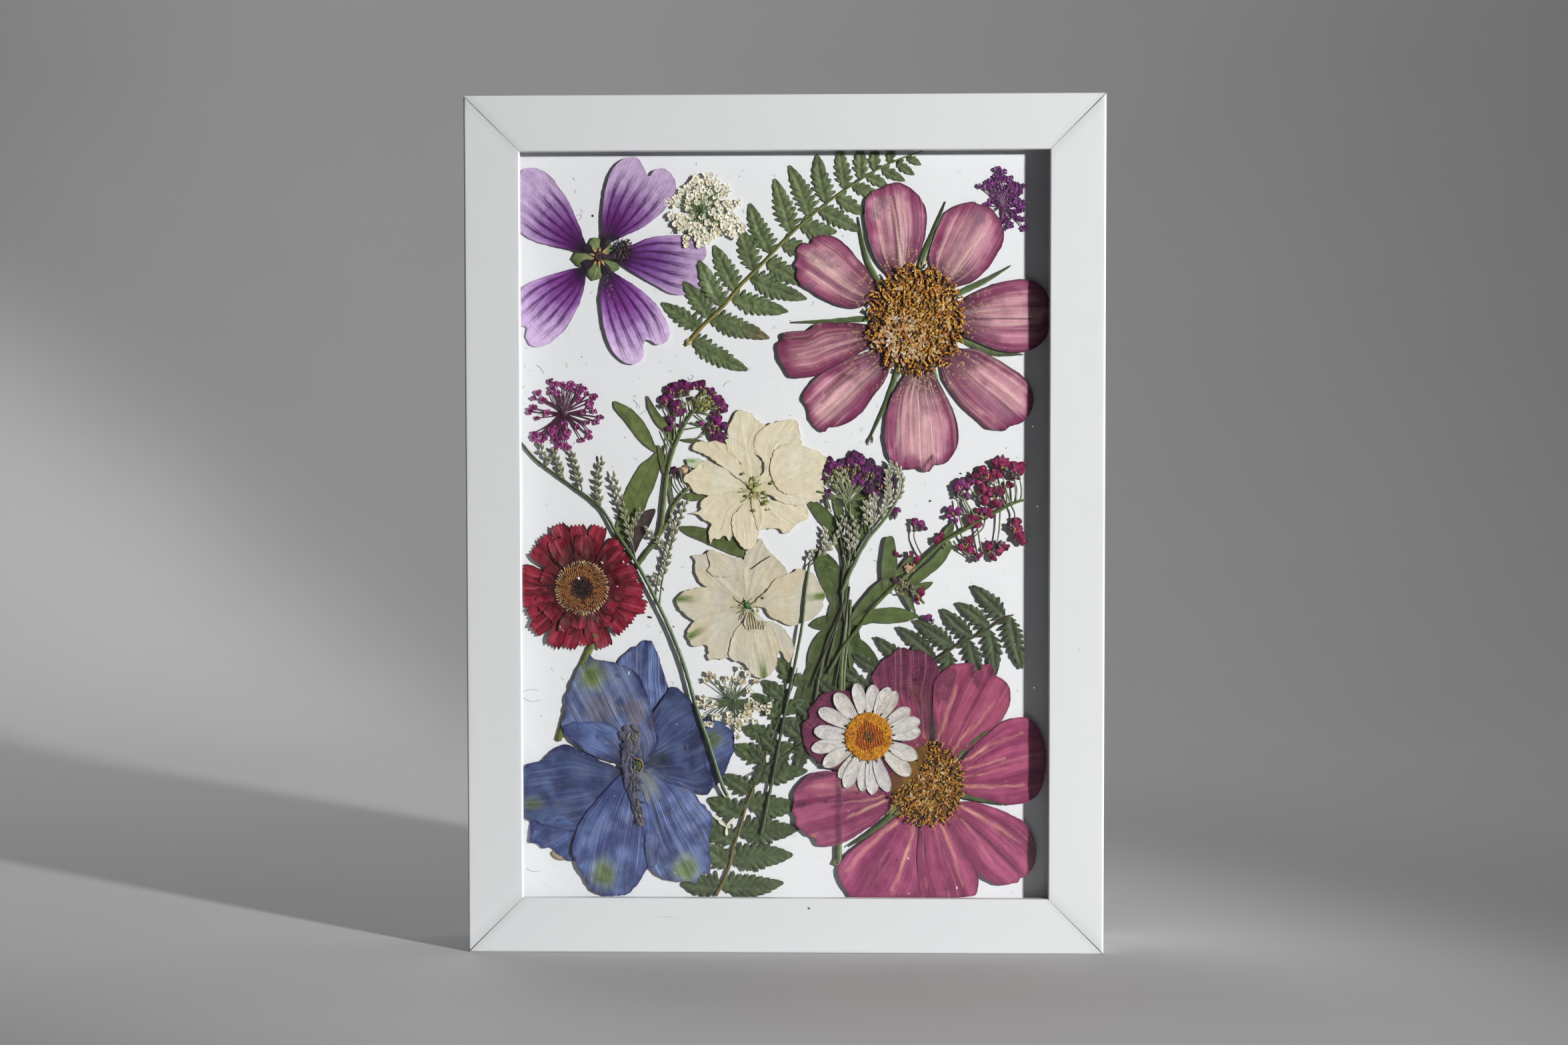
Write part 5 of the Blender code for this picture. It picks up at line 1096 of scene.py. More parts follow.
for i in range(10):
    a = 2 * math.pi * (i + 0.3 * rng.random()) / 10 + 0.25
    r0, r1 = 6.5, 13.5 + 5 * rng.random()
    at = np.array(MALLOW_AT)
    add_patch(
        bag, (*(at + r0 * np.array((math.cos(a), math.sin(a)))), 5.0), (*(at + r1 * np.array((math.cos(a), math.sin(a)))), 4.8),
        3.4, shade(0.80, 0.58, 0.38), rows=6, cols=4, outline=[(0, 0.7), (0.5, 1), (1, 0.2)], thick=0.6, seed=i,
        tone_tip=shade(0.72, 0.66, 0.50),
    )
add_bead(bag, (*MALLOW_AT, 5.0), 8.2, shade(0.045, 0.03, 0.05), squash=0.16, rings=5, sides=14, seed=5, lumps=0.2)
for i in range(9):
    a, r = 2 * math.pi * i / 9 + 0.4, 4.6 + 1.2 * rng.random()
    add_bead(bag, (MALLOW_AT[0] + r * math.cos(a), MALLOW_AT[1] + r * math.sin(a), 6.0), 1.3, shade(0.50, 0.33, 0.30), squash=0.6, rings=3, sides=5, seed=i)
# stamens, pressed to the right of the centre
STAMEN = petal_finish("mallow_stamens", fine=(5, 5, 0.3), mottle=0.4, rough=0.7, relief=0.0001)
add_tube(bag, [(903, 385, 5.4), (912, 386, 5.6), (922, 384, 5.6)], (4.0, 5.0), shade(0.16, 0.08, 0.15), sides=8, flat=0.4, seed=2, rough=0.3, slot=1)
for i in range(230):
    a, r = rng.random() * 2 * math.pi, rng.random() ** 0.6
    u = 934.5 + 14.5 * r * math.cos(a) + 2 * rng.gauss(0, 1)
    v = 376.0 + 14.0 * r * math.sin(a) + 2 * rng.gauss(0, 1) - 0.35 * (u - 934)
    dark = rng.random()
    add_bead(
        bag, (u, v, 4.6 + 2.2 * rng.random()), 0.8 + 1.0 * rng.random(),
        shade(0.10, 0.06, 0.10) if dark < 0.7 else shade(0.30, 0.22, 0.28) if dark < 0.93 else shade(0.55, 0.42, 0.46),
        squash=0.7, rings=3, sides=5, seed=i, lumps=0.3, slot=1,
    )
for i in range(26):
    a = rng.random() * 2 * math.pi
    u, v = 936 + 13 * math.cos(a), 374 + 13 * math.sin(a)
    add_tube(
        bag, [(936, 376, 5.2), (u, v, 5.4 + rng.random()), (u + 4 * math.cos(a + 0.6), v + 4 * math.sin(a + 0.6), 5.6)],
        0.42, shade(0.22, 0.14, 0.20), sides=4, flat=0.9, seed=i, slot=1,
    )
piece(bag, "mallow_calyx_pressed", [CALYX_LEAF, STAMEN], "mallow_calyx", "mallow_calyx")


# ------------------------------------------------------------ cosmos, upper
UPPER_AT = (1375.0, 480.0)
COSMOS_UPPER = [
    [(1334, 414), (1321, 399), (1310, 380), (1302, 353), (1297, 321), (1300, 297),
     (1310, 287), (1325, 281), (1337, 275), (1349, 274), (1363, 281), (1378, 294),
     (1389, 315), (1390, 336), (1386, 362), (1378, 386), (1369, 404), (1366, 440),
     (1348, 440)],
    [(1397, 401), (1393, 392), (1396, 371), (1405, 345), (1417, 321), (1437, 308),
     (1458, 303), (1467, 306), (1484, 311), (1498, 327), (1505, 345), (1505, 362),
     (1493, 386), (1479, 406), (1458, 424), (1434, 432), (1410, 450), (1394, 436)],
    [(1442, 455), (1458, 442), (1479, 432), (1499, 424), (1520, 420), (1536, 419),
     (1560, 428), (1574, 450), (1576, 480), (1568, 508), (1552, 522), (1536, 528),
     (1514, 529), (1493, 525), (1473, 516), (1451, 508), (1420, 492), (1420, 470)],
    [(1439, 522), (1464, 523), (1490, 536), (1514, 550), (1535, 566), (1549, 590),
     (1546, 618), (1533, 634), (1514, 640), (1507, 646), (1496, 646), (1479, 642), (1467, 631),
     (1443, 610), (1425, 586), (1414, 566), (1409, 545), (1398, 516), (1414, 506)],
    [(1363, 554), (1352, 572), (1337, 595), (1331, 616), (1327, 642), (1328, 666),
     (1334, 687), (1349, 702), (1366, 704), (1378, 703), (1386, 707), (1394, 708), (1399, 700),
     (1403, 697), (1417, 696), (1428, 684), (1437, 666), (1437, 642), (1431, 619),
     (1420, 595), (1408, 572), (1396, 554), (1386, 522), (1366, 522)],
    [(1337, 536), (1334, 557), (1325, 575), (1310, 595), (1296, 616), (1278, 631),
     (1257, 640), (1243, 642), (1237, 648), (1223, 641), (1215, 631), (1210, 610), (1204, 598),
     (1210, 583), (1225, 566), (1245, 552), (1272, 538), (1290, 532), (1310, 524),
     (1334, 504), (1348, 516)],
    [(1307, 488), (1290, 485), (1257, 485), (1228, 485), (1213, 495), (1189, 497),
     (1175, 500), (1173, 510), (1167, 515), (1166, 526), (1170, 541), (1178, 555), (1186, 566),
     (1204, 567), (1228, 563), (1245, 554), (1269, 541), (1290, 530), (1310, 517),
     (1334, 498), (1330, 484)],
    [(1307, 454), (1287, 463), (1263, 460), (1240, 451), (1219, 439), (1201, 427),
     (1194, 412), (1196, 404), (1192, 398), (1197, 386), (1194, 376), (1204, 365), (1216, 365),
     (1222, 356), (1240, 353), (1257, 358), (1275, 374), (1287, 389), (1302, 406),
     (1316, 427), (1330, 444), (1340, 462), (1328, 466)],
]
UPPER_TIPS = [(1344, 270), (1484, 312), (1582, 478), (1538, 640), (1384, 712), (1210, 640), (1166, 532), (1192, 372)]
COSMOS_PETAL = petal_finish(
    "cosmos_petal", vein=shade(0.27, 0.10, 0.20), lines=5.3, line_width=0.055, branch=0.0, fine=(4.0, 30.0, 0.34),
    streak=shade(0.83, 0.75, 0.68), streak_size=(1.3, 8.5), streak_level=(0.52, 0.72), mottle=0.12, rough=0.58,
    relief=0.0001, white_specks=0.012, gloss=0.38,
)


def upper_paint(number):
    def paint(p, s, c, d):
        wander = layered(p[:, 0] / 18.0, p[:, 1] / 18.0, 200 + number, 3)
        band = noise(c * 5.0 + number * 3.1, s * 1.2, 210 + number) + 0.5 * noise(c * 11.0 + number, s * 1.6, 220 + number)
        body = blend(shade(0.56, 0.23, 0.41), shade(0.76, 0.52, 0.61), ease(-0.7, 0.7, band + 0.2 * wander))
        centre = np.exp(-((c + 0.1 * wander) ** 2) / 0.28) * ease(0.2, 0.45, s) * (1 - 0.55 * ease(0.78, 1.0, s))
        tone = blend(body, shade(0.85, 0.735, 0.72), 0.58 * centre * (0.6 + 0.5 * ease(-0.5, 0.5, noise(c * 14.0 + number, s * 1.3, 250 + number))))
        smudge = noise(c * 3.0 + number, s * 2.2, 230 + number)
        tone = blend(tone, shade(0.52, 0.27, 0.42), 0.6 * ease(0.1, 0.8, smudge) * ease(0.3, 0.5, s))
        rim_ = 1 - ease(1.5, 20, d + 6 * wander)
        tone = blend(tone, shade(0.53, 0.15, 0.37), 0.85 * rim_)
        tone = blend(tone, shade(0.27, 0.09, 0.19), 0.8 * (1 - ease(0.4, 4.0, d)))
        tone = blend(tone, shade(0.40, 0.18, 0.31), 0.85 * (1 - ease(0.40, 0.66, s + 0.06 * wander)) * (0.5 + 0.5 * ease(-0.4, 0.5, band)))
        tone = blend(tone, shade(0.30, 0.12, 0.22), 0.6 * (1 - ease(0.36, 0.50, s)))
        cream = ease(0.35, 0.75, noise(c * 9.0 + number * 1.3, s * 0.9, 240 + number)) * ease(0.25, 0.45, s) * (1 - ease(0.8, 0.95, s)) * (1 - rim_)
        tone = blend(tone, shade(0.88, 0.78, 0.72), 0.5 * cream)
        grey = np.zeros(len(p))
        if number == 1:
            grey = np.maximum(within_blot(p, 1322, 303, 15, 12, 5), within_blot(p, 1312, 322, 9, 8, 6)) * 0.75
            tone = blend(tone, shade(0.86, 0.74, 0.68), 0.7 * near(p, [(1336, 296), (1342, 325), (1347, 360), (1353, 400)], 2.6))
            tone = blend(tone, shade(0.40, 0.22, 0.32), 0.6 * near(p, [(1340, 296), (1346, 325), (1351, 360), (1357, 402)], 1.8))
        if number == 8:
            grey = np.maximum(within_blot(p, 1232, 384, 24, 8, 7), within_blot(p, 1214, 430, 12, 5, 8)) * 0.75
            grey = np.maximum(grey, within_blot(p, 1245, 396, 17, 6, 9) * 0.6)
        if number == 6:
            # painted shade: a dark line along the crease where the petal's height is sunk
            dark = np.maximum(near(p, [(1285, 550), (1262, 566), (1238, 590)], 3.2), near(p, [(1278, 563), (1252, 583), (1232, 604)], 2.4))
            tone = blend(tone, shade(0.26, 0.14, 0.20), 0.5 * dark)
            tone = blend(tone, shade(0.72, 0.66, 0.55), 0.6 * near(p, [(1282, 553), (1272, 561)], 2.6))
        if number == 2:
            grey = within_blot(p, 1470, 326, 11, 13, 12) * 0.6
            tone = blend(tone, shade(0.84, 0.74, 0.70), 0.6 * near(p, [(1478, 350), (1450, 380), (1424, 418)], 2.6))
        if number == 3:
            tone = blend(tone, shade(0.24, 0.10, 0.17), 0.7 * near(p, [(1455, 479), (1500, 478), (1545, 479)], 1.8))
        if number == 7:
            tone = blend(tone, shade(0.27, 0.10, 0.18), 0.7 * near(p, [(1174, 502), (1190, 509), (1212, 508), (1232, 492)], 3.0))
            tone = blend(tone, shade(0.85, 0.74, 0.70), 0.5 * near(p, [(1196, 533), (1240, 520), (1285, 508)], 2.4))
        if number == 5:
            pale = near(p, [(1366, 600), (1352, 630), (1344, 668)], 4.5) * 0.4 + near(p, [(1374, 585), (1384, 640), (1388, 688)], 2.6) * 0.55
            tone = blend(tone, shade(0.80, 0.68, 0.70), pale)
            tone = blend(tone, shade(0.28, 0.12, 0.20), 0.6 * near(p, [(1386, 702), (1393, 690), (1398, 684)], 2.2))
            tone = blend(tone, shade(0.62, 0.56, 0.50), 0.55 * within_blot(p, 1372, 566, 16, 12, 21, 5) * ease(0.2, 0.8, 0.5 + wander))
        tone = blend(tone, shade(0.44, 0.37, 0.42), 0.65 * grey)
        dust = hashed((p[:, 0] * 5).astype(np.int64), (p[:, 1] * 5).astype(np.int64), 77 + number)
        ring = 1 - ease(0.42, 0.62, s)
        tone = blend(tone, shade(0.82, 0.68, 0.42), (dust > 0.93) * 0.75 * ring)
        return tone
    return paint


def upper_mask(p, s, c, d):
    vein = 0.55 * (1 - ease(0.35, 0.75, s)) + 0.16
    streak = 0.30 * ease(0.25, 0.5, s) * (1 - ease(0.75, 1.0, s)) * (1 - 0.7 * ease(0.55, 1.0, np.abs(c)))
    return marks_of(len(p), vein, streak + 0.08)


for number, outline in enumerate(COSMOS_UPPER, 1):
    bag = Bag()
    tall = 4.4 if number % 2 else 3.8 if number == 8 else 3.4

    def height(p, s, c, d, number=number, tall=tall):
        w = tall + 0.0 * s
        if number == 7:
            w = w + 1.6 * near(p, [(1178, 504), (1200, 501), (1225, 490)], 8)
        if number == 1:
            w = w + 0.9 * near(p, [(1340, 296), (1346, 340), (1352, 400)], 6)
        if number == 6:
            w = w - 0.9 * near(p, [(1285, 550), (1262, 566), (1238, 590)], 5) + 0.8 * near(p, [(1292, 560), (1268, 578), (1240, 604)], 5)
        if number == 5:
            w = w + 1.2 * near(p, [(1384, 708), (1392, 696), (1402, 686)], 6)
        return w

    add_petal(
        bag, outline, UPPER_AT, UPPER_TIPS[number - 1], upper_paint(number), height, 220 + number, gap=2.3, pleat=0.42,
        pleats=6.5, curl=1.0, wave=0.6, mask=upper_mask, uneven=0.5, scale=6.0,
    )
    gain = (0.76, 0.60, 0.66) if number == 7 else (0.93, 0.84, 0.87)
    piece(bag, f"cosmos_upper_petal_{number}_pressed", [COSMOS_PETAL], f"cosmos_upper_petal_{number}", "cosmos_upper_petal", gain=gain, contrast=1.22)

GREEN_BRACT = leaf_finish("cosmos_bract", rough=0.5, mottle=0.28, relief=0.0001, gloss=0.45, cross=False)
UPPER_BRACTS = [
    [(1352, 462), (1320, 425), (1305, 400), (1293, 360), (1287, 326)],
    [(1372, 462), (1381, 397), (1400, 350), (1418, 303)],
    [(1392, 466), (1435, 442), (1480, 420), (1516, 399)],
    [(1352, 476), (1298, 478), (1250, 482), (1187, 484)],
    [(1362, 496), (1348, 550), (1335, 590), (1302, 664)],
    [(1392, 486), (1443, 510), (1490, 530), (1534, 532)],
    [(1380, 500), (1398, 552), (1415, 596)],
]


def add_bract(bag, path, w, width, seed, dark=0.0):
    """A long narrow leaf with a crease along it, drawn out to a point."""
    line = [(u, v, w + 0.3 * math.sin(i * 1.7 + seed)) for i, (u, v) in enumerate(path)]
    radii = [width * k for k in np.interp(np.linspace(0, 1, len(path)), [0, 0.3, 0.6, 0.85, 1.0], [0.42, 0.5, 0.46, 0.30, 0.12])]
    tone = [shade(0.36, 0.43, 0.27), shade(0.38, 0.45, 0.29), shade(0.33, 0.40, 0.24), shade(0.30, 0.36, 0.22), shade(0.26, 0.27, 0.19)]
    add_tube(bag, line, radii, [t * (1 - dark) for t in tone], sides=10, flat=0.26, seed=seed, rough=0.10, step=3.0)
    ridge = [(u + 0.5, v - 0.3, w + 0.7 + 0.3 * math.sin(i * 1.7 + seed)) for i, (u, v) in enumerate(path)]
    add_tube(bag, ridge[:-1] + [ridge[-1]], [r * 0.16 for r in radii], shade(0.24, 0.30, 0.17), sides=5, flat=0.8, seed=seed + 1, step=4.0)


bag = Bag()
for i, run in enumerate(UPPER_BRACTS):
    add_bract(bag, run, 1.7, 9.0, 300 + i)
add_tube(bag, [(1306, 655, 1.7), (1301, 662, 1.8), (1303, 668, 1.7)], (2.2, 0.6), shade(0.25, 0.27, 0.18), sides=6, flat=0.4, seed=9)
add_tube(bag, [(1307, 652, 1.7), (1309, 660, 1.8), (1308, 665, 1.7)], (1.8, 0.5), shade(0.25, 0.27, 0.18), sides=6, flat=0.4, seed=10)
add_bead(bag, (1375, 480, 1.9), 36, shade(0.30, 0.36, 0.2), squash=0.03, rings=4, sides=20, seed=3)
piece(bag, "cosmos_upper_bracts_pressed", [GREEN_BRACT], "cosmos_upper_bracts", "cosmos_upper_bracts")

FLORET = petal_finish("disc_floret", fine=(3.0, 3.0, 0.25), mottle=0.3, rough=0.62, relief=0.00012, gloss=0.35)


def add_disc(bag, at, ru, rv, low, top, count, seed, size=2.0, dark_rim=0.55, olive=0.3, papery=70, papery_side=(-0.6, 0.7), gold=1.0, tall=1.0, floor=None, brown_share=0.28, cap=None):
    """A pressed flower centre: dark floor, golden florets with brown anthers, papery scales."""
    rng = random.Random(seed)
    under = floor if floor is not None else (shade(0.50, 0.36, 0.15), shade(0.22, 0.14, 0.08))

    def held(u, v, z):
        return z if cap is None else min(z, float(cap(np.array([[u, v]]))[0]) - 2.2)

    angle = np.linspace(0, 2 * np.pi, 64, endpoint=False)
    edge = np.stack((at[0] + 0.93 * ru * np.cos(angle), at[1] + 0.93 * rv * np.sin(angle)), axis=1)
    edge = ragged(edge, 3.0, 7.0, seed)
    points, tris = fill(edge, 4.0, seed)
    r = np.sqrt(((points[:, 0] - at[0]) / ru) ** 2 + ((points[:, 1] - at[1]) / rv) ** 2)
    w = low + (top - low) * 0.55 * (1 - r**2) + 0.8 * layered(points[:, 0] / 5, points[:, 1] / 5, seed, 2)
    ground = blend(under[0], under[1], ease(0.45, 1.0, r + 0.25 * layered(points[:, 0] / 9, points[:, 1] / 9, seed + 5, 2)))
    w = np.clip(w, low, top - 1)
    add_sheet(bag, points, tris, w if cap is None else np.minimum(w, cap(points)), 0.8, ground, (0.3, 0.3, 0.1), (0, 0, 0, 1))
    golden = math.pi * (3 - math.sqrt(5))
    for i in range(count):
        r = math.sqrt((i + 0.5) / count)
        a = i * golden + rng.gauss(0, 0.05)
        rr = r * (0.97 + 0.10 * rng.random() * (r > 0.8))
        u, v = at[0] + ru * rr * math.cos(a), at[1] + rv * rr * math.sin(a)
        head = low + (top - low) * (0.80 - 0.35 * r * r) + rng.random() * 0.9
        lean = a + rng.gauss(0, 0.55)
        # pressed florets mostly lie over to the upper right in the middle, outwards at the rim
        if r < 0.75:
            lean = -0.9 + rng.gauss(0, 0.5) + 0.35 * math.sin(a)
        head = held(u, v, head)
        brown = rng.random() < (brown_share + dark_rim * max(0.0, r - 0.55))
        if brown:
            tone = shade(0.24 + 0.12 * rng.random(), 0.15 + 0.07 * rng.random(), 0.10)
            shaded_foot = tone * 0.7
        elif rng.random() < olive and r < 0.6:
            tone = shade(0.58, 0.49, 0.20)
            shaded_foot = shade(0.34, 0.27, 0.11)
        else:
            pick = rng.random()
            tone = shade(0.84, 0.65, 0.22) if pick < 0.42 else shade(0.74, 0.49, 0.16) if pick < 0.68 else shade(0.88, 0.76, 0.46)
            tone = tone * gold
            shaded_foot = shade(0.52, 0.36, 0.13) * (0.6 + 0.7 * rng.random())
        long = 1.5 + 0.9 * rng.random()
        wide = size * (0.55 + 0.35 * rng.random())
        # painted shade and highlight: each floret runs from a darker colour at its bottom to a lighter one at its top
        add_bead(bag, (u, v, head * tall), wide, shaded_foot, squash=0.9, rings=3, sides=5, stretch=long, angle=lean, seed=i + seed, lumps=0.4, tilt=0.2 * rng.random(), lit_top_tone=tone * 1.05)
        # the lobes at the floret's end
        end = (u + wide * long * 0.95 * math.cos(lean), v + wide * long * 0.95 * math.sin(lean))
        lobe = shade(0.86, 0.66, 0.24) if rng.random() < 0.60 else shade(0.68, 0.42, 0.14) if rng.random() < 0.7 else shade(0.30, 0.18, 0.11)
        for k in range(rng.choice((2, 3, 3, 4))):
            b = lean + rng.gauss(0, 0.9)
            # painted shade and highlight: each lobe is a darker copy of its colour below and a lighter one on top
            add_bead(
                bag, (end[0] + 1.6 * math.cos(b), end[1] + 1.6 * math.sin(b), held(*end, min(head * tall + 0.7, 10.0))), 0.85 * size / 2 * (0.7 + 0.5 * rng.random()),
                lobe * gold * (0.75 + 0.4 * rng.random()), squash=0.8, rings=3, sides=4, stretch=1.3 + 0.9 * rng.random(), angle=b, seed=i * 3 + k, lumps=0.3, lit_top_tone=lobe * 1.15 * gold,
            )
    for i in range(papery):
        a, r = rng.random() * 2 * math.pi, math.sqrt(rng.random())
        u, v = at[0] + ru * (0.50 * papery_side[0] + 0.52 * r * math.cos(a)), at[1] + rv * (0.50 * papery_side[1] + 0.45 * r * math.sin(a))
        if rng.random() < 0.3:
            u, v = at[0] + ru * 0.75 * r * math.cos(a), at[1] + rv * 0.75 * r * math.sin(a)
        b = rng.random() * math.pi * 2
        long = 5 + 6 * rng.random()
        pale = shade(0.84, 0.76, 0.60) if rng.random() < 0.55 else shade(0.78, 0.55, 0.34) if rng.random() < 0.6 else shade(0.92, 0.88, 0.78)
        z = held(u, v, min(low + (top - low) * 0.98 + 0.8 * rng.random(), 10.0))
        add_patch(
            bag, (u, v, z), (u + long * math.cos(b), v + long * math.sin(b), z + 0.8 * rng.random()), 3.0 + 2 * rng.random(), pale, rows=5, cols=3,
            thick=0.5, seed=i, wave=0.8, tone_tip=pale * 0.8,
        )


bag = Bag()
add_disc(bag, UPPER_AT, 71, 80, 5.6, 9.4, 520, 41, size=2.75, dark_rim=0.7, papery=200, brown_share=0.08, olive=0.3, floor=(shade(0.62, 0.46, 0.22), shade(0.34, 0.22, 0.14)))
piece(bag, "cosmos_upper_disc_pressed", [FLORET], "cosmos_upper_disc", "cosmos_upper_disc", gain=(0.90, 0.80, 0.84), sharp=70.0)


# ------------------------------------------------------------ cosmos, lower
LOWER_AT = (1390.0, 1175.0)
COSMOS_LOWER = [
    [(1308, 1018), (1312, 1006), (1322, 993), (1335, 983), (1347, 975), (1356, 971),
     (1364, 975), (1372, 976), (1383, 976), (1395, 984), (1404, 993), (1409, 1008), (1400, 1026),
     (1398, 1046), (1397, 1066), (1395, 1092), (1395, 1112), (1396, 1140), (1374, 1142),
     (1356, 1118), (1340, 1090), (1322, 1056)],
    [(1402, 1112), (1400, 1074), (1400, 1036), (1403, 1021), (1413, 1008), (1428, 998),
     (1443, 995), (1459, 995), (1466, 1001), (1474, 998), (1486, 996), (1491, 1003), (1492, 1012),
     (1507, 1021), (1514, 1033), (1516, 1049), (1512, 1064), (1500, 1084), (1484, 1097),
     (1459, 1120), (1438, 1135), (1416, 1150), (1402, 1140)],
    [(1442, 1142), (1459, 1122), (1484, 1098), (1502, 1084), (1519, 1078), (1538, 1076),
     (1556, 1090), (1567, 1120), (1568, 1156), (1558, 1190), (1538, 1204), (1519, 1207),
     (1499, 1204), (1471, 1197), (1443, 1190), (1418, 1182), (1418, 1160)],
    [(1441, 1202), (1459, 1202), (1484, 1209), (1504, 1216), (1524, 1226), (1538, 1235),
     (1552, 1262), (1552, 1294), (1538, 1315), (1530, 1317), (1527, 1323), (1519, 1325), (1500, 1328),
     (1484, 1322), (1469, 1311), (1464, 1302), (1448, 1279), (1431, 1251), (1421, 1233),
     (1404, 1208), (1418, 1196)],
    [(1420, 1232), (1431, 1251), (1448, 1279), (1464, 1302), (1467, 1315), (1467, 1330),
     (1462, 1343), (1448, 1345), (1424, 1346), (1400, 1346), (1384, 1346), (1378, 1320),
     (1376, 1280), (1378, 1250), (1384, 1214), (1400, 1206)],
    [(1342, 1226), (1322, 1241), (1299, 1259), (1279, 1274), (1264, 1289), (1257, 1304),
     (1260, 1320), (1269, 1335), (1278, 1345), (1304, 1346), (1336, 1346), (1366, 1346),
     (1388, 1345), (1390, 1310), (1390, 1270), (1388, 1240), (1384, 1204), (1366, 1202)],
    [(1340, 1206), (1327, 1221), (1312, 1236), (1294, 1247), (1276, 1259), (1256, 1268),
     (1238, 1270), (1226, 1266), (1219, 1255), (1212, 1254), (1208, 1249), (1195, 1239),
     (1193, 1226), (1188, 1216), (1191, 1203), (1191, 1190), (1200, 1175), (1213, 1163),
     (1231, 1157), (1256, 1158), (1290, 1160), (1330, 1172), (1364, 1180), (1362, 1196)],
    [(1256, 1155), (1233, 1147), (1218, 1135), (1208, 1120), (1204, 1102), (1205, 1087),
     (1213, 1076), (1214, 1064), (1222, 1054), (1233, 1042), (1251, 1036), (1269, 1036),
     (1281, 1038), (1300, 1060), (1330, 1100), (1356, 1140), (1368, 1160), (1356, 1172),
     (1320, 1162), (1290, 1156)],
]
LOWER_TIPS = [(1366, 968), (1480, 1008), (1575, 1140), (1530, 1300), (1432, 1352), (1290, 1340), (1192, 1228), (1218, 1070)]
LOWER_STREAKS = [
    [([(1361, 1016), (1370, 1046), (1380, 1072), (1386, 1106)], 5.0, 0.75), ([(1388, 1044), (1389, 1080), (1391, 1110)], 3.0, 0.35)],
    [([(1436, 1030), (1424, 1060), (1413, 1088), (1406, 1112)], 4.0, 0.85), ([(1490, 1056), (1463, 1086), (1441, 1110), (1428, 1128)], 4.5, 0.9),
     ([(1452, 1060), (1438, 1088), (1424, 1116)], 2.0, 0.45)],
    [([(1534, 1100), (1500, 1112), (1470, 1126), (1446, 1142)], 4.0, 0.9), ([(1508, 1138), (1480, 1146), (1450, 1155)], 3.0, 0.75),
     ([(1536, 1178), (1490, 1181), (1444, 1179)], 4.0, 0.85), ([(1512, 1152), (1478, 1160), (1446, 1166)], 2.4, 0.6)],
    [([(1530, 1264), (1500, 1243), (1468, 1224), (1440, 1208)], 4.5, 0.9), ([(1488, 1292), (1464, 1256), (1442, 1228)], 3.5, 0.5)],
    [([(1443, 1326), (1431, 1284), (1420, 1254), (1412, 1238)], 4.5, 0.85), ([(1412, 1280), (1405, 1256), (1400, 1240)], 1.8, 0.5)],
    [([(1345, 1234), (1322, 1252), (1296, 1278), (1270, 1306)], 6.0, 0.85), ([(1371, 1236), (1362, 1272), (1348, 1312), (1337, 1336)], 5.0, 0.95),
     ([(1390, 1240), (1390, 1286), (1389, 1330)], 3.2, 0.8), ([(1350, 1240), (1330, 1274), (1318, 1300)], 2.0, 0.45)],
    [([(1330, 1201), (1302, 1212), (1270, 1228)], 4.0, 0.9), ([(1326, 1194), (1296, 1200), (1266, 1204)], 2.5, 0.6),
     ([(1296, 1180), (1262, 1179), (1222, 1180)], 7.0, 0.62), ([(1280, 1191), (1250, 1192), (1230, 1194)], 5.0, 0.4)],
    [([(1340, 1130), (1310, 1108), (1276, 1084)], 4.0, 0.4)],
]
LOWER_PETAL = petal_finish(
    "cosmos_lower_petal", vein=shade(0.36, 0.10, 0.24), lines=6.3, line_width=0.05, fine=(3.2, 34.0, 0.26),
    streak=shade(0.78, 0.56, 0.56), streak_size=(1.2, 9.0), streak_level=(0.56, 0.78), mottle=0.16, rough=0.56,
    relief=0.00009, under=0.42, dots=1.0, white_specks=0.012, gloss=0.3,
)
# where leaves that lie under the petals show through: (petal, outline)
SHOWN = [
    (1, [(1300, 960), (1412, 960), (1412, 1030), (1402, 1075), (1394, 1105), (1380, 1100), (1372, 1062), (1352, 1044), (1330, 1046), (1310, 1060)]),
    (2, [(1400, 1036), (1403, 1018), (1418, 1000), (1434, 998), (1438, 1012), (1432, 1030), (1426, 1048), (1420, 1062), (1414, 1052), (1406, 1070)]),
    (2, [(1448, 994), (1474, 996), (1478, 1010), (1473, 1028), (1466, 1036), (1459, 1026), (1452, 1012)]),
    (2, [(1476, 994), (1492, 1000), (1494, 1012), (1487, 1024), (1480, 1012)]),
    (2, [(1400, 1070), (1408, 1080), (1410, 1120), (1402, 1140), (1398, 1100)]),
    (7, [(1190, 1186), (1206, 1166), (1224, 1156), (1256, 1158), (1248, 1168), (1224, 1172), (1210, 1182), (1196, 1196)]),
    (7, [(1252, 1158), (1265, 1160), (1265, 1264), (1252, 1270)]),
    (7, [(1186, 1200), (1206, 1196), (1214, 1206), (1204, 1216), (1192, 1212)]),
    (8, [(1190, 1030), (1300, 1030), (1330, 1090), (1366, 1160), (1240, 1160), (1196, 1130)]),
]


def below_daisy(points):
    """How high a piece under the daisy may reach."""
    return 7.1 + 5.2 * ease(85, 99, np.linalg.norm(points - (1303.0, 1105.0), axis=1))


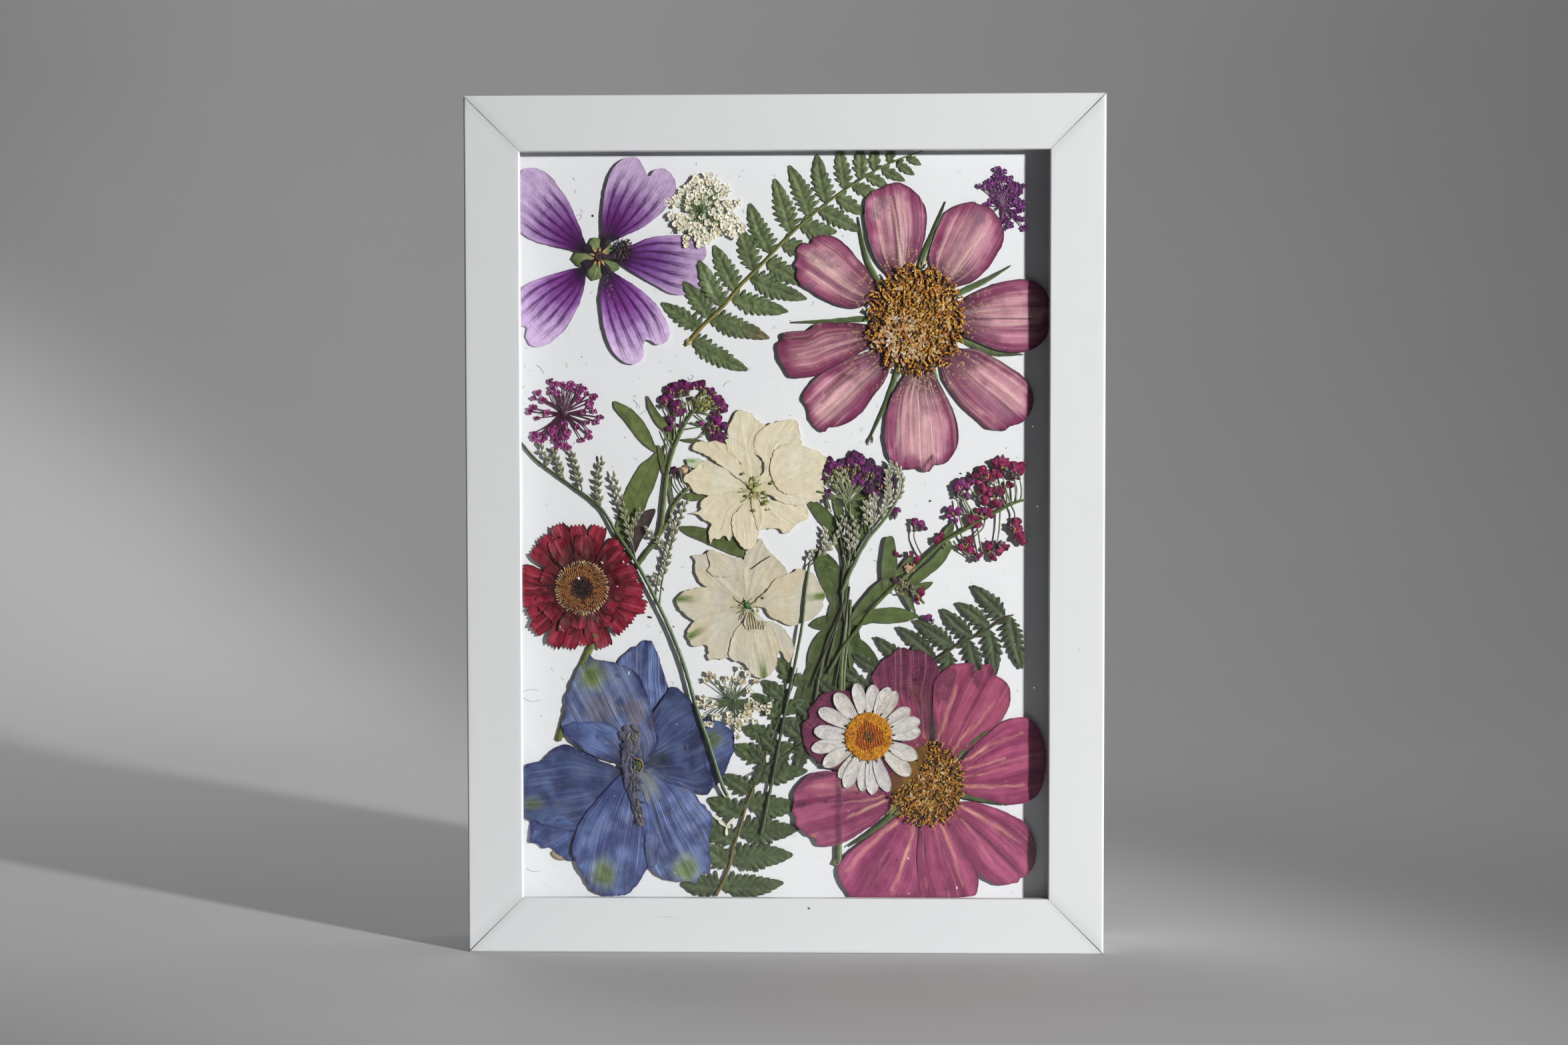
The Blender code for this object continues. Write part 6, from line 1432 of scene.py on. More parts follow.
def lower_paint(number):
    zones = [np.asarray(z, float) for n, z in SHOWN if n == number]

    def shown(p):
        out = np.zeros(len(p))
        for zone in zones:
            inside = within(p, zone)
            away = edge_distance(p, zone)
            out = np.maximum(out, np.where(inside, ease(0.0, 5.0, away), 0))
        return out

    def paint(p, s, c, d):
        wander = layered(p[:, 0] / 16.0, p[:, 1] / 16.0, 400 + number, 3)
        band = noise(c * 4.5 + number * 2.1, s * 1.1, 410 + number) + 0.5 * noise(c * 12.0 + number, s * 1.5, 420 + number)
        tone = blend(shade(0.60, 0.22, 0.42), shade(0.75, 0.37, 0.54), ease(-0.8, 0.9, band + 0.35 * wander))
        tone = blend(tone, shade(0.50, 0.16, 0.33), 0.55 * (1 - ease(0.30, 0.55, s)) * ease(-0.6, 0.4, band))
        tone = blend(tone, shade(0.48, 0.17, 0.33), 0.55 * (1 - ease(0.5, 4.5, d)))
        for path, width, share in LOWER_STREAKS[number - 1]:
            hit = near(p + 1.6 * layered(p[:, 0] / 13.0, p[:, 1] / 13.0, 435 + number, 2)[:, None], path, width * 0.95, 0.95)
            hit = hit * (0.35 + 0.65 * ease(-0.7, 0.5, noise(s * 7, c * 16, 430 + number))) * (0.55 + 0.45 * ease(0.9, 0.35, s))
            tone = blend(tone, shade(0.88, 0.67, 0.60), np.clip(1.0 * share * hit, 0, 1))
            tone = blend(tone, shade(0.62, 0.38, 0.26), 0.3 * share * near(p, path, 1.5, 0.9) * ease(0.0, 0.6, noise(s * 9, c * 3, 440 + number)))
        dark = shown(p)
        tone = blend(tone, shade(0.44, 0.18, 0.36), 0.60 * dark * (0.8 + 0.3 * wander))
        if number == 1:
            tone = blend(tone, shade(0.30, 0.20, 0.15), within_blot(p, 1372, 1020, 3.2, 2.4, 3))
            tone = blend(tone, shade(0.62, 0.40, 0.38), 0.55 * within_blot(p, 1376, 1052, 13, 22, 4, 6) * ease(0.2, 0.9, 0.5 + wander))
        if number == 7:
            tone = blend(tone, shade(0.72, 0.50, 0.54), 0.5 * within_blot(p, 1285, 1182, 30, 10, 5, 7))
            tone = blend(tone, shade(0.27, 0.10, 0.19), 0.6 * near(p, [(1236, 1203), (1268, 1201), (1290, 1198)], 2.0))
            tone = blend(tone, shade(0.78, 0.50, 0.38), 0.6 * within_blot(p, 1222, 1253, 5, 2.5, 9))
        if number == 4:
            tone = blend(tone, shade(0.26, 0.08, 0.15), 0.6 * near(p, [(1436, 1222), (1470, 1250), (1510, 1290), (1530, 1312)], 1.8))
        if number in (5, 6):
            tone = blend(tone, shade(0.34, 0.10, 0.20), 0.5 * near(p, [(1380, 1236), (1384, 1256), (1386, 1276)], 3.2))
        dust = hashed((p[:, 0] * 5).astype(np.int64), (p[:, 1] * 5).astype(np.int64), 87 + number)
        tone = blend(tone, shade(0.70, 0.50, 0.30), (dust > 0.95) * 0.6 * (1 - ease(0.35, 0.5, s)))
        return tone

    def mask(p, s, c, d):
        return marks_of(len(p), 0.42 * (1 - ease(0.5, 1.0, s)) + 0.14, 0.30 * ease(0.25, 0.5, s), np.clip(shown(p) * 1.0 + 0.10, 0, 1))

    return paint, mask


for number, outline in enumerate(COSMOS_LOWER, 1):
    bag = Bag()
    paint, mask = lower_paint(number)
    tall = 6.3 if number % 2 else 6.1 if number == 8 else 5.6

    def height(p, s, c, d, number=number, tall=tall):
        w = tall + 0.0 * s
        for path, width, share in LOWER_STREAKS[number - 1]:
            w = w + 0.15 * share * near(p, path, width, 0.9)
        if number == 7:
            w = w + 0.55 * near(p, [(1258, 1160), (1258, 1266)], 7)
        return w

    hole = [[(1462, 1001), (1467, 1000), (1472, 1003), (1467, 1006), (1462, 1005)]] if number == 2 else ()
    add_petal(
        bag, outline, LOWER_AT, LOWER_TIPS[number - 1], paint, height, 440 + number, gap=2.4, pleat=0.32,
        pleats=6.5, curl=0.7, wave=0.5, mask=mask, uneven=0.6, scale=6.0, holes=hole, cap=below_daisy,
    )
    gain = {
        1: (0.57, 0.48, 0.49), 2: (0.69, 0.66, 0.58), 3: (0.80, 0.80, 0.72), 4: (0.76, 0.71, 0.70), 5: (0.72, 0.61, 0.65), 6: (0.78, 0.71, 0.74),
        7: (0.72, 0.84, 0.72), 8: (0.48, 0.42, 0.45),
    }[number]
    piece(bag, f"cosmos_lower_petal_{number}_pressed", [LOWER_PETAL], f"cosmos_lower_petal_{number}", "cosmos_lower_petal", gain=gain, contrast=1.3)

bag = Bag()
for i, run in enumerate([
    [(1402, 1160), (1440, 1130), (1460, 1112), (1479, 1098), (1486, 1092)],
    [(1404, 1180), (1443, 1193), (1476, 1200), (1508, 1207)],
    [(1376, 1186), (1340, 1222), (1310, 1246), (1272, 1270)],
    [(1388, 1190), (1386, 1222), (1381, 1243)],
]):
    add_bract(bag, run, lift_of(3), 8.0, 330 + i, dark=0.12)
add_bead(bag, (1385, 1180, lift_of(3)), 30, shade(0.30, 0.36, 0.2), squash=0.03, rings=4, sides=20, seed=3)
piece(bag, "cosmos_lower_bracts_pressed", [GREEN_BRACT], "cosmos_lower_bracts", "cosmos_lower_bracts")

bag = Bag()
add_disc(
    bag, LOWER_AT, 56, 61, 6.8, 9.6, 430, 43, size=2.4, dark_rim=0.35, olive=0.5, papery=50, papery_side=(0.0, 0.2), gold=0.9,
    floor=(shade(0.55, 0.43, 0.18), shade(0.42, 0.30, 0.14)), brown_share=0.10, cap=below_daisy,
)
rng = random.Random(47)
for i in range(16):      # dark open florets with straight strokes
    a, r = rng.random() * 2 * math.pi, 0.45 + 0.5 * rng.random()
    u, v = LOWER_AT[0] + 50 * r * math.cos(a), LOWER_AT[1] + 55 * r * math.sin(a)
    if math.dist((u, v), (1303, 1105)) < 96:
        continue
    for k in range(3):
        b = a + rng.gauss(0, 0.25)
        add_bead(bag, (u + 1.9 * (k - 1.5) * -math.sin(b), v + 1.9 * (k - 1.5) * math.cos(b), 9.0), 1.15, shade(0.13, 0.08, 0.06), squash=0.6, rings=4, sides=5, stretch=3.6, angle=b, seed=i * 5 + k)
for i, (u, v, r) in enumerate([(1342, 1212, 7), (1350, 1206, 6), (1336, 1218, 6), (1356, 1214, 5), (1380, 1236, 5), (1346, 1220, 5)]):
    b = rng.random() * 6
    add_patch(bag, (u - r * math.cos(b), v - r * math.sin(b), 8.6), (u + r * math.cos(b), v + r * math.sin(b), 8.9), r * 1.3, shade(0.48, 0.52, 0.32), rows=7, cols=5, thick=0.6, seed=i, wave=0.6, tone_tip=shade(0.66, 0.68, 0.5))
piece(bag, "cosmos_lower_disc_pressed", [FLORET], "cosmos_lower_disc", "cosmos_lower_disc", gain=(0.72, 0.60, 0.48), contrast=1.1, sharp=70.0)

# --------------------------------------------------------------- white daisy
DAISY = (1303.0, 1105.0)
WHITE_RAY = petal_finish(
    "white_daisy_ray", vein=shade(0.55, 0.49, 0.52), lines=2.6, line_width=0.05, fine=(5.0, 16.0, 0.14), mottle=0.10,
    rough=0.6, relief=0.00010, under=0.62, dots=1.0, gloss=0.3,
)
RAYS = [   # tip, width, height, tone shift, how creamy
    ((1284, 1025), 18, 8.7, 0.0, 0.1), ((1310, 1027), 19, 8.3, -0.05, 0.0), ((1334, 1031), 19, 8.8, 0.02, 0.2),
    ((1345, 1037), 18, 8.2, 0.0, 0.5), ((1365, 1063), 19, 8.4, -0.04, 0.3), ((1380, 1081), 20, 8.9, 0.0, 0.1),
    ((1381, 1097), 20, 8.3, 0.03, 0.0), ((1376, 1137), 21, 8.8, -0.02, 0.1), ((1365, 1163), 22, 8.3, 0.0, 0.4),
    ((1333, 1188), 18, 8.8, -0.06, 0.0), ((1309, 1192), 19, 8.4, -0.04, 0.0), ((1293, 1187), 16, 8.2, -0.02, 0.0),
    ((1268, 1182), 19, 8.8, 0.0, 0.0), ((1259, 1167), 17, 8.3, 0.0, 0.4), ((1235, 1149), 20, 8.8, 0.0, 0.3),
    ((1217, 1124), 19, 8.3, 0.0, 0.1), ((1221, 1096), 20, 8.8, -0.02, 0.0), ((1228, 1065), 20, 8.4, -0.04, 0.1),
    ((1253, 1040), 21, 8.9, 0.0, 0.2),
]
bag = Bag()
for i, (tip, wide, w, shift, cream) in enumerate(RAYS):
    e = np.array(tip, float) - DAISY
    e /= np.linalg.norm(e)
    start = np.array(DAISY) + e * 24
    white = blend(shade(0.94, 0.935, 0.93) * (1 + shift), shade(0.94, 0.91, 0.83), cream)

    def spot(s, c, tone, i=i):
        # painted shade: grey patches over each ray, more towards its tip, and greyer sides where the rays meet
        grey = 0.5 + 0.5 * layered(s * 9 + i * 3, c * 3.1, 500 + i, 3)
        tone = blend(tone, shade(0.70, 0.67, 0.69), 0.6 * ease(0.45, 0.95, grey) * (0.4 + 0.6 * s))
        tone = blend(tone, shade(0.60, 0.56, 0.57), 0.45 * ease(0.86, 1.0, np.abs(c)) * (1 - 0.7 * ease(0.5, 1.0, s)))
        return blend(tone, shade(0.50, 0.50, 0.38), 0.6 * (1 - ease(0.02, 0.28, s)))

    add_patch(
        bag, (*start, w - 0.4), (*tip, w), wide * 1.13, white, rows=19, cols=10,
        outline=[(0, 0.40), (0.2, 0.64), (0.45, 0.90), (0.65, 1.0), (0.8, 0.92), (0.9, 0.70), (0.96, 0.44), (1, 0.20)],
        bow=0.02 * math.sin(i * 2.3), cup=0.5, thick=0.5, seed=600 + i, wave=0.5, curl=0.4, teeth=0.25, spot=spot,
        mask=(0.28, 0, 0.55, 1), notch=0.8,
    )
for i in range(19):        # dark green bits in the gaps at the ray bases
    a = 2 * math.pi * (i + 0.5) / 19 + 0.1
    add_bead(bag, (DAISY[0] + 38 * math.cos(a), DAISY[1] + 38 * math.sin(a), 8.2), 1.5, shade(0.20, 0.22, 0.12), squash=0.4, rings=3, sides=5, stretch=2.4, angle=a, seed=i)
rng = random.Random(53)
angle = np.linspace(0, 2 * np.pi, 48, endpoint=False)
edge = np.stack((DAISY[0] + 33 * np.cos(angle), DAISY[1] + 33 * np.sin(angle)), axis=1)
points, tris = fill(edge, 3.0, 5)
r = np.linalg.norm(points - DAISY, axis=1) / 33
add_sheet(bag, points, tris, 8.9 + 0.35 * (1 - r**2), 0.9, blend(shade(0.58, 0.27, 0.04), shade(0.72, 0.46, 0.04), ease(0.55, 0.75, r)), (0.2, 0.2, 0.1), (0, 0, 0, 1), slot=1)
golden = math.pi * (3 - math.sqrt(5))
COUNT = 520
for i in range(COUNT):     # a yellow ring of close florets
    r = math.sqrt((i + 0.5) / COUNT)
    a = -i * golden
    if r < 0.60 + 0.06 * math.sin(3 * a + 1):
        continue
    u, v = DAISY[0] + 35 * r * math.cos(a), DAISY[1] + 35.5 * r * math.sin(a)
    tone = blend(shade(0.90, 0.64, 0.09), shade(0.80, 0.50, 0.05), rng.random())
    if rng.random() < 0.1:
        tone = shade(0.62, 0.34, 0.04)
    z = 9.0 + 0.55 * (1 - r * r) + 0.25 * rng.random()
    # painted shade and highlight: each floret is a darker copy of its colour below and a lighter copy on top
    add_bead(bag, (u, v, z), 1.75 * (0.8 + 0.4 * rng.random()), tone * 0.75, squash=0.36, rings=3, sides=6, stretch=1.35, angle=a + rng.gauss(0, 0.3), seed=i, lumps=0.25, slot=1, lit_top_tone=tone * 1.05)
for k in range(-7, 8):     # upright wavy rows of orange florets inside it
    for j in range(-9, 10):
        u = DAISY[0] + 3.15 * k + 1.1 * math.sin(j * 0.55 + k * 0.9) + rng.gauss(0, 0.25)
        v = DAISY[1] + 2.55 * j + 0.7 * math.sin(k * 1.7) + rng.gauss(0, 0.3)
        r = math.dist((u, v), DAISY) / 35
        if r > 0.66:
            continue
        if r > 0.24:
            tone = blend(shade(0.86, 0.50, 0.07), shade(0.72, 0.34, 0.04), rng.random())
        else:
            tone = blend(shade(0.52, 0.42, 0.14), shade(0.38, 0.28, 0.09), rng.random())
        # painted shade and highlight: darker copy below, lighter copy on top
        add_bead(bag, (u, v, 9.25 + 0.3 * (1 - r) + 0.2 * rng.random()), 1.15 * (0.85 + 0.3 * rng.random()), tone * 0.7, squash=0.5, rings=3, sides=6, stretch=1.5, angle=1.57 + 0.3 * math.sin(j * 0.5 + k), seed=k * 31 + j, lumps=0.25, slot=1, lit_top_tone=tone * 1.1)
for i, run in enumerate([[(1298, 1096), (1301, 1101), (1299, 1106)], [(1304, 1092), (1305, 1098), (1303, 1104), (1303, 1112)], [(1309, 1098), (1311, 1104)], [(1296, 1110), (1297, 1116)]]):
    add_tube(bag, [(u, v, 9.6) for u, v in run], (0.75, 0.45), shade(0.10, 0.07, 0.04), sides=5, flat=0.6, seed=i, slot=1, step=2.0)
piece(bag, "white_daisy_pressed", [WHITE_RAY, FLORET], "white_daisy", "white_daisy", gain=(0.86, 0.83, 0.82), contrast=1.0, sharp=70.0)

# ----------------------------------------------------------------- red daisy
RED = (873.0, 882.0)
CRIMSON = petal_finish(
    "red_daisy_ray", vein=shade(0.24, 0.03, 0.08), lines=2.5, line_width=0.07, fine=(3.0, 14.0, 0.30), mottle=0.18,
    rough=0.5, relief=0.00011, white_specks=0.008, gloss=0.35,
)
OUTER_RAYS = [
    ((836, 786), 25, 4.2), ((866, 786), 25, 4.8), ((901, 788), 25, 4.2), ((931, 811), 26, 4.6), ((941, 830), 24, 4.0),
    ((957, 857), 25, 4.8), ((967, 886), 26, 4.2), ((971, 912), 23, 4.6), ((954, 928), 25, 4.1), ((937, 948), 24, 4.6),
    ((910, 972), 25, 4.2), ((893, 966), 22, 4.0), ((878, 970), 21, 4.5), ((853, 974), 24, 4.2), ((829, 971), 24, 4.7),
    ((800, 948), 25, 4.1), ((793, 925), 24, 4.6), ((783, 902), 24, 4.1), ((781, 880), 25, 4.7), ((782, 856), 25, 4.2),
    ((799, 823), 25, 4.0), ((814, 804), 24, 4.6),
]
INNER_RAYS = [
    ((832, 809), 27, 5.6), ((876, 802), 26, 5.8), ((884, 806), 22, 5.4), ((932, 826), 25, 5.6), ((938, 890), 25, 5.5), ((925, 915), 24, 5.8),
    ((914, 938), 23, 5.5), ((868, 944), 24, 5.7), ((848, 950), 25, 5.9), ((822, 928), 26, 5.5), ((806, 908), 25, 5.7),
    ((812, 862), 24, 5.4), ((896, 946), 20, 5.3),
]
bag = Bag()


def red_spot(i):
    def spot(s, c, tone):
        deep = layered(s * 3 + i * 1.7, c * 4.3 + i, 700 + i, 3)
        tone = blend(tone, shade(0.28, 0.03, 0.08), 0.85 * (1 - ease(0.25, 0.8, s + 0.25 * deep)))
        tone = blend(tone, shade(0.66, 0.22, 0.32), 0.45 * ease(0.5, 1.0, s) * ease(-0.2, 0.7, deep))
        tone = blend(tone, shade(0.74, 0.34, 0.42), 0.5 * np.exp(-(((c - 0.3 * math.sin(i)) / 0.10) ** 2)) * ease(0.3, 0.6, s))
        tone = blend(tone, shade(0.22, 0.02, 0.06), 0.7 * np.exp(-(((c + 0.45 * math.cos(i * 2.0)) / 0.12) ** 2)) * (1 - ease(0.6, 1.0, s)))
        # painted shade: the ray's sides, and a little its tip, are darkened where the rays meet and overlap
        return blend(tone, shade(0.18, 0.015, 0.05), 0.8 * ease(0.78, 1.0, np.abs(c)) + 0.2 * ease(0.93, 1.0, s))
    return spot


for i, (tip, wide, w) in enumerate(OUTER_RAYS + INNER_RAYS):
    inner = i >= len(OUTER_RAYS)
    e = np.array(tip, float) - RED
    e /= np.linalg.norm(e)
    start = np.array(RED) + e * (33 if inner else 30)
    red = shade(0.50, 0.095, 0.185) if not inner else shade(0.44, 0.07, 0.15)
    add_patch(
        bag, (*start, w - 0.3), (*tip, w + 0.2), wide * 1.06, red * (0.8 + 0.35 * ((i * 7) % 5) / 4), rows=19, cols=11,
        outline=[(0, 0.5), (0.25, 0.74), (0.55, 0.94), (0.78, 1.0), (0.93, 0.90), (1, 0.66)],
        bow=0.03 * math.sin(i * 1.9), cup=-0.5 if i % 2 else 0.8, thick=0.5, seed=710 + i, wave=1.0, curl=0.8, teeth=0.4,
        spot=red_spot(i), mask=(0.45, 0, 0, 1), notch=4.2 if not inner else 2.6, twist=0.4 * math.sin(i * 1.3),
    )
# the pressed disc: rows of florets round a dark middle
points, tris = fill(np.stack((RED[0] + 37 * np.cos(angle), RED[1] + 37 * np.sin(angle)), axis=1), 3.0, 6)
r = np.linalg.norm(points - RED, axis=1) / 37
add_sheet(bag, points, tris, 6.0 + 0.8 * np.exp(-(((r - 0.6) / 0.3) ** 2)), 0.9, blend(shade(0.16, 0.08, 0.08), shade(0.30, 0.19, 0.10), ease(0.3, 0.9, r)), (0.2, 0.2, 0.1), (0, 0, 0, 1), slot=1)
COUNT = 460
for i in range(COUNT):
    r = math.sqrt((i + 0.5) / COUNT)
    a = i * golden
    u, v = RED[0] + 38 * r * math.cos(a), RED[1] + 38 * r * math.sin(a)
    if r > 0.92:
        tone = shade(0.72, 0.70, 0.50) if rng.random() < 0.6 else shade(0.52, 0.42, 0.28)
        size, long = 1.7, 1.9
    elif r > 0.45:
        tone = shade(0.78, 0.60, 0.30) if rng.random() < 0.72 else shade(0.64, 0.36, 0.22) if rng.random() < 0.5 else shade(0.55, 0.50, 0.28)
        size, long = 1.7, 1.45
    elif r > 0.3:
        tone = shade(0.46, 0.28, 0.20)
        size, long = 1.4, 1.3
    else:
        tone = shade(0.20, 0.10, 0.10)
        size, long = 1.3, 1.2
    z = 6.5 + 1.1 * math.exp(-(((r - 0.66) / 0.3) ** 2)) + 0.25 * rng.random()
    if r > 0.45 and rng.random() < 0.05:
        tone = shade(0.24, 0.12, 0.09)
    tone = tone * np.array((0.40, 0.385, 0.42))
    # painted shade and highlight: each floret is a darker copy of its colour below and a lighter copy on top
    add_bead(bag, (u, v, z), size * 0.9, tone * 0.6, squash=0.6, rings=4, sides=6, stretch=long, angle=a + 0.35, seed=i, lumps=0.15, slot=1, lit_top_tone=tone * 1.2)
    if r > 0.5 and i % 2 == 0:
        add_bead(bag, (u + 1.1 * math.cos(a), v + 1.1 * math.sin(a), z + 0.8), 0.7, shade(0.33, 0.17, 0.14), squash=0.6, rings=3, sides=5, seed=i, slot=1)
for i in range(58):        # the ragged pale rim
    a = 2 * math.pi * (i + rng.random() * 0.6) / 58
    r0, r1 = 35, 40 + 2.5 * rng.random()
    add_patch(
        bag, (RED[0] + r0 * math.cos(a), RED[1] + r0 * math.sin(a), 6.4), (RED[0] + r1 * math.cos(a + 0.05), RED[1] + r1 * math.sin(a + 0.05), 6.5),
        2.6, shade(0.66, 0.66, 0.46) if i % 3 else shade(0.76, 0.66, 0.42), rows=4, cols=3, thick=0.5, seed=i, slot=1,
    )
add_bead(bag, (868.5, 867.5, 8.5), 1.9, shade(0.9, 0.9, 0.88), squash=0.5, rings=3, sides=6, stretch=1.5, angle=1.2, seed=3, slot=1)
STEM_GREEN = leaf_finish("pressed_stem", rough=0.5, mottle=0.3, relief=0.00012, gloss=0.45, cross=False)
add_tube(
    bag, [(884, 930, 2.6), (890, 944, 2.6), (893, 956, 2.6), (888, 968, 2.6), (880, 985, 2.6), (871, 1006, 2.4), (862, 1030, 2.4), (848, 1075, 2.4), (838, 1110, 2.4)],
    (5.4, 4.6), [shade(0.40, 0.48, 0.24), shade(0.36, 0.44, 0.20), shade(0.38, 0.45, 0.18), shade(0.33, 0.40, 0.16)], sides=10, flat=0.36, seed=70, slot=2,
)
add_tube(bag, [(889, 938, 3.9), (894, 955, 3.9), (884, 978, 3.8), (866, 1022, 3.6)], 0.9, shade(0.27, 0.33, 0.16), sides=5, flat=0.7, seed=71, slot=2)
piece(bag, "red_daisy_pressed", [CRIMSON, FLORET, STEM_GREEN], "red_daisy", "red_daisy", gain=(1.02, 0.76, 0.86), contrast=1.25, sharp=70.0)

# ---------------------------------------------------------------- delphinium
BLUE_AT = (950.0, 1150.0)
BLUE = petal_finish(
    "delphinium_sepal", vein=shade(0.20, 0.20, 0.50), lines=7.5, line_width=0.09, branch=0.2, fine=(2.6, 26.0, 0.34),
    streak=shade(0.58, 0.60, 0.76), streak_size=(1.6, 9.0), streak_level=(0.5, 0.72), mottle=0.16, rough=0.55,
    relief=0.00014, white_specks=0.02, gloss=0.35,
)
# outline, tip, height, how grey, where its green spot is
SEPALS = [
    ([(926, 996), (934, 984), (940, 979), (948, 971), (956, 969), (962, 962), (969, 960), (977, 961), (983, 972), (990, 992), (996, 1008), (1001, 1024),
      (1004, 1040), (1004, 1060), (990, 1110), (960, 1100)], (976, 962), 3.0, 0.0, None),
    ([(1035, 1072), (1070, 1079), (1087, 1087), (1097, 1096), (1102, 1108), (1102, 1122), (1098, 1134), (1092, 1148), (1087, 1163),
      (1079, 1174), (1066, 1184), (1040, 1160), (1026, 1110)], (1100, 1100), 3.0, 0.1, (1070, 1109, 12, 12)),
    ([(797, 1226), (796, 1245), (795, 1264), (806, 1265), (814, 1271), (826, 1272), (838, 1284), (850, 1289), (864, 1292), (872, 1250), (850, 1224), (815, 1220)],
     (795, 1270), 2.6, -0.1, None),
    ([(950, 1168), (900, 1140), (862, 1122), (850, 1116), (840, 1119), (828, 1126), (815, 1140), (800, 1144), (790, 1147),
      (781, 1160), (780, 1190), (781, 1222), (800, 1231), (826, 1240), (848, 1246), (874, 1246), (905, 1220), (940, 1195)], (779, 1180), 3.4, 0.0, (801, 1205, 13, 8)),
    ([(985, 1062), (1000, 1040), (1006, 1030), (1016, 1032), (1026, 1040), (1034, 1048), (1042, 1061), (1048, 1066), (1053, 1090),
      (1056, 1120), (1060, 1150), (1070, 1176), (1062, 1192), (1048, 1190), (1000, 1172), (955, 1150), (966, 1105)], (1060, 1092), 4.2, 0.15, None),
    ([(957, 1148), (1000, 1158), (1040, 1186), (1051, 1203), (1058, 1208), (1061, 1214), (1068, 1221), (1069, 1234), (1064, 1255), (1065, 1276),
      (1067, 1295), (1064, 1310), (1056, 1308), (1048, 1318), (1043, 1326), (1034, 1322), (1022, 1322), (1001, 1319), (985, 1311), (974, 1300), (965, 1280),
      (955, 1210)], (1040, 1320), 4.6, 0.12, (1030, 1302, 15, 17)),
    ([(882, 981), (876, 990), (868, 1003), (860, 1019), (856, 1030), (850, 1045), (847, 1071), (842, 1087), (846, 1098),
      (860, 1112), (884, 1130), (920, 1142), (955, 1150), (985, 1122), (988, 1100), (981, 1078), (975, 1055), (966, 1028), (956, 1011), (943, 1001), (927, 995),
      (905, 990), (893, 988)], (884, 990), 4.8, 0.3, (888, 1014, 18, 17)),
    ([(963, 1170), (972, 1200), (980, 1250), (978, 1290), (966, 1309), (960, 1322), (950, 1334), (938, 1342), (910, 1343), (898, 1341),
      (885, 1331), (876, 1315), (866, 1297), (860, 1280), (861, 1258), (878, 1222), (905, 1190), (940, 1158)], (916, 1345), 5.2, 0.05, (907, 1311, 14, 19)),
    ([(843, 1090), (858, 1084), (880, 1082), (905, 1083), (925, 1090), (934, 1110), (942, 1140), (930, 1144), (900, 1136), (880, 1128), (860, 1113), (848, 1102)],
     (843, 1092), 5.4, 0.0, None),
    ([(968, 1252), (980, 1248), (990, 1256), (988, 1276), (982, 1300), (976, 1304), (971, 1290)], (978, 1306), 5.6, 0.0, None),
]
bag = Bag()
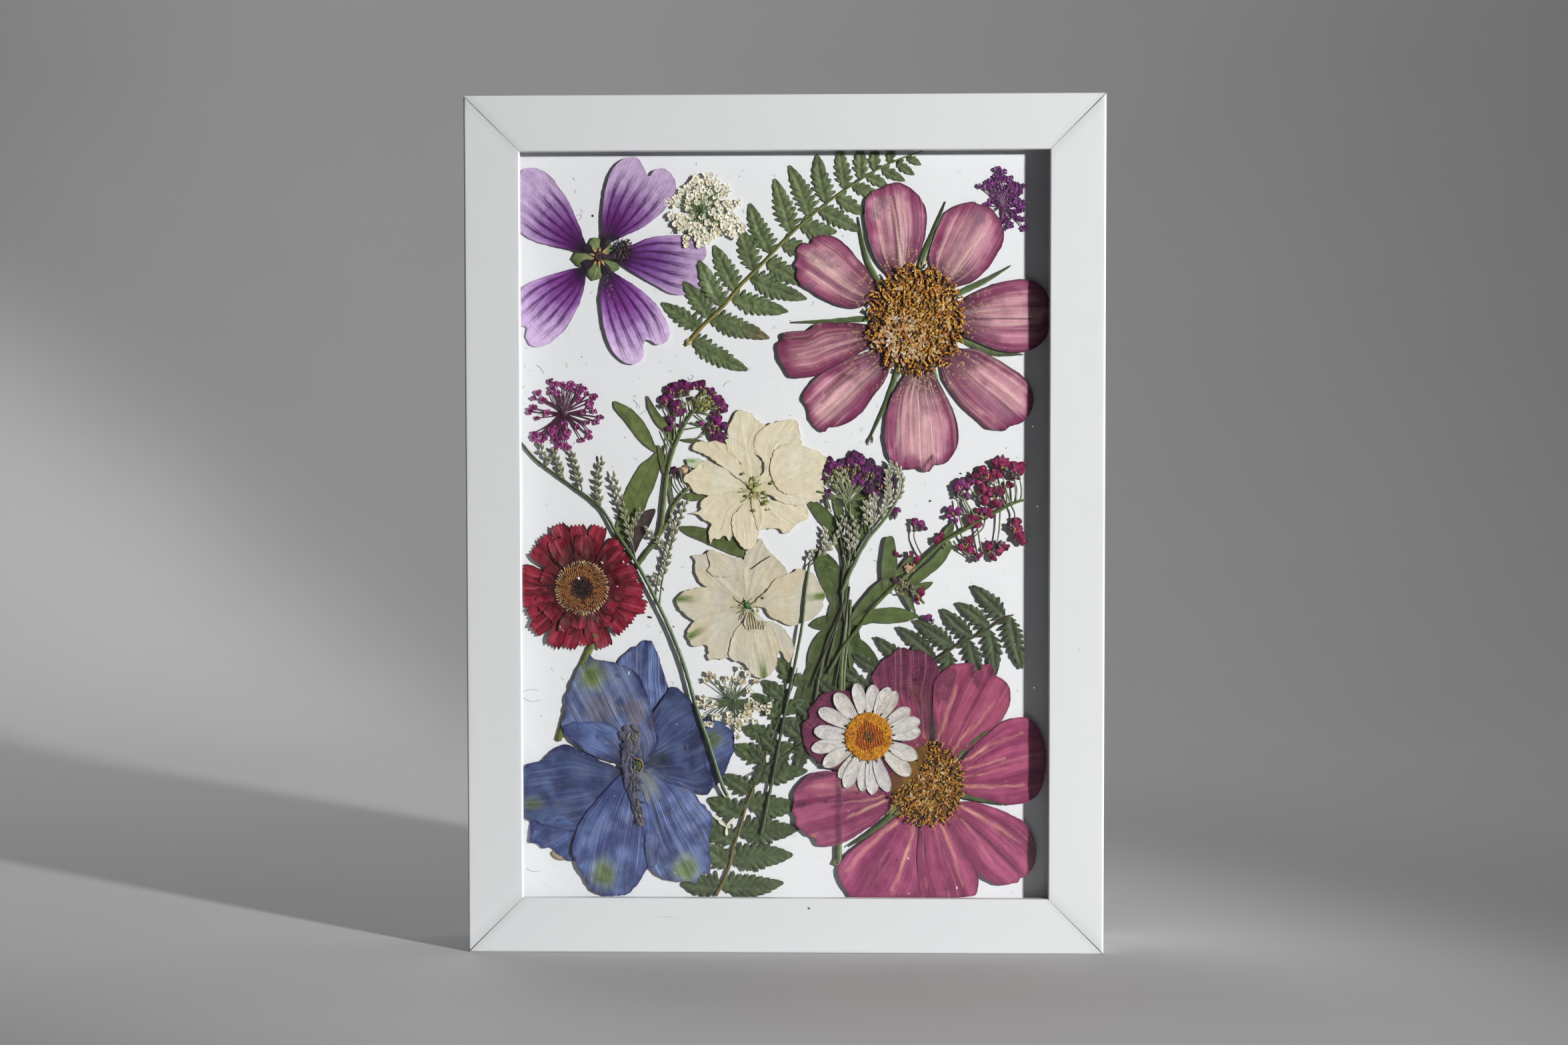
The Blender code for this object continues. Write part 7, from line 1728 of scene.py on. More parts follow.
for i, (outline, tip, w, grey, green) in enumerate(SEPALS):
    def paint(p, s, c, d, i=i, grey=grey, green=green):
        wander = layered(p[:, 0] / 20.0, p[:, 1] / 20.0, 800 + i, 3)
        band = noise(c * 4.0 + i * 2.7, s * 1.0, 810 + i) + 0.6 * noise(c * 10.0 + i, s * 1.4, 820 + i)
        tone = blend(shade(0.265, 0.32, 0.54), shade(0.39, 0.475, 0.70), ease(-0.9, 0.9, 0.55 * band + 1.0 * wander))
        tone = blend(tone, shade(0.52, 0.53, 0.66), grey * (0.7 + 0.6 * wander) + 0.22 * ease(0.2, 0.9, wander) * (1 - ease(0.6, 1.0, s)))
        away = np.linalg.norm(p - BLUE_AT, axis=1)
        tone = blend(tone, shade(0.36, 0.40, 0.34), 0.75 * (1 - ease(10, 52, away + 10 * wander)) * ease(-0.6, 0.4, band))
        tone = blend(tone, shade(0.22, 0.23, 0.46), 0.5 * (1 - ease(18, 62, away + 9 * band)))
        tone = blend(tone, shade(0.22, 0.22, 0.50), 0.70 * (1 - ease(0.6, 5.5, d + 1.5 * wander)))
        tone = blend(tone, shade(0.50, 0.46, 0.44), 0.35 * ease(0.45, 0.9, layered(p[:, 0] / 7.0, p[:, 1] / 7.0, 840 + i, 3)))
        if i == 6:
            tone = blend(tone, shade(0.50, 0.43, 0.42), 0.55 * within_blot(p, 952, 1068, 20, 26, 7, 9))
            tone = blend(tone, shade(0.55, 0.53, 0.56), 0.45 * within_blot(p, 900, 1062, 26, 30, 8, 9))
        if i == 5:
            tone = blend(tone, shade(0.52, 0.54, 0.46), 0.6 * within_blot(p, 972, 1180, 18, 22, 9, 9))
        if i == 4:
            tone = blend(tone, shade(0.28, 0.33, 0.25), 0.6 * within_blot(p, 984, 1142, 20, 16, 10, 7))
        if green is not None:
            u, v, ru, rv = green
            r = np.sqrt(((p[:, 0] - u) / ru) ** 2 + ((p[:, 1] - v) / rv) ** 2) + 0.22 * noise(p[:, 0] / 11.0, p[:, 1] / 11.0, 11 + i)
            tone = blend(tone, shade(0.56, 0.60, 0.44), 0.55 * (1 - ease(0.7, 1.9, r)))
            tone = blend(tone, blend(shade(0.43, 0.50, 0.25), shade(0.34, 0.40, 0.22), ease(-0.5, 0.7, noise(p[:, 0] / 9, p[:, 1] / 9, 9))), 0.9 * (1 - ease(0.45, 1.1, r)))
        return tone

    def mask(p, s, c, d):
        return marks_of(len(p), 0.60 * (1 - ease(0.3, 0.9, s)) + 0.26, 0.20 * ease(0.15, 0.4, s) * (1 - ease(0.85, 1.0, s)))

    def height(p, s, c, d, i=i, w=w):
        away = np.linalg.norm(p - BLUE_AT, axis=1)
        return w + 0.9 * layered(p[:, 0] / 26.0, p[:, 1] / 26.0, 850 + i, 2) * ease(0, 25, away) + 0.5 * near(p, [BLUE_AT, tip], 8)

    add_petal(
        bag, outline, BLUE_AT, tip, paint, height, 860 + i, gap=2.8, pleat=0.72, pleats=8.5, curl=0.9, wave=0.6, mask=mask,
        uneven=1.1, scale=7.0, least=8.0,
    )
    share = {6: (0.87, 0.87, 0.76), 3: (0.49, 0.51, 0.48), 7: (0.83, 0.86, 0.84), 4: (0.34, 0.36, 0.38), 1: (0.58, 0.60, 0.60), 5: (0.92, 0.95, 0.87), 0: (0.88, 0.89, 0.82), 8: (0.80, 0.82, 0.80)}.get(i, (0.7, 0.72, 0.7))
    weight = bag.tone[-1] @ np.array((0.2126, 0.7152, 0.0722))
    spread = np.clip((weight / np.exp(np.log(np.maximum(weight, 1e-3)).mean())) ** 0.34, 0.6, 1.7)
    bag.tone[-1] = bag.tone[-1] * spread[:, None] * np.array(share)
for i, (path, r, tone) in enumerate([
    ([(937, 1090), (946, 1104), (942, 1122), (941, 1140), (944, 1156), (948, 1172), (952, 1190), (955, 1208), (958, 1222), (961, 1236)], (4, 8, 8.5, 7.5, 8.5, 7.5, 7, 6.5, 5.5, 3.5), shade(0.34, 0.345, 0.43)),
    ([(950, 1088), (956, 1100), (955, 1116), (950, 1130)], (3, 5, 5, 3), shade(0.42, 0.40, 0.43)),
    ([(930, 1098), (938, 1108), (948, 1112)], (3, 4.5, 3), shade(0.36, 0.35, 0.42)),
    ([(936, 1150), (941, 1176), (950, 1204)], (2, 3, 2), shade(0.30, 0.28, 0.45)),
    ([(956, 1196), (958, 1216), (962, 1238)], (3, 4, 3), shade(0.52, 0.44, 0.40)),
]):
    path = [(u, v, 7.0 + (0.5 if i else 0)) for u, v in path]
    add_tube(bag, path, r, [tone, tone * 0.8, tone * 1.12, tone * 0.85, tone], sides=14, flat=0.24 if i else 0.26, seed=90 + i, rough=0.42, step=1.8, slot=0, mask=(0.2, 0.3, 0, 1))
for i in range(70):        # crumpled folds on the spur
    t = rng.random()
    u = 941 + 18 * t + rng.gauss(0, 3.6) + (7 if t < 0.15 else 0)
    v = 1092 + 140 * t
    b = 1.35 + rng.gauss(0, 0.6)
    long = 5 + 8 * rng.random()
    tone = blend(shade(0.20, 0.20, 0.31), shade(0.56, 0.53, 0.50), rng.random() ** 1.3)
    add_tube(bag, [(u, v, 9.0), (u + long * 0.5 * math.cos(b) + rng.gauss(0, 0.8), v + long * 0.5 * math.sin(b), 9.4), (u + long * math.cos(b), v + long * math.sin(b), 9.0)], 0.9 + 0.6 * rng.random(), tone, sides=6, flat=0.6, seed=i, rough=0.4)
ring = [(957 + 8 * math.cos(a) * 0.95, 1149 + 10.5 * math.sin(a), 8.4) for a in np.linspace(-1.9, 1.7, 9)]
add_tube(bag, ring, 1.1, shade(0.70, 0.55, 0.38), sides=6, flat=0.7, seed=5, rough=0.25)
# painted shade and highlight: darker green below, lighter green on top
add_bead(bag, (957, 1149, 7.0), 7.0, shade(0.30, 0.38, 0.20), squash=0.2, rings=5, sides=12, stretch=1.0, seed=4, lit_top_tone=shade(0.42, 0.50, 0.28))
for i in range(7):
    a = 2 * math.pi * i / 7
    add_bead(bag, (957 + 3.4 * math.cos(a), 1149 + 3.8 * math.sin(a), 8.4), 1.7, shade(0.36, 0.46, 0.24), squash=0.6, rings=3, sides=6, stretch=1.3, angle=a, seed=i)
add_patch(bag, (829, 1278, 2.6), (846, 1290, 2.6), 10, shade(0.74, 0.66, 0.52), rows=9, cols=6, outline=[(0, 0.5), (0.3, 1), (0.7, 0.8), (1, 0.2)], thick=0.6, seed=7, wave=0.8, tone_edge=shade(0.52, 0.36, 0.24))
piece(bag, "delphinium_pressed", [BLUE], "delphinium", "delphinium", sharp=70.0)

# ----------------------------------------------------------------- larkspurs
CREAM = petal_finish(
    "larkspur_petal", vein=shade(0.74, 0.64, 0.46), lines=5.5, line_width=0.05, branch=0.15, fine=(2.5, 20.0, 0.10),
    mottle=0.07, rough=0.66, relief=0.00013, gloss=0.25,
)
LARK_UP_AT, LARK_LOW_AT = (1129.0, 738.0), (1121.0, 909.0)
LARK_UPPER = [   # outline, tip, height
    ([(1052, 688), (1040, 688), (1029, 689), (1031, 697), (1040, 702), (1056, 704)], (1029, 691), 3.6, "tip"),
    ([(1058, 742), (1044, 739), (1035, 728), (1025, 719), (1035, 708), (1046, 699), (1058, 691), (1080, 700), (1110, 715), (1128, 734), (1110, 742), (1085, 746)], (1030, 716), 4.4, ""),
    ([(1070, 690), (1053, 680), (1038, 673), (1043, 665), (1052, 661), (1060, 663), (1076, 662), (1087, 666), (1094, 676), (1108, 692), (1124, 715), (1127, 730), (1105, 716), (1085, 701)], (1042, 664), 5.0, ""),
    ([(1109, 763), (1100, 774), (1098, 790), (1101, 803), (1107, 813), (1115, 822), (1123, 825), (1133, 819), (1136, 812), (1138, 805), (1136, 785), (1134, 760), (1129, 740), (1118, 750)], (1124, 827), 5.6, ""),
    ([(1126, 738), (1118, 752), (1104, 768), (1097, 785), (1098, 800), (1094, 811), (1086, 803), (1078, 810), (1071, 808), (1066, 816), (1063, 799), (1067, 786), (1055, 779), (1049, 773), (1037, 770), (1050, 766), (1053, 750), (1075, 742), (1105, 736)], (1050, 800), 4.9, ""),
    ([(1170, 753), (1190, 756), (1209, 760), (1213, 777), (1203, 782), (1192, 790), (1184, 799), (1176, 800), (1169, 794), (1153, 793), (1138, 794), (1130, 775), (1128, 745), (1140, 745)], (1190, 800), 4.2, ""),
    ([(1150, 722), (1160, 724), (1175, 734), (1192, 736), (1217, 724), (1232, 713), (1235, 722), (1237, 736), (1238, 748), (1229, 749), (1223, 754), (1216, 752), (1207, 758), (1198, 759), (1184, 757), (1170, 753), (1158, 744), (1134, 738)], (1238, 748), 4.8, ""),
    ([(1106, 616), (1113, 615), (1121, 619), (1128, 621), (1135, 630), (1147, 639), (1142, 648), (1137, 656), (1132, 668), (1134, 683), (1142, 693), (1138, 720), (1130, 736), (1118, 720), (1110, 693), (1098, 687), (1092, 676), (1089, 662), (1091, 648), (1096, 634)], (1108, 614), 4.2, ""),
    ([(1147, 641), (1160, 634), (1173, 631), (1187, 630), (1196, 631), (1199, 643), (1201, 657), (1202, 667), (1190, 680), (1170, 705), (1150, 728), (1134, 738), (1132, 722), (1146, 706), (1144, 690), (1134, 680), (1131, 668), (1136, 652)], (1196, 630), 5.0, ""),
    ([(1155, 700), (1159, 684), (1162, 676), (1173, 669), (1187, 666), (1204, 668), (1218, 674), (1228, 677), (1234, 682), (1240, 688), (1236, 699), (1233, 708), (1234, 716), (1224, 727), (1210, 736), (1196, 741), (1182, 741), (1170, 736), (1161, 724), (1157, 712)], (1240, 690), 6.0, ""),
    ([(1132, 742), (1136, 752), (1142, 764), (1140, 790), (1136, 793), (1131, 775), (1127, 752)], (1138, 794), 6.2, ""),
]
LARK_LOWER = [
    ([(1140, 807), (1146, 816), (1158, 831), (1170, 842), (1177, 851), (1181, 860), (1160, 876), (1140, 892), (1124, 905), (1116, 880), (1112, 858), (1115, 840), (1118, 831), (1124, 823), (1130, 822), (1136, 814)], (1142, 812), 3.4, ""),
    ([(1114, 839), (1100, 836), (1082, 830), (1072, 828), (1067, 825), (1063, 830), (1060, 831), (1048, 832), (1039, 834), (1044, 842), (1042, 851), (1045, 863), (1054, 876), (1070, 884), (1100, 896), (1120, 908), (1118, 880), (1113, 856)], (1044, 838), 3.8, ""),
    ([(1060, 831), (1067, 825), (1082, 830), (1100, 836), (1114, 840), (1112, 852), (1104, 862), (1088, 866), (1070, 864), (1062, 856), (1066, 846)], (1066, 832), 4.9, ""),
    ([(1181, 861), (1190, 858), (1197, 853), (1206, 855), (1221, 861), (1227, 873), (1233, 884), (1238, 893), (1235, 903), (1233, 915), (1226, 922), (1218, 929), (1206, 934), (1194, 937), (1183, 938), (1170, 931), (1156, 926), (1148, 913), (1124, 909), (1140, 896), (1152, 884), (1160, 872), (1170, 866)], (1238, 894), 4.4, "right"),
    ([(1043, 931), (1034, 943), (1031, 952), (1034, 962), (1040, 969), (1049, 969), (1058, 967), (1063, 977), (1061, 986), (1066, 990), (1074, 988), (1082, 989), (1094, 985), (1096, 965), (1108, 940), (1120, 915), (1090, 916), (1064, 922)], (1034, 962), 3.9, "low"),
    ([(1015, 900), (1019, 893), (1033, 885), (1048, 882), (1067, 880), (1090, 888), (1112, 900), (1110, 912), (1096, 916), (1070, 922), (1043, 931), (1033, 926), (1024, 918), (1018, 910)], (1016, 900), 4.8, "left"),
    ([(1153, 931), (1173, 941), (1185, 955), (1191, 971), (1188, 986), (1183, 994), (1175, 983), (1168, 968), (1162, 950), (1148, 936)], (1186, 990), 3.7, ""),
    ([(1094, 986), (1096, 965), (1104, 945), (1116, 932), (1126, 930), (1150, 934), (1164, 950), (1170, 968), (1167, 985), (1164, 1001), (1155, 1013), (1144, 1018), (1130, 1013), (1121, 1001), (1112, 993), (1102, 992)], (1146, 1018), 4.8, "bottom"),
    ([(1118, 925), (1124, 914), (1132, 926), (1142, 938), (1150, 938), (1146, 946), (1134, 949), (1124, 946), (1117, 938)], (1134, 950), 5.9, ""),
]
GREEN_MARKS = {
    "left": [(1018, 898), (1044, 899)], "low": [(1036, 954), (1056, 944)], "bottom": [(1146, 1014), (1142, 986)], "right": [(1234, 894), (1208, 897)],
}


def build_larkspur(name, centre, parts, warm, seed):
    bag = Bag()
    for i, (outline, tip, w, mark) in enumerate(parts):
        def paint(p, s, c, d, i=i, mark=mark):
            wander = layered(p[:, 0] / 22.0, p[:, 1] / 22.0, seed + i, 3)
            tone = blend(shade(0.91, 0.875, 0.785), shade(0.91, 0.855, 0.745), ease(-0.7, 0.8, wander + warm))
            # painted shade: a darker band along each petal's edge
            tone = blend(tone, shade(0.80, 0.70, 0.54), 0.25 * (1 - ease(0.4, 2.6, d)))
            tone = blend(tone, shade(0.82, 0.77, 0.58), 0.35 * (1 - ease(0.1, 0.45, s)))
            if warm < 0:
                tone = blend(tone, shade(0.88, 0.87, 0.83), 0.5 * ease(-0.3, 0.6, noise(p[:, 0] / 30, p[:, 1] / 30, seed + 50 + i)))
            if mark == "tip":
                tone = blend(tone, shade(0.76, 0.83, 0.73), 0.8)
                tone = blend(tone, shade(0.50, 0.62, 0.36), 0.9 * near(p, [(1030, 691), (1040, 692)], 3.5))
            elif mark:
                a, b = np.array(GREEN_MARKS[mark][0], float), np.array(GREEN_MARKS[mark][1], float)
                away = edge_distance(p, np.array([a, b]), closed=False)
                t = np.clip(((p - a) @ (b - a)) / ((b - a) @ (b - a)), 0, 1)
                streaks = 0.5 + 0.5 * noise(((p - a) @ np.array((-(b - a)[1], (b - a)[0]))) / np.linalg.norm(b - a) * 1.1, t * 3, 5)
                tone = blend(tone, shade(0.44, 0.55, 0.22), np.clip((1 - ease(2.5, 8.0, away)) * (1 - 0.8 * t) * (0.6 + 0.8 * streaks), 0, 1))
            return tone

        def mask(p, s, c, d):
            return marks_of(len(p), 0.16 * (1 - ease(0.6, 1.0, s)))

        def height(p, s, c, d, i=i, w=w, tip=tip):
            return w + 0.35 * near(p, [centre, tip], 3.0) * (1 - ease(0.6, 1.0, s)) + 0.22 * layered(p[:, 0] / 8, p[:, 1] / 8, seed + 70 + i, 2)

        add_petal(
            bag, outline, centre, tip, paint, height, seed + 20 + i, gap=2.4, pleat=0.28, pleats=6.0, curl=0.5, wave=0.4, mask=mask,
            uneven=1.1, scale=3.6, least=8.0, thick=0.8,
        )
    return bag


CREAM_SOFT = petal_finish("larkspur_middle", fine=(4.0, 4.0, 0.2), mottle=0.2, rough=0.6, relief=0.0001)
bag = build_larkspur("larkspur_upper", LARK_UP_AT, LARK_UPPER, 0.25, 900)
for i in range(30):
    a = 2 * math.pi * rng.random()
    r = 8 + 16 * rng.random()
    u, v = LARK_UP_AT[0] + r * math.cos(a), LARK_UP_AT[1] + r * math.sin(a) * 0.9
    add_tube(bag, [(LARK_UP_AT[0] + 3 * math.cos(a), LARK_UP_AT[1] + 3 * math.sin(a), 7.0), ((LARK_UP_AT[0] + u) / 2 + rng.gauss(0, 1.5), (LARK_UP_AT[1] + v) / 2, 7.8), (u, v, 7.3)], 0.55, blend(shade(0.86, 0.80, 0.60), shade(0.74, 0.72, 0.48), rng.random()), sides=5, flat=0.8, seed=i, slot=1)
for i, (u, v, r, b) in enumerate([
    (1131, 718, 4.0, 0.8), (1134, 727, 4.6, 0.2), (1130, 736, 4.8, 1.2), (1120, 744, 3.2, 0.5), (1147, 740, 4.2, 1.0), (1149, 746, 3.4, 0.1),
    (1148, 755, 4.0, 1.3), (1151, 752, 3.2, 0.4), (1115, 711, 3.0, 2.6), (1158, 725, 3.2, 0.2), (1131, 766, 3.2, 0.6), (1137, 740, 2.4, 0.9), (1126, 728, 2.2, 0.3), (1154, 764, 2.0, 0.3),
]):
    # painted shade and highlight: each anther is darker below and lighter on top
    add_bead(bag, (u, v, 8.0), r * 0.72, shade(0.42, 0.45, 0.22), squash=0.4, rings=5, sides=8, stretch=1.35, angle=b, seed=i, lumps=0.35, lit_top_tone=shade(0.60, 0.62, 0.36), slot=1)
piece(bag, "larkspur_upper_pressed", [CREAM, CREAM_SOFT], "larkspur_upper", "larkspur_upper", gain=(0.96, 0.98, 0.98), contrast=1.1, sharp=70.0)

bag = build_larkspur("larkspur_lower", LARK_LOW_AT, LARK_LOWER, -0.15, 1000)
for i in range(26):
    a = 2 * math.pi * rng.random()
    r = 9 + 15 * rng.random()
    u, v = LARK_LOW_AT[0] + r * math.cos(a), LARK_LOW_AT[1] + r * math.sin(a)
    add_tube(bag, [(LARK_LOW_AT[0], LARK_LOW_AT[1], 6.2), ((LARK_LOW_AT[0] + u) / 2 + rng.gauss(0, 1.5), (LARK_LOW_AT[1] + v) / 2, 7.0), (u, v, 6.4)], 0.6, blend(shade(0.90, 0.86, 0.70), shade(0.76, 0.74, 0.52), rng.random()), sides=5, flat=0.8, seed=i, slot=1)
for i in range(7):         # the small hood below the middle, with fine ribs
    x = 1124 + 3.6 * i
    add_tube(bag, [(1124 + 1.2 * i, 918, 6.6), (x - 2 + 0.4 * i, 932, 7.2), (x, 944, 6.7)], 0.55, shade(0.80, 0.74, 0.50), sides=5, flat=0.8, seed=i, slot=1)
for i, (u, v, r) in enumerate([(1121, 908, 5.6), (1118, 903, 3.0), (1126, 912, 3.0), (1137, 916, 2.6), (1146, 897, 2.2)]):
    # painted shade and highlight: each bead is darker below and lighter on top
    add_bead(bag, (u, v, 7.0), r, shade(0.24, 0.36, 0.24) if i < 3 else shade(0.70, 0.68, 0.42), squash=0.4, rings=5, sides=9, seed=i, lumps=0.25, lit_top_tone=shade(0.36, 0.50, 0.34) if i < 3 else shade(0.80, 0.76, 0.52), slot=1)
add_tube(bag, [(1127, 854, 5.2), (1140, 844, 5.3), (1156, 834, 5.2)], 0.6, shade(0.20, 0.20, 0.15), sides=5, flat=0.6, seed=3, slot=1)
piece(bag, "larkspur_lower_pressed", [CREAM, CREAM_SOFT], "larkspur_lower", "larkspur_lower", gain=(0.80, 0.80, 0.79), contrast=1.15, sharp=70.0)


# --------------------------------------------------------------------- ferns
def lobed(base, tip, width, lobes, seed, widest=0.15, deep=0.42, lean=0.22, bow=0.0, teeth=0.5, up=1):
    """A leaflet's outline with rounded, finely toothed lobes that lean towards its tip.

    The lobes on the side `up`, nearer the frond's tip, are the larger ones at its base."""
    base, tip = np.asarray(base, float), np.asarray(tip, float)
    run = tip - base
    length = np.linalg.norm(run)
    e = run / length
    n = np.array((-e[1], e[0]))
    rnd = random.Random(seed)

    def half(s):
        grow = min(1.0, (s / widest) ** 0.5) if s < widest else 1.0
        fall = 1.0 if s < widest else max(0.0, 1 - ((s - widest) / (1 - widest)) ** 2.2)
        return width / 2 * (0.07 + 0.93 * grow * fall)

    sides = []
    for sign in (1, -1):
        line = []
        shift = rnd.uniform(-0.15, 0.15) / lobes
        for i in range(lobes):
            big = rnd.uniform(0.92, 1.08)
            low = min(0.94, (deep + (0.94 - deep) * (i / max(lobes - 1, 1)) ** 1.4) * rnd.uniform(0.93, 1.07))
            if sign == up and i == 1:
                low *= 0.72
            for k in range(8):
                t = k / 8
                s = (i + t + lean * math.sin(math.pi * t)) / lobes + shift * (0 < i < lobes - 1)
                s = min(max(s, 0.0), 0.985)
                out = half(s) * (low + (1 - low) * math.sin(math.pi * t**1.3) ** 0.55) * big
                out *= 1.04 + 0.42 * math.exp(-((s / 0.2) ** 2)) if sign == up else 0.38 + 0.62 * min(1.0, s / 0.34)
                out += teeth * math.sin(t * 2 * math.pi * 3.5 + seed) * (out > 2.5)
                line.append((s, sign * out))
        sides.append(line)
    loop = [(0.0, sides[0][0][1])] + sides[0] + [(1.0, 0.0)] + sides[1][::-1]
    s = np.array([a for a, _ in loop])
    c = np.array([b for _, b in loop])
    flat = base + np.outer(s * length, e) + np.outer(c + bow * length * np.sin(np.pi * s), n)
    return flat, e, n, length, half


def add_pinna(bag, base, tip, width, level, seed, green, rachis, lobes=7, gap=2.2, slot=0, bow=0.0, high=None, tinge=None):
    base = np.asarray(base, float)
    run = np.asarray(tip, float) - base
    onward = np.asarray(rachis[-1], float) - np.asarray(rachis[0], float)
    up = 1 if -run[1] * onward[0] + run[0] * onward[1] > 0 else -1
    outline, e, n, length, half = lobed(base, tip, width, lobes, seed, bow=bow, up=up)
    line = even(outline, 1.8)
    points, tris = fill(line, gap, seed)
    s = np.clip((points - base) @ e / length, 0, 1)
    t = (points - base) @ n - bow * length * np.sin(np.pi * s)
    c = t / np.maximum([half(x) for x in s], 2.0)
    d = edge_distance(points, line)
    phase = (s * lobes - 1.5 * (np.abs(c) - 0.7)) % 1.0
    puff = np.sin(np.pi * phase)
    twig = np.abs(((s * lobes - 1.5 * (np.abs(c) - 0.7)) * 3.0 - 1.2 * np.abs(c)) % 1.0 - 0.5)
    w = level + 0.75 * puff * ease(0.05, 0.35, np.abs(c)) - 0.5 * np.exp(-((t / 1.5) ** 2)) + 0.35 * layered(points[:, 0] / 5, points[:, 1] / 5, seed, 2)
    w = w + 0.4 * noise(points[:, 0] / 20, points[:, 1] / 20, seed) - 0.3 * np.exp(-d / 1.4)
    if high is not None:
        w = w + high(points)
    fleck = layered(points[:, 0] / 7.0, points[:, 1] / 7.0, seed + 3, 3)
    # painted light and shade: each lobe is lighter where it bulges up and, below, darker along the hollows between
    # lobes
    tone = blend(green * 0.74, green * 1.26, ease(-0.8, 0.8, fleck + 0.9 * (puff - 0.5)))
    tone = blend(tone, green * 0.58, 0.35 * ease(0.36, 0.5, twig) * ease(0.2, 0.5, np.abs(c)))
    tone = blend(tone, green * 0.38, 0.62 * np.exp(-((np.minimum(phase, 1 - phase) / 0.10) ** 2)) * ease(0.05, 0.3, np.abs(c)))
    tone = blend(tone, green * np.array((0.55, 0.42, 0.30)), 0.62 * np.exp(-((t / 1.1) ** 2)) * (1 - 0.5 * s))
    tone = blend(tone, green * 0.45, 0.5 * np.exp(-d / 0.9))
    if tinge is not None:
        tone = blend(tone, tinge, 0.75 * ease(0.45, 0.95, s + 0.15 * fleck))
    grain = np.stack((s * lobes / 9.0 + 0.02, np.clip(c, -1.2, 1.2), np.full(len(points), seed * 0.61 % 13)), axis=1)
    add_sheet(bag, points, tris, np.clip(w, 0.35, 10.0), 0.55, tone, grain, marks_of(len(points), 0.0), slot)


FERN_LEAF = leaf_finish("fern_leaf", rough=0.55, mottle=0.34, relief=0.00016, gloss=0.4, vein_tint=(0.8, 0.8, 0.7), scale=1700.0)
FERN_STALK = leaf_finish("fern_stalk", rough=0.5, mottle=0.3, relief=0.00009, gloss=0.45, cross=False)
UPPER_RACHIS = [
    (1034, 513), (1053, 491), (1083, 462), (1113, 427), (1145, 395), (1176, 362), (1206, 334), (1251, 297),
    (1291, 270), (1333, 246), (1380, 228), (1396, 222),
]
UPPER_PINNAE = [
    ((1050, 495), (992, 454), 24), ((1064, 478), (1025, 422), 25), ((1083, 460), (1049, 390), 26), ((1104, 438), (1071, 368), 27),
    ((1130, 407), (1109, 340), 27), ((1155, 380), (1125, 305), 27), ((1187, 350), (1162, 268), 27), ((1215, 325), (1184, 248), 26),
    ((1240, 305), (1226, 232), 24), ((1268, 285), (1258, 218), 21), ((1291, 270), (1288, 218), 19), ((1312, 257), (1314, 217), 16),
    ((1334, 246), (1338, 217), 13), ((1037, 512), (1123, 556), 26), ((1065, 482), (1155, 508), 27), ((1098, 450), (1183, 468), 27),
    ((1125, 418), (1211, 449), 27), ((1150, 395), (1205, 428), 25), ((1172, 368), (1222, 378), 24), ((1200, 340), (1256, 348), 24),
    ((1228, 315), (1292, 348), 23), ((1255, 295), (1298, 322), 20), ((1278, 278), (1320, 292), 17), ((1300, 264), (1333, 281), 15),
    ((1322, 253), (1358, 272), 14), ((1345, 243), (1372, 263), 12), ((1360, 236), (1382, 248), 10),
]
LOWER_RACHIS = [
    (1074, 1343), (1086, 1320), (1095, 1296), (1100, 1272), (1109, 1245), (1119, 1211), (1128, 1187), (1138, 1165),
    (1151, 1126), (1161, 1097), (1171, 1072), (1180, 1050), (1189, 1030), (1196, 1002),
]
LOWER_PINNAE = [
    ((1080, 1331), (1022, 1326), 36), ((1094, 1300), (1056, 1268), 36), ((1101, 1264), (1052, 1228), 38), ((1113, 1224), (1062, 1198), 34),
    ((1125, 1190), (1084, 1162), 29), ((1148, 1138), (1101, 1117), 31), ((1158, 1106), (1113, 1091), 27), ((1168, 1078), (1128, 1040), 29),
    ((1180, 1051), (1145, 1020), 27), ((1190, 1026), (1168, 986), 25), ((1083, 1331), (1176, 1324), 36), ((1096, 1293), (1190, 1282), 40),
    ((1107, 1250), (1200, 1243), 38), ((1121, 1206), (1198, 1210), 36), ((1137, 1168), (1212, 1156), 31), ((1152, 1126), (1196, 1120), 27),
    ((1162, 1096), (1200, 1078), 25), ((1172, 1070), (1206, 1050), 23), ((1190, 1026), (1214, 1014), 17),
]
RIGHT_RACHIS = [
    (1520, 922), (1504, 929), (1483, 943), (1460, 956), (1436, 968), (1404, 989), (1350, 1020), (1290, 1060), (1240, 1092),
    (1200, 1118), (1160, 1143), (1118, 1166),
]
RIGHT_PINNAE = [
    ((1508, 924), (1458, 878), 29), ((1485, 941), (1435, 904), 27), ((1459, 955), (1412, 913), 28), ((1433, 971), (1371, 930), 29),
    ((1404, 989), (1346, 940), 29), ((1378, 1003), (1312, 955), 27), ((1345, 1023), (1277, 981), 26), ((1312, 1044), (1253, 996), 24),
    ((1282, 1064), (1222, 1014), 25), ((1240, 1092), (1188, 1050), 27), ((1208, 1112), (1164, 1076), 26), ((1176, 1133), (1140, 1100), 24),
    ((1150, 1148), (1122, 1122), 19),((1516, 925), (1533, 1004), 32), ((1484, 944), (1493, 1014), 29), ((1454, 960), (1470, 1022), 27),
    ((1424, 977), (1430, 1040), 27), ((1394, 996), (1398, 1052), 26), ((1350, 1020), (1352, 1076), 24), ((1300, 1054), (1300, 1104), 22),
    ((1242, 1092), (1226, 1146), 27), ((1212, 1110), (1194, 1160), 26), ((1182, 1130), (1160, 1170), 23), ((1146, 1150), (1130, 1180), 17),
]


def over_mallow(points):
    """The frond's edge lies on the mallow petal beside it."""
    return 2.7 * ease(1072, 1056, points[:, 0]) * ease(352, 366, points[:, 1]) * ease(448, 436, points[:, 1])


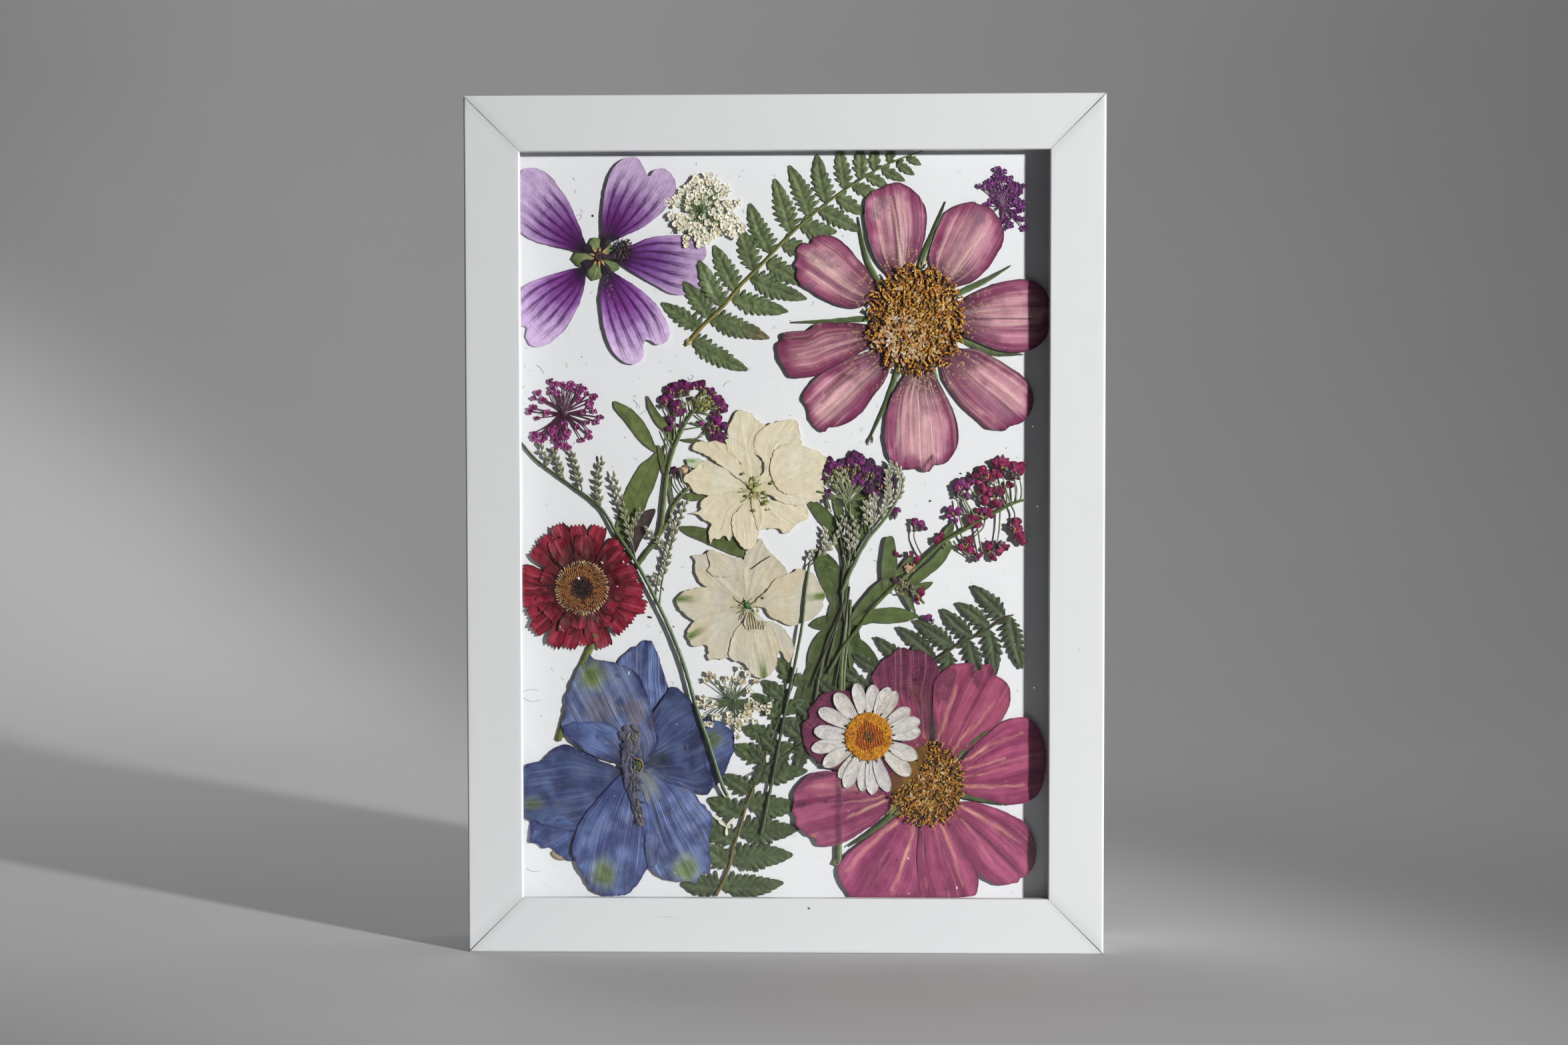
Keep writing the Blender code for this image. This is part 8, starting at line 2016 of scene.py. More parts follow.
bag = Bag()
green = shade(0.37, 0.425, 0.275)
for i, (a, b, wide) in enumerate(UPPER_PINNAE):
    long = math.dist(a, b)
    brown = shade(0.42, 0.34, 0.22) if i == 14 else None
    add_pinna(bag, a, b, wide * 1.32, 1.3 + 0.25 * (i % 3), 1200 + i, green * (0.94 + 0.12 * ((i * 5) % 4) / 3), UPPER_RACHIS, lobes=max(4, round(long / 9.5)), gap=2.4, high=over_mallow, bow=0.03 * math.sin(i * 2.1), tinge=brown)
add_tube(bag, [(u, v, 2.2) for u, v in UPPER_RACHIS], [2.9 - 0.2 * i for i in range(len(UPPER_RACHIS) - 1)] + [0.9], [shade(0.52, 0.46, 0.22), shade(0.45, 0.45, 0.21), shade(0.42, 0.44, 0.22), shade(0.38, 0.43, 0.23)], sides=8, flat=0.5, seed=3, slot=1)
add_bead(bag, (1033, 514, 2.4), 4.6, shade(0.75, 0.68, 0.50), squash=0.4, rings=4, sides=7, stretch=1.3, angle=-0.8, seed=3, lumps=0.4, slot=1)
add_tube(bag, [(1034, 512, 2.2), (1027, 517, 2.0)], (1.6, 0.7), shade(0.30, 0.24, 0.14), sides=6, seed=4, slot=1)
piece(bag, "fern_upper_pressed", [FERN_LEAF, FERN_STALK], "fern_upper", "fern_upper", sharp=65.0)

bag = Bag()
green = shade(0.28, 0.335, 0.20)
for i, (a, b, wide) in enumerate(LOWER_PINNAE):
    long = math.dist(a, b)
    add_pinna(bag, a, b, wide * 1.16, 2.6 + 0.25 * (i % 3), 1300 + i, green * (0.9 + 0.2 * ((i * 7) % 4) / 3), LOWER_RACHIS, lobes=max(4, round(long / 10.5)), gap=2.6, bow=0.03 * math.sin(i * 2.1))
add_tube(bag, [(u, v, 3.7) for u, v in LOWER_RACHIS], [2.7 - 0.15 * i for i in range(len(LOWER_RACHIS))], [shade(0.42, 0.37, 0.19), shade(0.37, 0.34, 0.18), shade(0.32, 0.31, 0.16), shade(0.26, 0.28, 0.14)], sides=8, flat=0.5, seed=5, slot=1)
piece(bag, "fern_lower_pressed", [FERN_LEAF, FERN_STALK], "fern_lower", "fern_lower", sharp=65.0)

bag = Bag()
green = shade(0.235, 0.28, 0.175)
for i, (a, b, wide) in enumerate(RIGHT_PINNAE):
    long = math.dist(a, b)
    low = 4.0 if i < 4 or 13 <= i <= 16 else 3.7
    add_pinna(bag, a, b, wide * 1.06, low + 0.2 * (i % 3), 1400 + i, green * (0.9 + 0.2 * ((i * 7) % 4) / 3), RIGHT_RACHIS, lobes=max(4, round(long / 9.5)), gap=2.6, bow=0.03 * math.sin(i * 2.1))
add_tube(bag, [(u, v, 4.9) for u, v in RIGHT_RACHIS], [1.2, 1.5, 1.7, 1.7, 1.7, 1.7, 1.6, 1.5, 1.4, 1.2, 1.0, 0.8], [shade(0.28, 0.25, 0.15), shade(0.24, 0.26, 0.14), shade(0.23, 0.26, 0.13), shade(0.22, 0.25, 0.13)], sides=8, flat=0.5, seed=6, slot=1)
piece(bag, "fern_right_pressed", [FERN_LEAF, FERN_STALK], "fern_right", "fern_right", sharp=65.0)

# ---------------------------------------------------------- flat flower heads
UMBEL_WHITE = petal_finish("umbel_white_petal", fine=(3.0, 5.0, 0.10), mottle=0.12, rough=0.7, relief=0.00009, gloss=0.2)
UMBEL_PURPLE = petal_finish("umbel_purple_petal", fine=(3.0, 6.0, 0.25), mottle=0.2, rough=0.55, relief=0.00008, gloss=0.4)


def add_floret(bag, u, v, w, r, tone, rnd, petals=5, centre=None, slot=0, edge=None, flatten=1.0):
    turn = rnd.random() * 6
    lean_u, lean_v = rnd.gauss(0, 0.18), rnd.gauss(0, 0.18)
    for k in range(petals):
        a = turn + 2 * math.pi * k / petals + rnd.gauss(0, 0.16)
        reach = r * (0.82 + 0.36 * rnd.random()) * (1 + lean_u * math.cos(a) + lean_v * math.sin(a))
        one = tone * (0.86 + 0.24 * rnd.random())
        add_patch(
            bag, (u + 0.9 * math.cos(a), v + 0.9 * math.sin(a), w), (u + reach * math.cos(a), v + reach * math.sin(a), w + rnd.gauss(0.3, 0.45) * flatten),
            reach * (0.80 + 0.3 * rnd.random()), one, rows=5, cols=4, outline=[(0, 0.3), (0.3, 0.85), (0.65, 1.0), (0.88, 0.8), (1, 0.35)],
            notch=reach * 0.12, cup=0.25, wave=0.6, curl=0.5, thick=0.45, seed=rnd.randrange(999), slot=slot, tone_tip=edge,
        )
    if centre is not None:
        for k in range(3):
            add_bead(bag, (u + rnd.gauss(0, 0.8), v + rnd.gauss(0, 0.8), w + 0.7), 0.9 + 0.4 * rnd.random(), centre * (0.8 + 0.4 * rnd.random()), squash=0.6, rings=3, sides=5, seed=k, slot=slot)


def add_ray(bag, a, b, r, tone, seed, slot):
    mid = ((a[0] + b[0]) / 2 + 1.5 * math.sin(seed), (a[1] + b[1]) / 2 + 1.5 * math.cos(seed * 1.7), (a[2] + b[2]) / 2)
    add_tube(bag, [a, mid, b], (r, r * 0.7), tone, sides=5, flat=0.75, seed=seed, slot=slot, step=3.0)


UPPER_WHITE_FLORETS = [
    (1045, 267), (1061, 267), (1053, 274), (1064, 274), (1072, 274), (1090, 282), (1031, 283), (1044, 283), (1078, 283), (1035, 294), (1047, 293),
    (1066, 288), (1082, 293), (1087, 292), (1015, 296), (1012, 305), (1004, 305), (1032, 303), (1063, 305), (1077, 305), (1107, 305), (1032, 315), (1067, 319), (1077, 312), (1083, 315),
    (1018, 324), (1008, 325), (1028, 326), (1038, 325), (1053, 327), (1075, 326), (1083, 325), (1098, 323), (1095, 333), (1015, 336), (1027, 340),
    (1038, 337), (1048, 337), (1062, 335), (1073, 336), (1083, 334), (1112, 338), (1112, 346), (1086, 341), (1038, 349), (1053, 344), (1058, 352),
    (1070, 347), (1077, 350), (1091, 348), (1099, 352), (1028, 357), (1029, 364), (1047, 359), (1052, 365), (1061, 362),
    (1040, 275), (1056, 284), (1074, 293), (1045, 303), (1056, 296), (1022, 288), (1090, 305), (1096, 312), (1105, 329), (1100, 343), (1066, 357), (1045, 352), (1020, 345), (1024, 331),
]
rng = random.Random(61)
bag = Bag()
hub = (1055.0, 317.0)
cream = shade(0.965, 0.945, 0.885)
for i, (u, v) in enumerate(UPPER_WHITE_FLORETS):
    far = math.dist((u, v), hub)
    low = 4.6 + 1.1 * rng.random()
    if v > 350 and 1020 < u < 1110:
        low = 5.6
    if far > 12:
        tone = [shade(0.36, 0.42, 0.25), shade(0.52, 0.58, 0.38)]
        t = 0.52 + 0.3 * rng.random()
        m = (hub[0] + (u - hub[0]) * t + rng.gauss(0, 2), hub[1] + (v - hub[1]) * t + rng.gauss(0, 2), 4.2)
        add_tube(bag, [(hub[0], hub[1], 4.0), m, (u, v, low)], (0.95, 0.6), tone, sides=5, flat=0.75, seed=i, slot=1, step=3.5)
        if rng.random() < 0.4:
            add_ray(bag, m, (u + rng.gauss(0, 6), v + rng.gauss(0, 6), low), 0.7, shade(0.42, 0.48, 0.30), i, 1)
    add_floret(bag, u, v, low, (5.4 if far < 34 else 6.3) * (0.85 + 0.3 * rng.random()), cream if rng.random() < 0.85 else shade(0.93, 0.89, 0.78), rng, centre=shade(0.86, 0.80, 0.62), slot=0)
for i in range(40):        # small buds and seeds between the florets
    a, r = rng.random() * 2 * math.pi, 10 + 36 * math.sqrt(rng.random())
    u, v = hub[0] + r * math.cos(a), hub[1] + r * math.sin(a) * 0.95
    tone = shade(0.74, 0.60, 0.38) if rng.random() < 0.22 else shade(0.92, 0.89, 0.78)
    add_bead(bag, (u, v, 4.6 + rng.random()), 1.3 + 0.8 * rng.random(), tone, squash=0.6, rings=3, sides=5, stretch=1.3, angle=a, seed=i, slot=0)
for i in range(16):
    a = 2 * math.pi * i / 16 + rng.gauss(0, 0.1)
    add_tube(bag, [(hub[0], hub[1], 6.3), (hub[0] + 11 * math.cos(a), hub[1] + 10 * math.sin(a), 5.8)], (0.7, 0.4), shade(0.34, 0.44, 0.28), sides=5, flat=0.7, seed=i, slot=1)
add_bead(bag, (hub[0], hub[1], 6.2), 4.5, shade(0.34, 0.44, 0.28), squash=0.3, rings=4, sides=8, seed=1, lumps=0.3, slot=1)
for u, v in [(1072, 288), (1036, 349), (1090, 345), (1035, 318), (1055, 349), (1044, 331), (1070, 330), (1065, 297)]:
    for k in range(4):
        a = rng.random() * 6
        add_tube(bag, [(u, v, 6.2), (u + 6.5 * math.cos(a), v + 6.5 * math.sin(a), 6.2)], (0.8, 0.45), shade(0.38, 0.46, 0.28), sides=5, flat=0.7, seed=k, slot=1)
piece(bag, "umbel_white_upper_pressed", [UMBEL_WHITE, STEM_GREEN], "umbel_white_upper", "umbel_white_upper", sharp=65.0)

LOWER_WHITE_FLORETS = [
    (1064, 1011), (1054, 1045), (1051, 1055), (1060, 1060), (1054, 1075), (1056, 1087), (1066, 1086), (1073, 1055), (1072, 1075), (1078, 1075),
    (1090, 1031), (1092, 1017), (1104, 1018), (1111, 1002), (1113, 1024), (1122, 1012), (1135, 1022), (1124, 1037), (1127, 1051), (1121, 1060),
    (1134, 1056), (1136, 1064), (1130, 1066), (1154, 1057), (1152, 1068), (1134, 1082), (1122, 1073), (1118, 1082), (1112, 1075), (1095, 1073),
    (1095, 1083), (1103, 1082), (1107, 1087), (1107, 1094), (1107, 1106), (1070, 1015), (1060, 1020), (1084, 1022), (1146, 1062), (1060, 1050), (1066, 1060),
]
bag = Bag()
hub = (1101.0, 1050.0)
paper = shade(0.94, 0.925, 0.865)
for i, (u, v) in enumerate(LOWER_WHITE_FLORETS):
    far = math.dist((u, v), hub)
    low = 5.9 + 0.9 * rng.random()
    if far > 10:
        add_tube(bag, [(hub[0], hub[1], 5.6), (hub[0] + (u - hub[0]) * 0.6 + rng.gauss(0, 1.6), hub[1] + (v - hub[1]) * 0.6 + rng.gauss(0, 1.6), 5.7), (u, v, low)], (0.95, 0.6), [shade(0.32, 0.40, 0.26), shade(0.48, 0.54, 0.38)], sides=5, flat=0.75, seed=i, slot=1, step=3.5)
    add_floret(bag, u, v, low, 5.0 * (0.8 + 0.4 * rng.random()), paper if rng.random() < 0.8 else shade(0.86, 0.81, 0.68), rng, centre=shade(0.68, 0.61, 0.43), slot=0)
for i in range(26):
    a = 2 * math.pi * i / 26 + rng.gauss(0, 0.12)
    r = 12 + 16 * rng.random()
    add_tube(bag, [(hub[0], hub[1], 6.1), (hub[0] + r * math.cos(a), hub[1] + r * math.sin(a), 5.9)], (0.85, 0.4), shade(0.36, 0.45, 0.30), sides=5, flat=0.7, seed=i, slot=1)
add_bead(bag, (hub[0], hub[1], 6.2), 3.6, shade(0.34, 0.44, 0.30), squash=0.3, rings=4, sides=8, seed=1, lumps=0.3, slot=1)
for i, (u, v) in enumerate([(1086, 1236), (1092, 1240), (1090, 1246), (1084, 1232), (1094, 1234)]):   # a fallen floret on the fern
    add_patch(bag, (1090, 1240, 5.8), (u + 2 * (u - 1090), v + 1.2 * (v - 1240), 6.1), 4.6, paper, rows=5, cols=4, outline=[(0, 0.3), (0.4, 0.9), (0.75, 1), (1, 0.5)], thick=0.45, wave=0.6, seed=i, slot=0)
piece(bag, "umbel_white_lower_pressed", [UMBEL_WHITE, STEM_GREEN], "umbel_white_lower", "umbel_white_lower", gain=(0.80, 0.79, 0.78), contrast=1.25, sharp=65.0)

LEFT_PURPLE_FLORETS = [
    (826, 571), (834, 575), (829, 583), (802, 597), (808, 590), (801, 612), (796, 617), (806, 627), (822, 620), (846, 578), (851, 582), (858, 576),
    (872, 581), (879, 583), (868, 588), (883, 591), (891, 596), (886, 603), (886, 611), (876, 618), (893, 617), (902, 626), (896, 633), (882, 634),
    (867, 641), (885, 647), (885, 655), (874, 660), (854, 648), (850, 654), (847, 637), (834, 643), (825, 647), (802, 650), (800, 657), (812, 653),
    (812, 662), (818, 657), (833, 654), (832, 661), (839, 659), (840, 667), (847, 669), (852, 672), (834, 675), (861, 584), (868, 598), (838, 588), (815, 600), (826, 590),
]
bag = Bag()
hub = (846.0, 620.0)
dark = shade(0.22, 0.08, 0.17)
for i, (u, v) in enumerate(LEFT_PURPLE_FLORETS):
    far = math.dist((u, v), hub)
    low = 2.4 + 1.0 * rng.random()
    add_tube(bag, [(hub[0] + 2 * math.sin(i), hub[1] + 2 * math.cos(i), 2.4), (hub[0] + (u - hub[0]) * 0.6 + rng.gauss(0, 1.4), hub[1] + (v - hub[1]) * 0.6 + rng.gauss(0, 1.4), 2.2), (u, v, low)], (1.3, 0.75), [dark, shade(0.36, 0.14, 0.28)], sides=5, flat=0.75, seed=i, slot=1, step=3.5)
    tone = shade(0.58, 0.20, 0.47) if rng.random() < 0.7 else shade(0.42, 0.12, 0.36)
    add_floret(bag, u, v, low, 4.6 * (0.8 + 0.45 * rng.random()), tone, rng, centre=shade(0.30, 0.08, 0.22), slot=0, edge=shade(0.70, 0.32, 0.60))
for i in range(9):
    a = 2 * math.pi * i / 9 + rng.gauss(0, 0.15)
    r = 8 + 10 * rng.random()
    add_tube(bag, [(hub[0], hub[1], 3.4), (hub[0] + r * math.cos(a), hub[1] + r * math.sin(a), 2.8)], (1.5, 0.8), dark * (0.8 + 0.5 * rng.random()), sides=5, flat=0.7, seed=i, slot=1)
add_bead(bag, (hub[0], hub[1], 3.3), 5.5, dark, squash=0.3, rings=4, sides=9, seed=1, lumps=0.3, slot=1)
piece(bag, "umbel_purple_left_pressed", [UMBEL_PURPLE, STEM_GREEN], "umbel_purple_left", "umbel_purple_left", sharp=65.0)

CORNER_PURPLE_FLORETS = [
    (1497, 256), (1507, 258), (1498, 262), (1480, 274), (1488, 271), (1470, 279), (1481, 281), (1490, 280), (1507, 267), (1516, 268), (1519, 275),
    (1524, 279), (1529, 286), (1534, 279), (1513, 279), (1497, 278), (1491, 290), (1500, 291), (1495, 296), (1487, 303), (1479, 307), (1514, 289),
    (1514, 299), (1518, 308), (1524, 295), (1529, 299), (1527, 307), (1534, 304), (1533, 315), (1525, 317), (1521, 324), (1527, 328), (1534, 329),
    (1535, 341), (1513, 331), (1516, 338), (1506, 344), (1506, 331), (1504, 268), (1494, 268), (1506, 285), (1520, 285), (1510, 295), (1527, 290),
]
bag = Bag()
hub = (1503.0, 309.0)
dark = shade(0.24, 0.06, 0.26)
for i, (u, v) in enumerate(CORNER_PURPLE_FLORETS):
    low = 2.4 + 1.0 * rng.random()
    if u < 1512 and v > 285:
        low = 2.2
    add_tube(bag, [(hub[0], hub[1], 2.2), (hub[0] + (u - hub[0]) * 0.6 + rng.gauss(0, 1.3), hub[1] + (v - hub[1]) * 0.6 + rng.gauss(0, 1.3), 2.1), (u, v, low)], (1.1, 0.7), [dark, shade(0.42, 0.14, 0.44)], sides=5, flat=0.75, seed=i, slot=1, step=3.5)
    tone = shade(0.47, 0.15, 0.56) if rng.random() < 0.7 else shade(0.34, 0.09, 0.44)
    add_floret(bag, u, v, low, 4.7 * (0.8 + 0.45 * rng.random()), tone, rng, centre=shade(0.26, 0.06, 0.30), slot=0, edge=shade(0.58, 0.24, 0.66))
for i in range(16):
    a = 2 * math.pi * i / 16 + rng.gauss(0, 0.15)
    r = 8 + 9 * rng.random()
    add_tube(bag, [(hub[0], hub[1], 3.0), (hub[0] + r * math.cos(a), hub[1] + r * math.sin(a), 2.6)], (1.1, 0.6), shade(0.44, 0.18, 0.44) * (0.7 + 0.5 * rng.random()), sides=5, flat=0.7, seed=i, slot=1)
piece(bag, "umbel_purple_corner_pressed", [UMBEL_PURPLE, STEM_GREEN], "umbel_purple_corner", "umbel_purple_corner", gain=(0.62, 0.50, 0.48), contrast=1.2, sharp=65.0)


# ------------------------------------------------------------------- alyssum
ALYSSUM_LEAF = leaf_finish("alyssum_leaf", rough=0.5, mottle=0.24, relief=0.00010, gloss=0.5, vein_tint=(0.72, 0.74, 0.7), scale=1500.0)
ALYSSUM_PETAL = petal_finish("alyssum_petal", fine=(2.5, 7.0, 0.40), mottle=0.36, rough=0.6, relief=0.00016, gloss=0.3)


def add_leaf(bag, outline, base, tip, green, w, seed, slot=0, edge=None, gap=2.3, spotty=0.0, fold=0.5, high=None):
    """A broad pressed leaf over its outline, its middle vein sunk."""
    line = ragged(curve(outline, gap * 0.9), 0.35, 5.0, seed)
    points, tris = fill(line, gap, seed)
    s, c = along_petal(points, line, base, tip, 2.5)
    d = edge_distance(points, line)
    z = w - fold * np.exp(-((c / 0.16) ** 2)) * (1 - s) + 0.35 * layered(points[:, 0] / 12, points[:, 1] / 12, seed, 2) + 0.4 * np.exp(-d / 2.2)
    if high is not None:
        z = z + high(points)
    tone = blend(green * 0.86, green * 1.18, ease(-0.8, 0.8, layered(points[:, 0] / 9, points[:, 1] / 9, seed + 1, 3)))
    tone = blend(tone, green * 0.55, 0.6 * np.exp(-((c / 0.07) ** 2)) * (1 - ease(0.7, 1.0, s)))
    tone = blend(tone, shade(0.26, 0.20, 0.20) if edge is None else edge, 0.65 * np.exp(-d / 1.1))
    if spotty:
        tone = blend(tone, green * 0.4, spotty * ease(0.35, 0.8, layered(points[:, 0] / 4, points[:, 1] / 4, seed + 7, 2)))
    grain = np.stack((s, c, np.full(len(points), seed * 0.37 % 11)), axis=1)
    add_sheet(bag, points, tris, np.clip(z, 0.35, 10.0), 0.6, tone, grain, marks_of(len(points), 0.55 * (1 - s)), slot)


def blade_of(base, tip, width, widest=0.5, neck=0.15, bow=0.0):
    """A lens leaf's outline between two points."""
    base, tip = np.asarray(base, float), np.asarray(tip, float)
    run = tip - base
    n = np.array((-run[1], run[0])) / np.linalg.norm(run)
    out = []
    for sign in (1, -1):
        side = []
        for s in (0.0, 0.12, 0.28, 0.46, 0.64, 0.8, 0.93):
            h = neck + (1 - neck) * math.sin(math.pi * min(1, s / widest) / 2) if s < widest else math.cos(math.pi / 2 * (s - widest) / (1 - widest)) ** 0.8
            side.append(tuple(base + run * s + n * (sign * width / 2 * h + bow * np.linalg.norm(run) * math.sin(math.pi * s))))
        out.append(side)
    return out[0] + [tuple(tip)] + out[1][::-1]


def add_blob(bag, u, v, r, w, tone, rnd, slot=0, pale=None, folds=3):
    """A small crumpled rounded petal, painted lighter on its raised folds and on its side towards the light, and darker
    in its hollows and round its rim: painted light and shade.
    """
    turn = rnd.random() * 6.28
    loop = []
    for k in range(14):
        a = 2 * math.pi * k / 14
        q = 1.1 * r * (1 + 0.17 * math.sin(2 * a + turn) + 0.15 * math.sin(3 * a + 2 * turn) + 0.10 * rnd.gauss(0, 1))
        loop.append((u + q * math.cos(a), v + q * math.sin(a) * 0.95))
    line = curve(loop, 1.5)
    points, tris = fill(line, 2.05, rnd.randrange(900))
    away = np.linalg.norm(points - (u, v), axis=1) / r
    a = np.arctan2(points[:, 1] - v, points[:, 0] - u)
    k = rnd.random() * 9
    crease = layered(points[:, 0] / 4.2 + k, points[:, 1] / 4.2, int(k * 90), 2)
    z = w + 0.45 * (1 - away**2) + 1.15 * crease * ease(0, 0.4, away)
    # painted light and shade: colour follows the crumpled height and is lighter towards the upper right, where the
    # light comes from
    colour = blend(tone * 0.45, tone * 1.5, ease(-0.7, 0.8, crease + 0.45 * np.cos(a + 0.3)))
    # painted shade round the rim
    colour = blend(colour, tone * 0.22, 0.85 * ease(0.76, 1.0, away))
    if pale is not None:
        colour = blend(colour, pale, 0.75 * ease(0.25, 0.75, crease + 0.3 * np.sin(a * folds + k)) * ease(1.0, 0.6, away))
    grain = np.stack((away, a / 3, np.full(len(points), k)), axis=1)
    add_sheet(bag, points, tris, np.clip(z, 0.6, 10.0), 0.6, colour, grain, (0, 0, 0, 1), slot)


def add_calyx(bag, u, v, r, w, rnd, slot=0, tone=None):
    tone = (shade(0.27, 0.22, 0.20) if tone is None else tone) * np.array((0.8, 0.66, 0.74))
    for k in range(5):
        a = rnd.random() * 6.28
        add_bead(bag, (u + 0.5 * r * math.cos(a), v + 0.5 * r * math.sin(a), w), r * (0.4 + 0.25 * rnd.random()), tone * (0.7 + 0.7 * rnd.random()), squash=0.55, rings=4, sides=6, stretch=1.6, angle=a, seed=rnd.randrange(99), lumps=0.3, slot=slot)


def bits(bag, u, v, w, rnd, count, spread, tone, r=0.9, slot=0, stretch=1.5):
    for _ in range(count):
        add_bead(bag, (u + rnd.gauss(0, spread), v + rnd.gauss(0, spread), w + 0.5 * rnd.random()), r * (0.7 + 0.6 * rnd.random()), tone * (0.8 + 0.4 * rnd.random()), squash=0.6, rings=3, sides=5, stretch=stretch, angle=rnd.random() * 6, seed=rnd.randrange(99), slot=slot)


OLIVE = shade(0.375, 0.425, 0.225)
STALK = shade(0.40, 0.44, 0.28)
# --- left sprig
rng = random.Random(71)
bag = Bag()
add_leaf(bag, [(921, 602), (933, 606), (945, 612), (961, 627), (973, 645), (981, 663), (986, 679), (971, 671), (957, 657), (944, 640), (932, 625), (923, 614)], (986, 680), (922, 603), OLIVE, 1.8, 1, slot=0)
add_leaf(bag, [(971, 594), (976, 600), (983, 611), (991, 623), (1002, 632), (1012, 641), (1017, 651), (1013, 668), (1006, 662), (996, 648), (985, 636), (977, 622), (971, 606)], (1012, 668), (971, 595), OLIVE * 0.92, 2.2, 2, slot=0)
add_leaf(bag, [(988, 676), (976, 686), (962, 697), (952, 712), (942, 730), (934, 750), (928, 770), (924, 792), (924, 812), (930, 822), (944, 812), (954, 792), (966, 768), (974, 746), (982, 730), (988, 710), (994, 688)], (990, 676), (926, 818), OLIVE * 1.0, 1.5, 3, slot=0)
add_leaf(bag, [(987, 667), (993, 674), (1000, 686), (1004, 700), (1006, 716), (1009, 738), (1012, 756), (1008, 758), (1003, 738), (997, 716), (992, 702), (988, 686)], (1010, 758), (988, 668), OLIVE * 0.88, 2.6, 4, slot=0)
add_leaf(bag, [(983, 764), (972, 765), (962, 774), (952, 794), (944, 816), (936, 836), (948, 840), (956, 824), (966, 804), (976, 786)], (940, 840), (983, 764), shade(0.235, 0.165, 0.175), 2.0, 5, slot=0, edge=shade(0.14, 0.09, 0.10))
add_leaf(bag, [(1019, 791), (1036, 789), (1052, 791), (1066, 795), (1086, 802), (1106, 811), (1120, 824), (1120, 836), (1104, 834), (1086, 827), (1066, 818), (1046, 809), (1030, 802)], (1020, 792), (1120, 834), shade(0.31, 0.36, 0.175), 1.9, 6, slot=0)
add_leaf(bag, blade_of((1020, 660), (1058, 663), 7, 0.5, 0.1), (1020, 660), (1058, 663), OLIVE, 2.0, 7, slot=0)
add_leaf(bag, blade_of((1022, 744), (1060, 746), 13, 0.5, 0.2), (1022, 744), (1060, 746), OLIVE * 0.9, 1.9, 8, slot=0)
add_tube(bag, [(952, 854, 2.4), (968, 832, 2.6), (985, 810, 2.8), (992, 788, 3.0), (996, 752, 3.2), (999, 722, 3.2), (1004, 696, 3.2), (1012, 670, 3.2), (1021, 650, 3.2), (1031, 630, 3.2), (1044, 613, 3.4), (1054, 600, 3.6)], [3.5, 3.7, 3.9, 4.0, 3.8, 3.6, 3.3, 3.0, 2.7, 2.5, 2.1, 1.4], [STALK * 0.66, STALK * 0.84, STALK * 0.76, STALK * 0.9], sides=10, flat=0.38, seed=1, slot=1, keel=0.3)
add_tube(bag, [(985, 808, 3.4), (1000, 786, 3.4), (1010, 760, 3.4), (1022, 744, 3.4), (1033, 732, 3.4)], (3.6, 2.6), [STALK * 0.85, STALK], sides=9, flat=0.4, seed=2, slot=1, keel=0.3)
for i, run in enumerate([
    [(1021, 660), (1040, 659), (1052, 655), (1059, 646)], [(1029, 644), (1042, 642), (1053, 640)], [(1035, 634), (1046, 637), (1054, 641)],
    [(1045, 622), (1052, 628), (1060, 634)], [(1015, 652), (1013, 636), (1014, 622)], [(1011, 660), (1010, 636), (1003, 622), (997, 610)],
    [(1025, 634), (1026, 618), (1024, 600)], [(1031, 624), (1028, 610), (1022, 596)], [(1039, 616), (1037, 606), (1034, 596)], [(1018, 652), (1009, 640), (1006, 632)],
    [(1048, 606), (1050, 598), (1052, 590)], [(1050, 606), (1058, 600), (1064, 594)], [(1046, 612), (1060, 608), (1072, 606)], [(1044, 618), (1058, 620), (1070, 624)],
    [(1000, 682), (1001, 668), (1003, 652)], [(1006, 672), (998, 656), (994, 646)], [(998, 668), (1000, 680), (998, 690)], [(1013, 712), (1012, 722), (1018, 734), (1024, 742)], [(1021, 714), (1024, 724), (1030, 734)],
]):
    add_tube(bag, [(u, v, 3.9) for u, v in run], (1.25, 0.85), [STALK * 0.85, STALK * 1.15], sides=6, flat=0.7, seed=i, slot=1, step=3.0)
for i in range(46):        # the fan of green calyces in the middle
    u, v = 1056 + rng.gauss(0, 9), 604 + rng.gauss(0, 9)
    a = math.atan2(v - 622, u - 1042)
    add_bead(bag, (u, v, 4.0 + rng.random()), 1.7 + rng.random(), blend(shade(0.34, 0.36, 0.16), shade(0.56, 0.56, 0.32), rng.random()), squash=0.5, rings=4, sides=6, stretch=1.8, angle=a, seed=i, lumps=0.3, slot=1)
for u, v in [(1024, 587), (1032, 590), (995, 609), (1018, 592), (1070, 590), (1062, 640), (1066, 634), (1069, 642), (1078, 620), (1071, 612), (1063, 648), (1040, 598), (1020, 613), (1012, 620), (1076, 645)]:
    add_calyx(bag, u, v, 4.2, 4.4, rng, 1, shade(0.29, 0.25, 0.18))
LEFT_BLOBS = [
    (1005, 585, 6.5), (1016, 579, 8.5), (1031, 579, 8.5), (1045, 578, 5.5), (1053, 577, 6.5), (1064, 586, 6.5), (996, 600, 6.5), (1006, 596, 7), (1013, 608, 8.5),
    (1019, 618, 6.5), (1026, 616, 4.5), (1006, 630, 6.5), (1006, 643, 5.5), (1017, 638, 3.5), (1075, 598, 6.5), (1083, 606, 7.5), (1085, 613, 7), (1073, 624, 7.5),
    (1077, 631, 8), (1087, 639, 6), (1053, 635, 4.2), (1068, 647, 7), (1073, 656, 8), (1083, 653, 7.5), (1080, 662, 5.5), (1012, 706, 5.5), (1007, 709, 3.5), (1069, 603, 5),
]
for i, (u, v, r) in enumerate(LEFT_BLOBS):
    tone = (shade(0.38, 0.065, 0.32) if i % 3 else shade(0.48, 0.10, 0.40)) * (0.55 + 0.6 * rng.random())
    add_blob(bag, u, v, r, 4.2 + 0.7 * rng.random(), tone, rng, 2, pale=shade(0.70, 0.34, 0.60) if i % 5 == 0 else None)
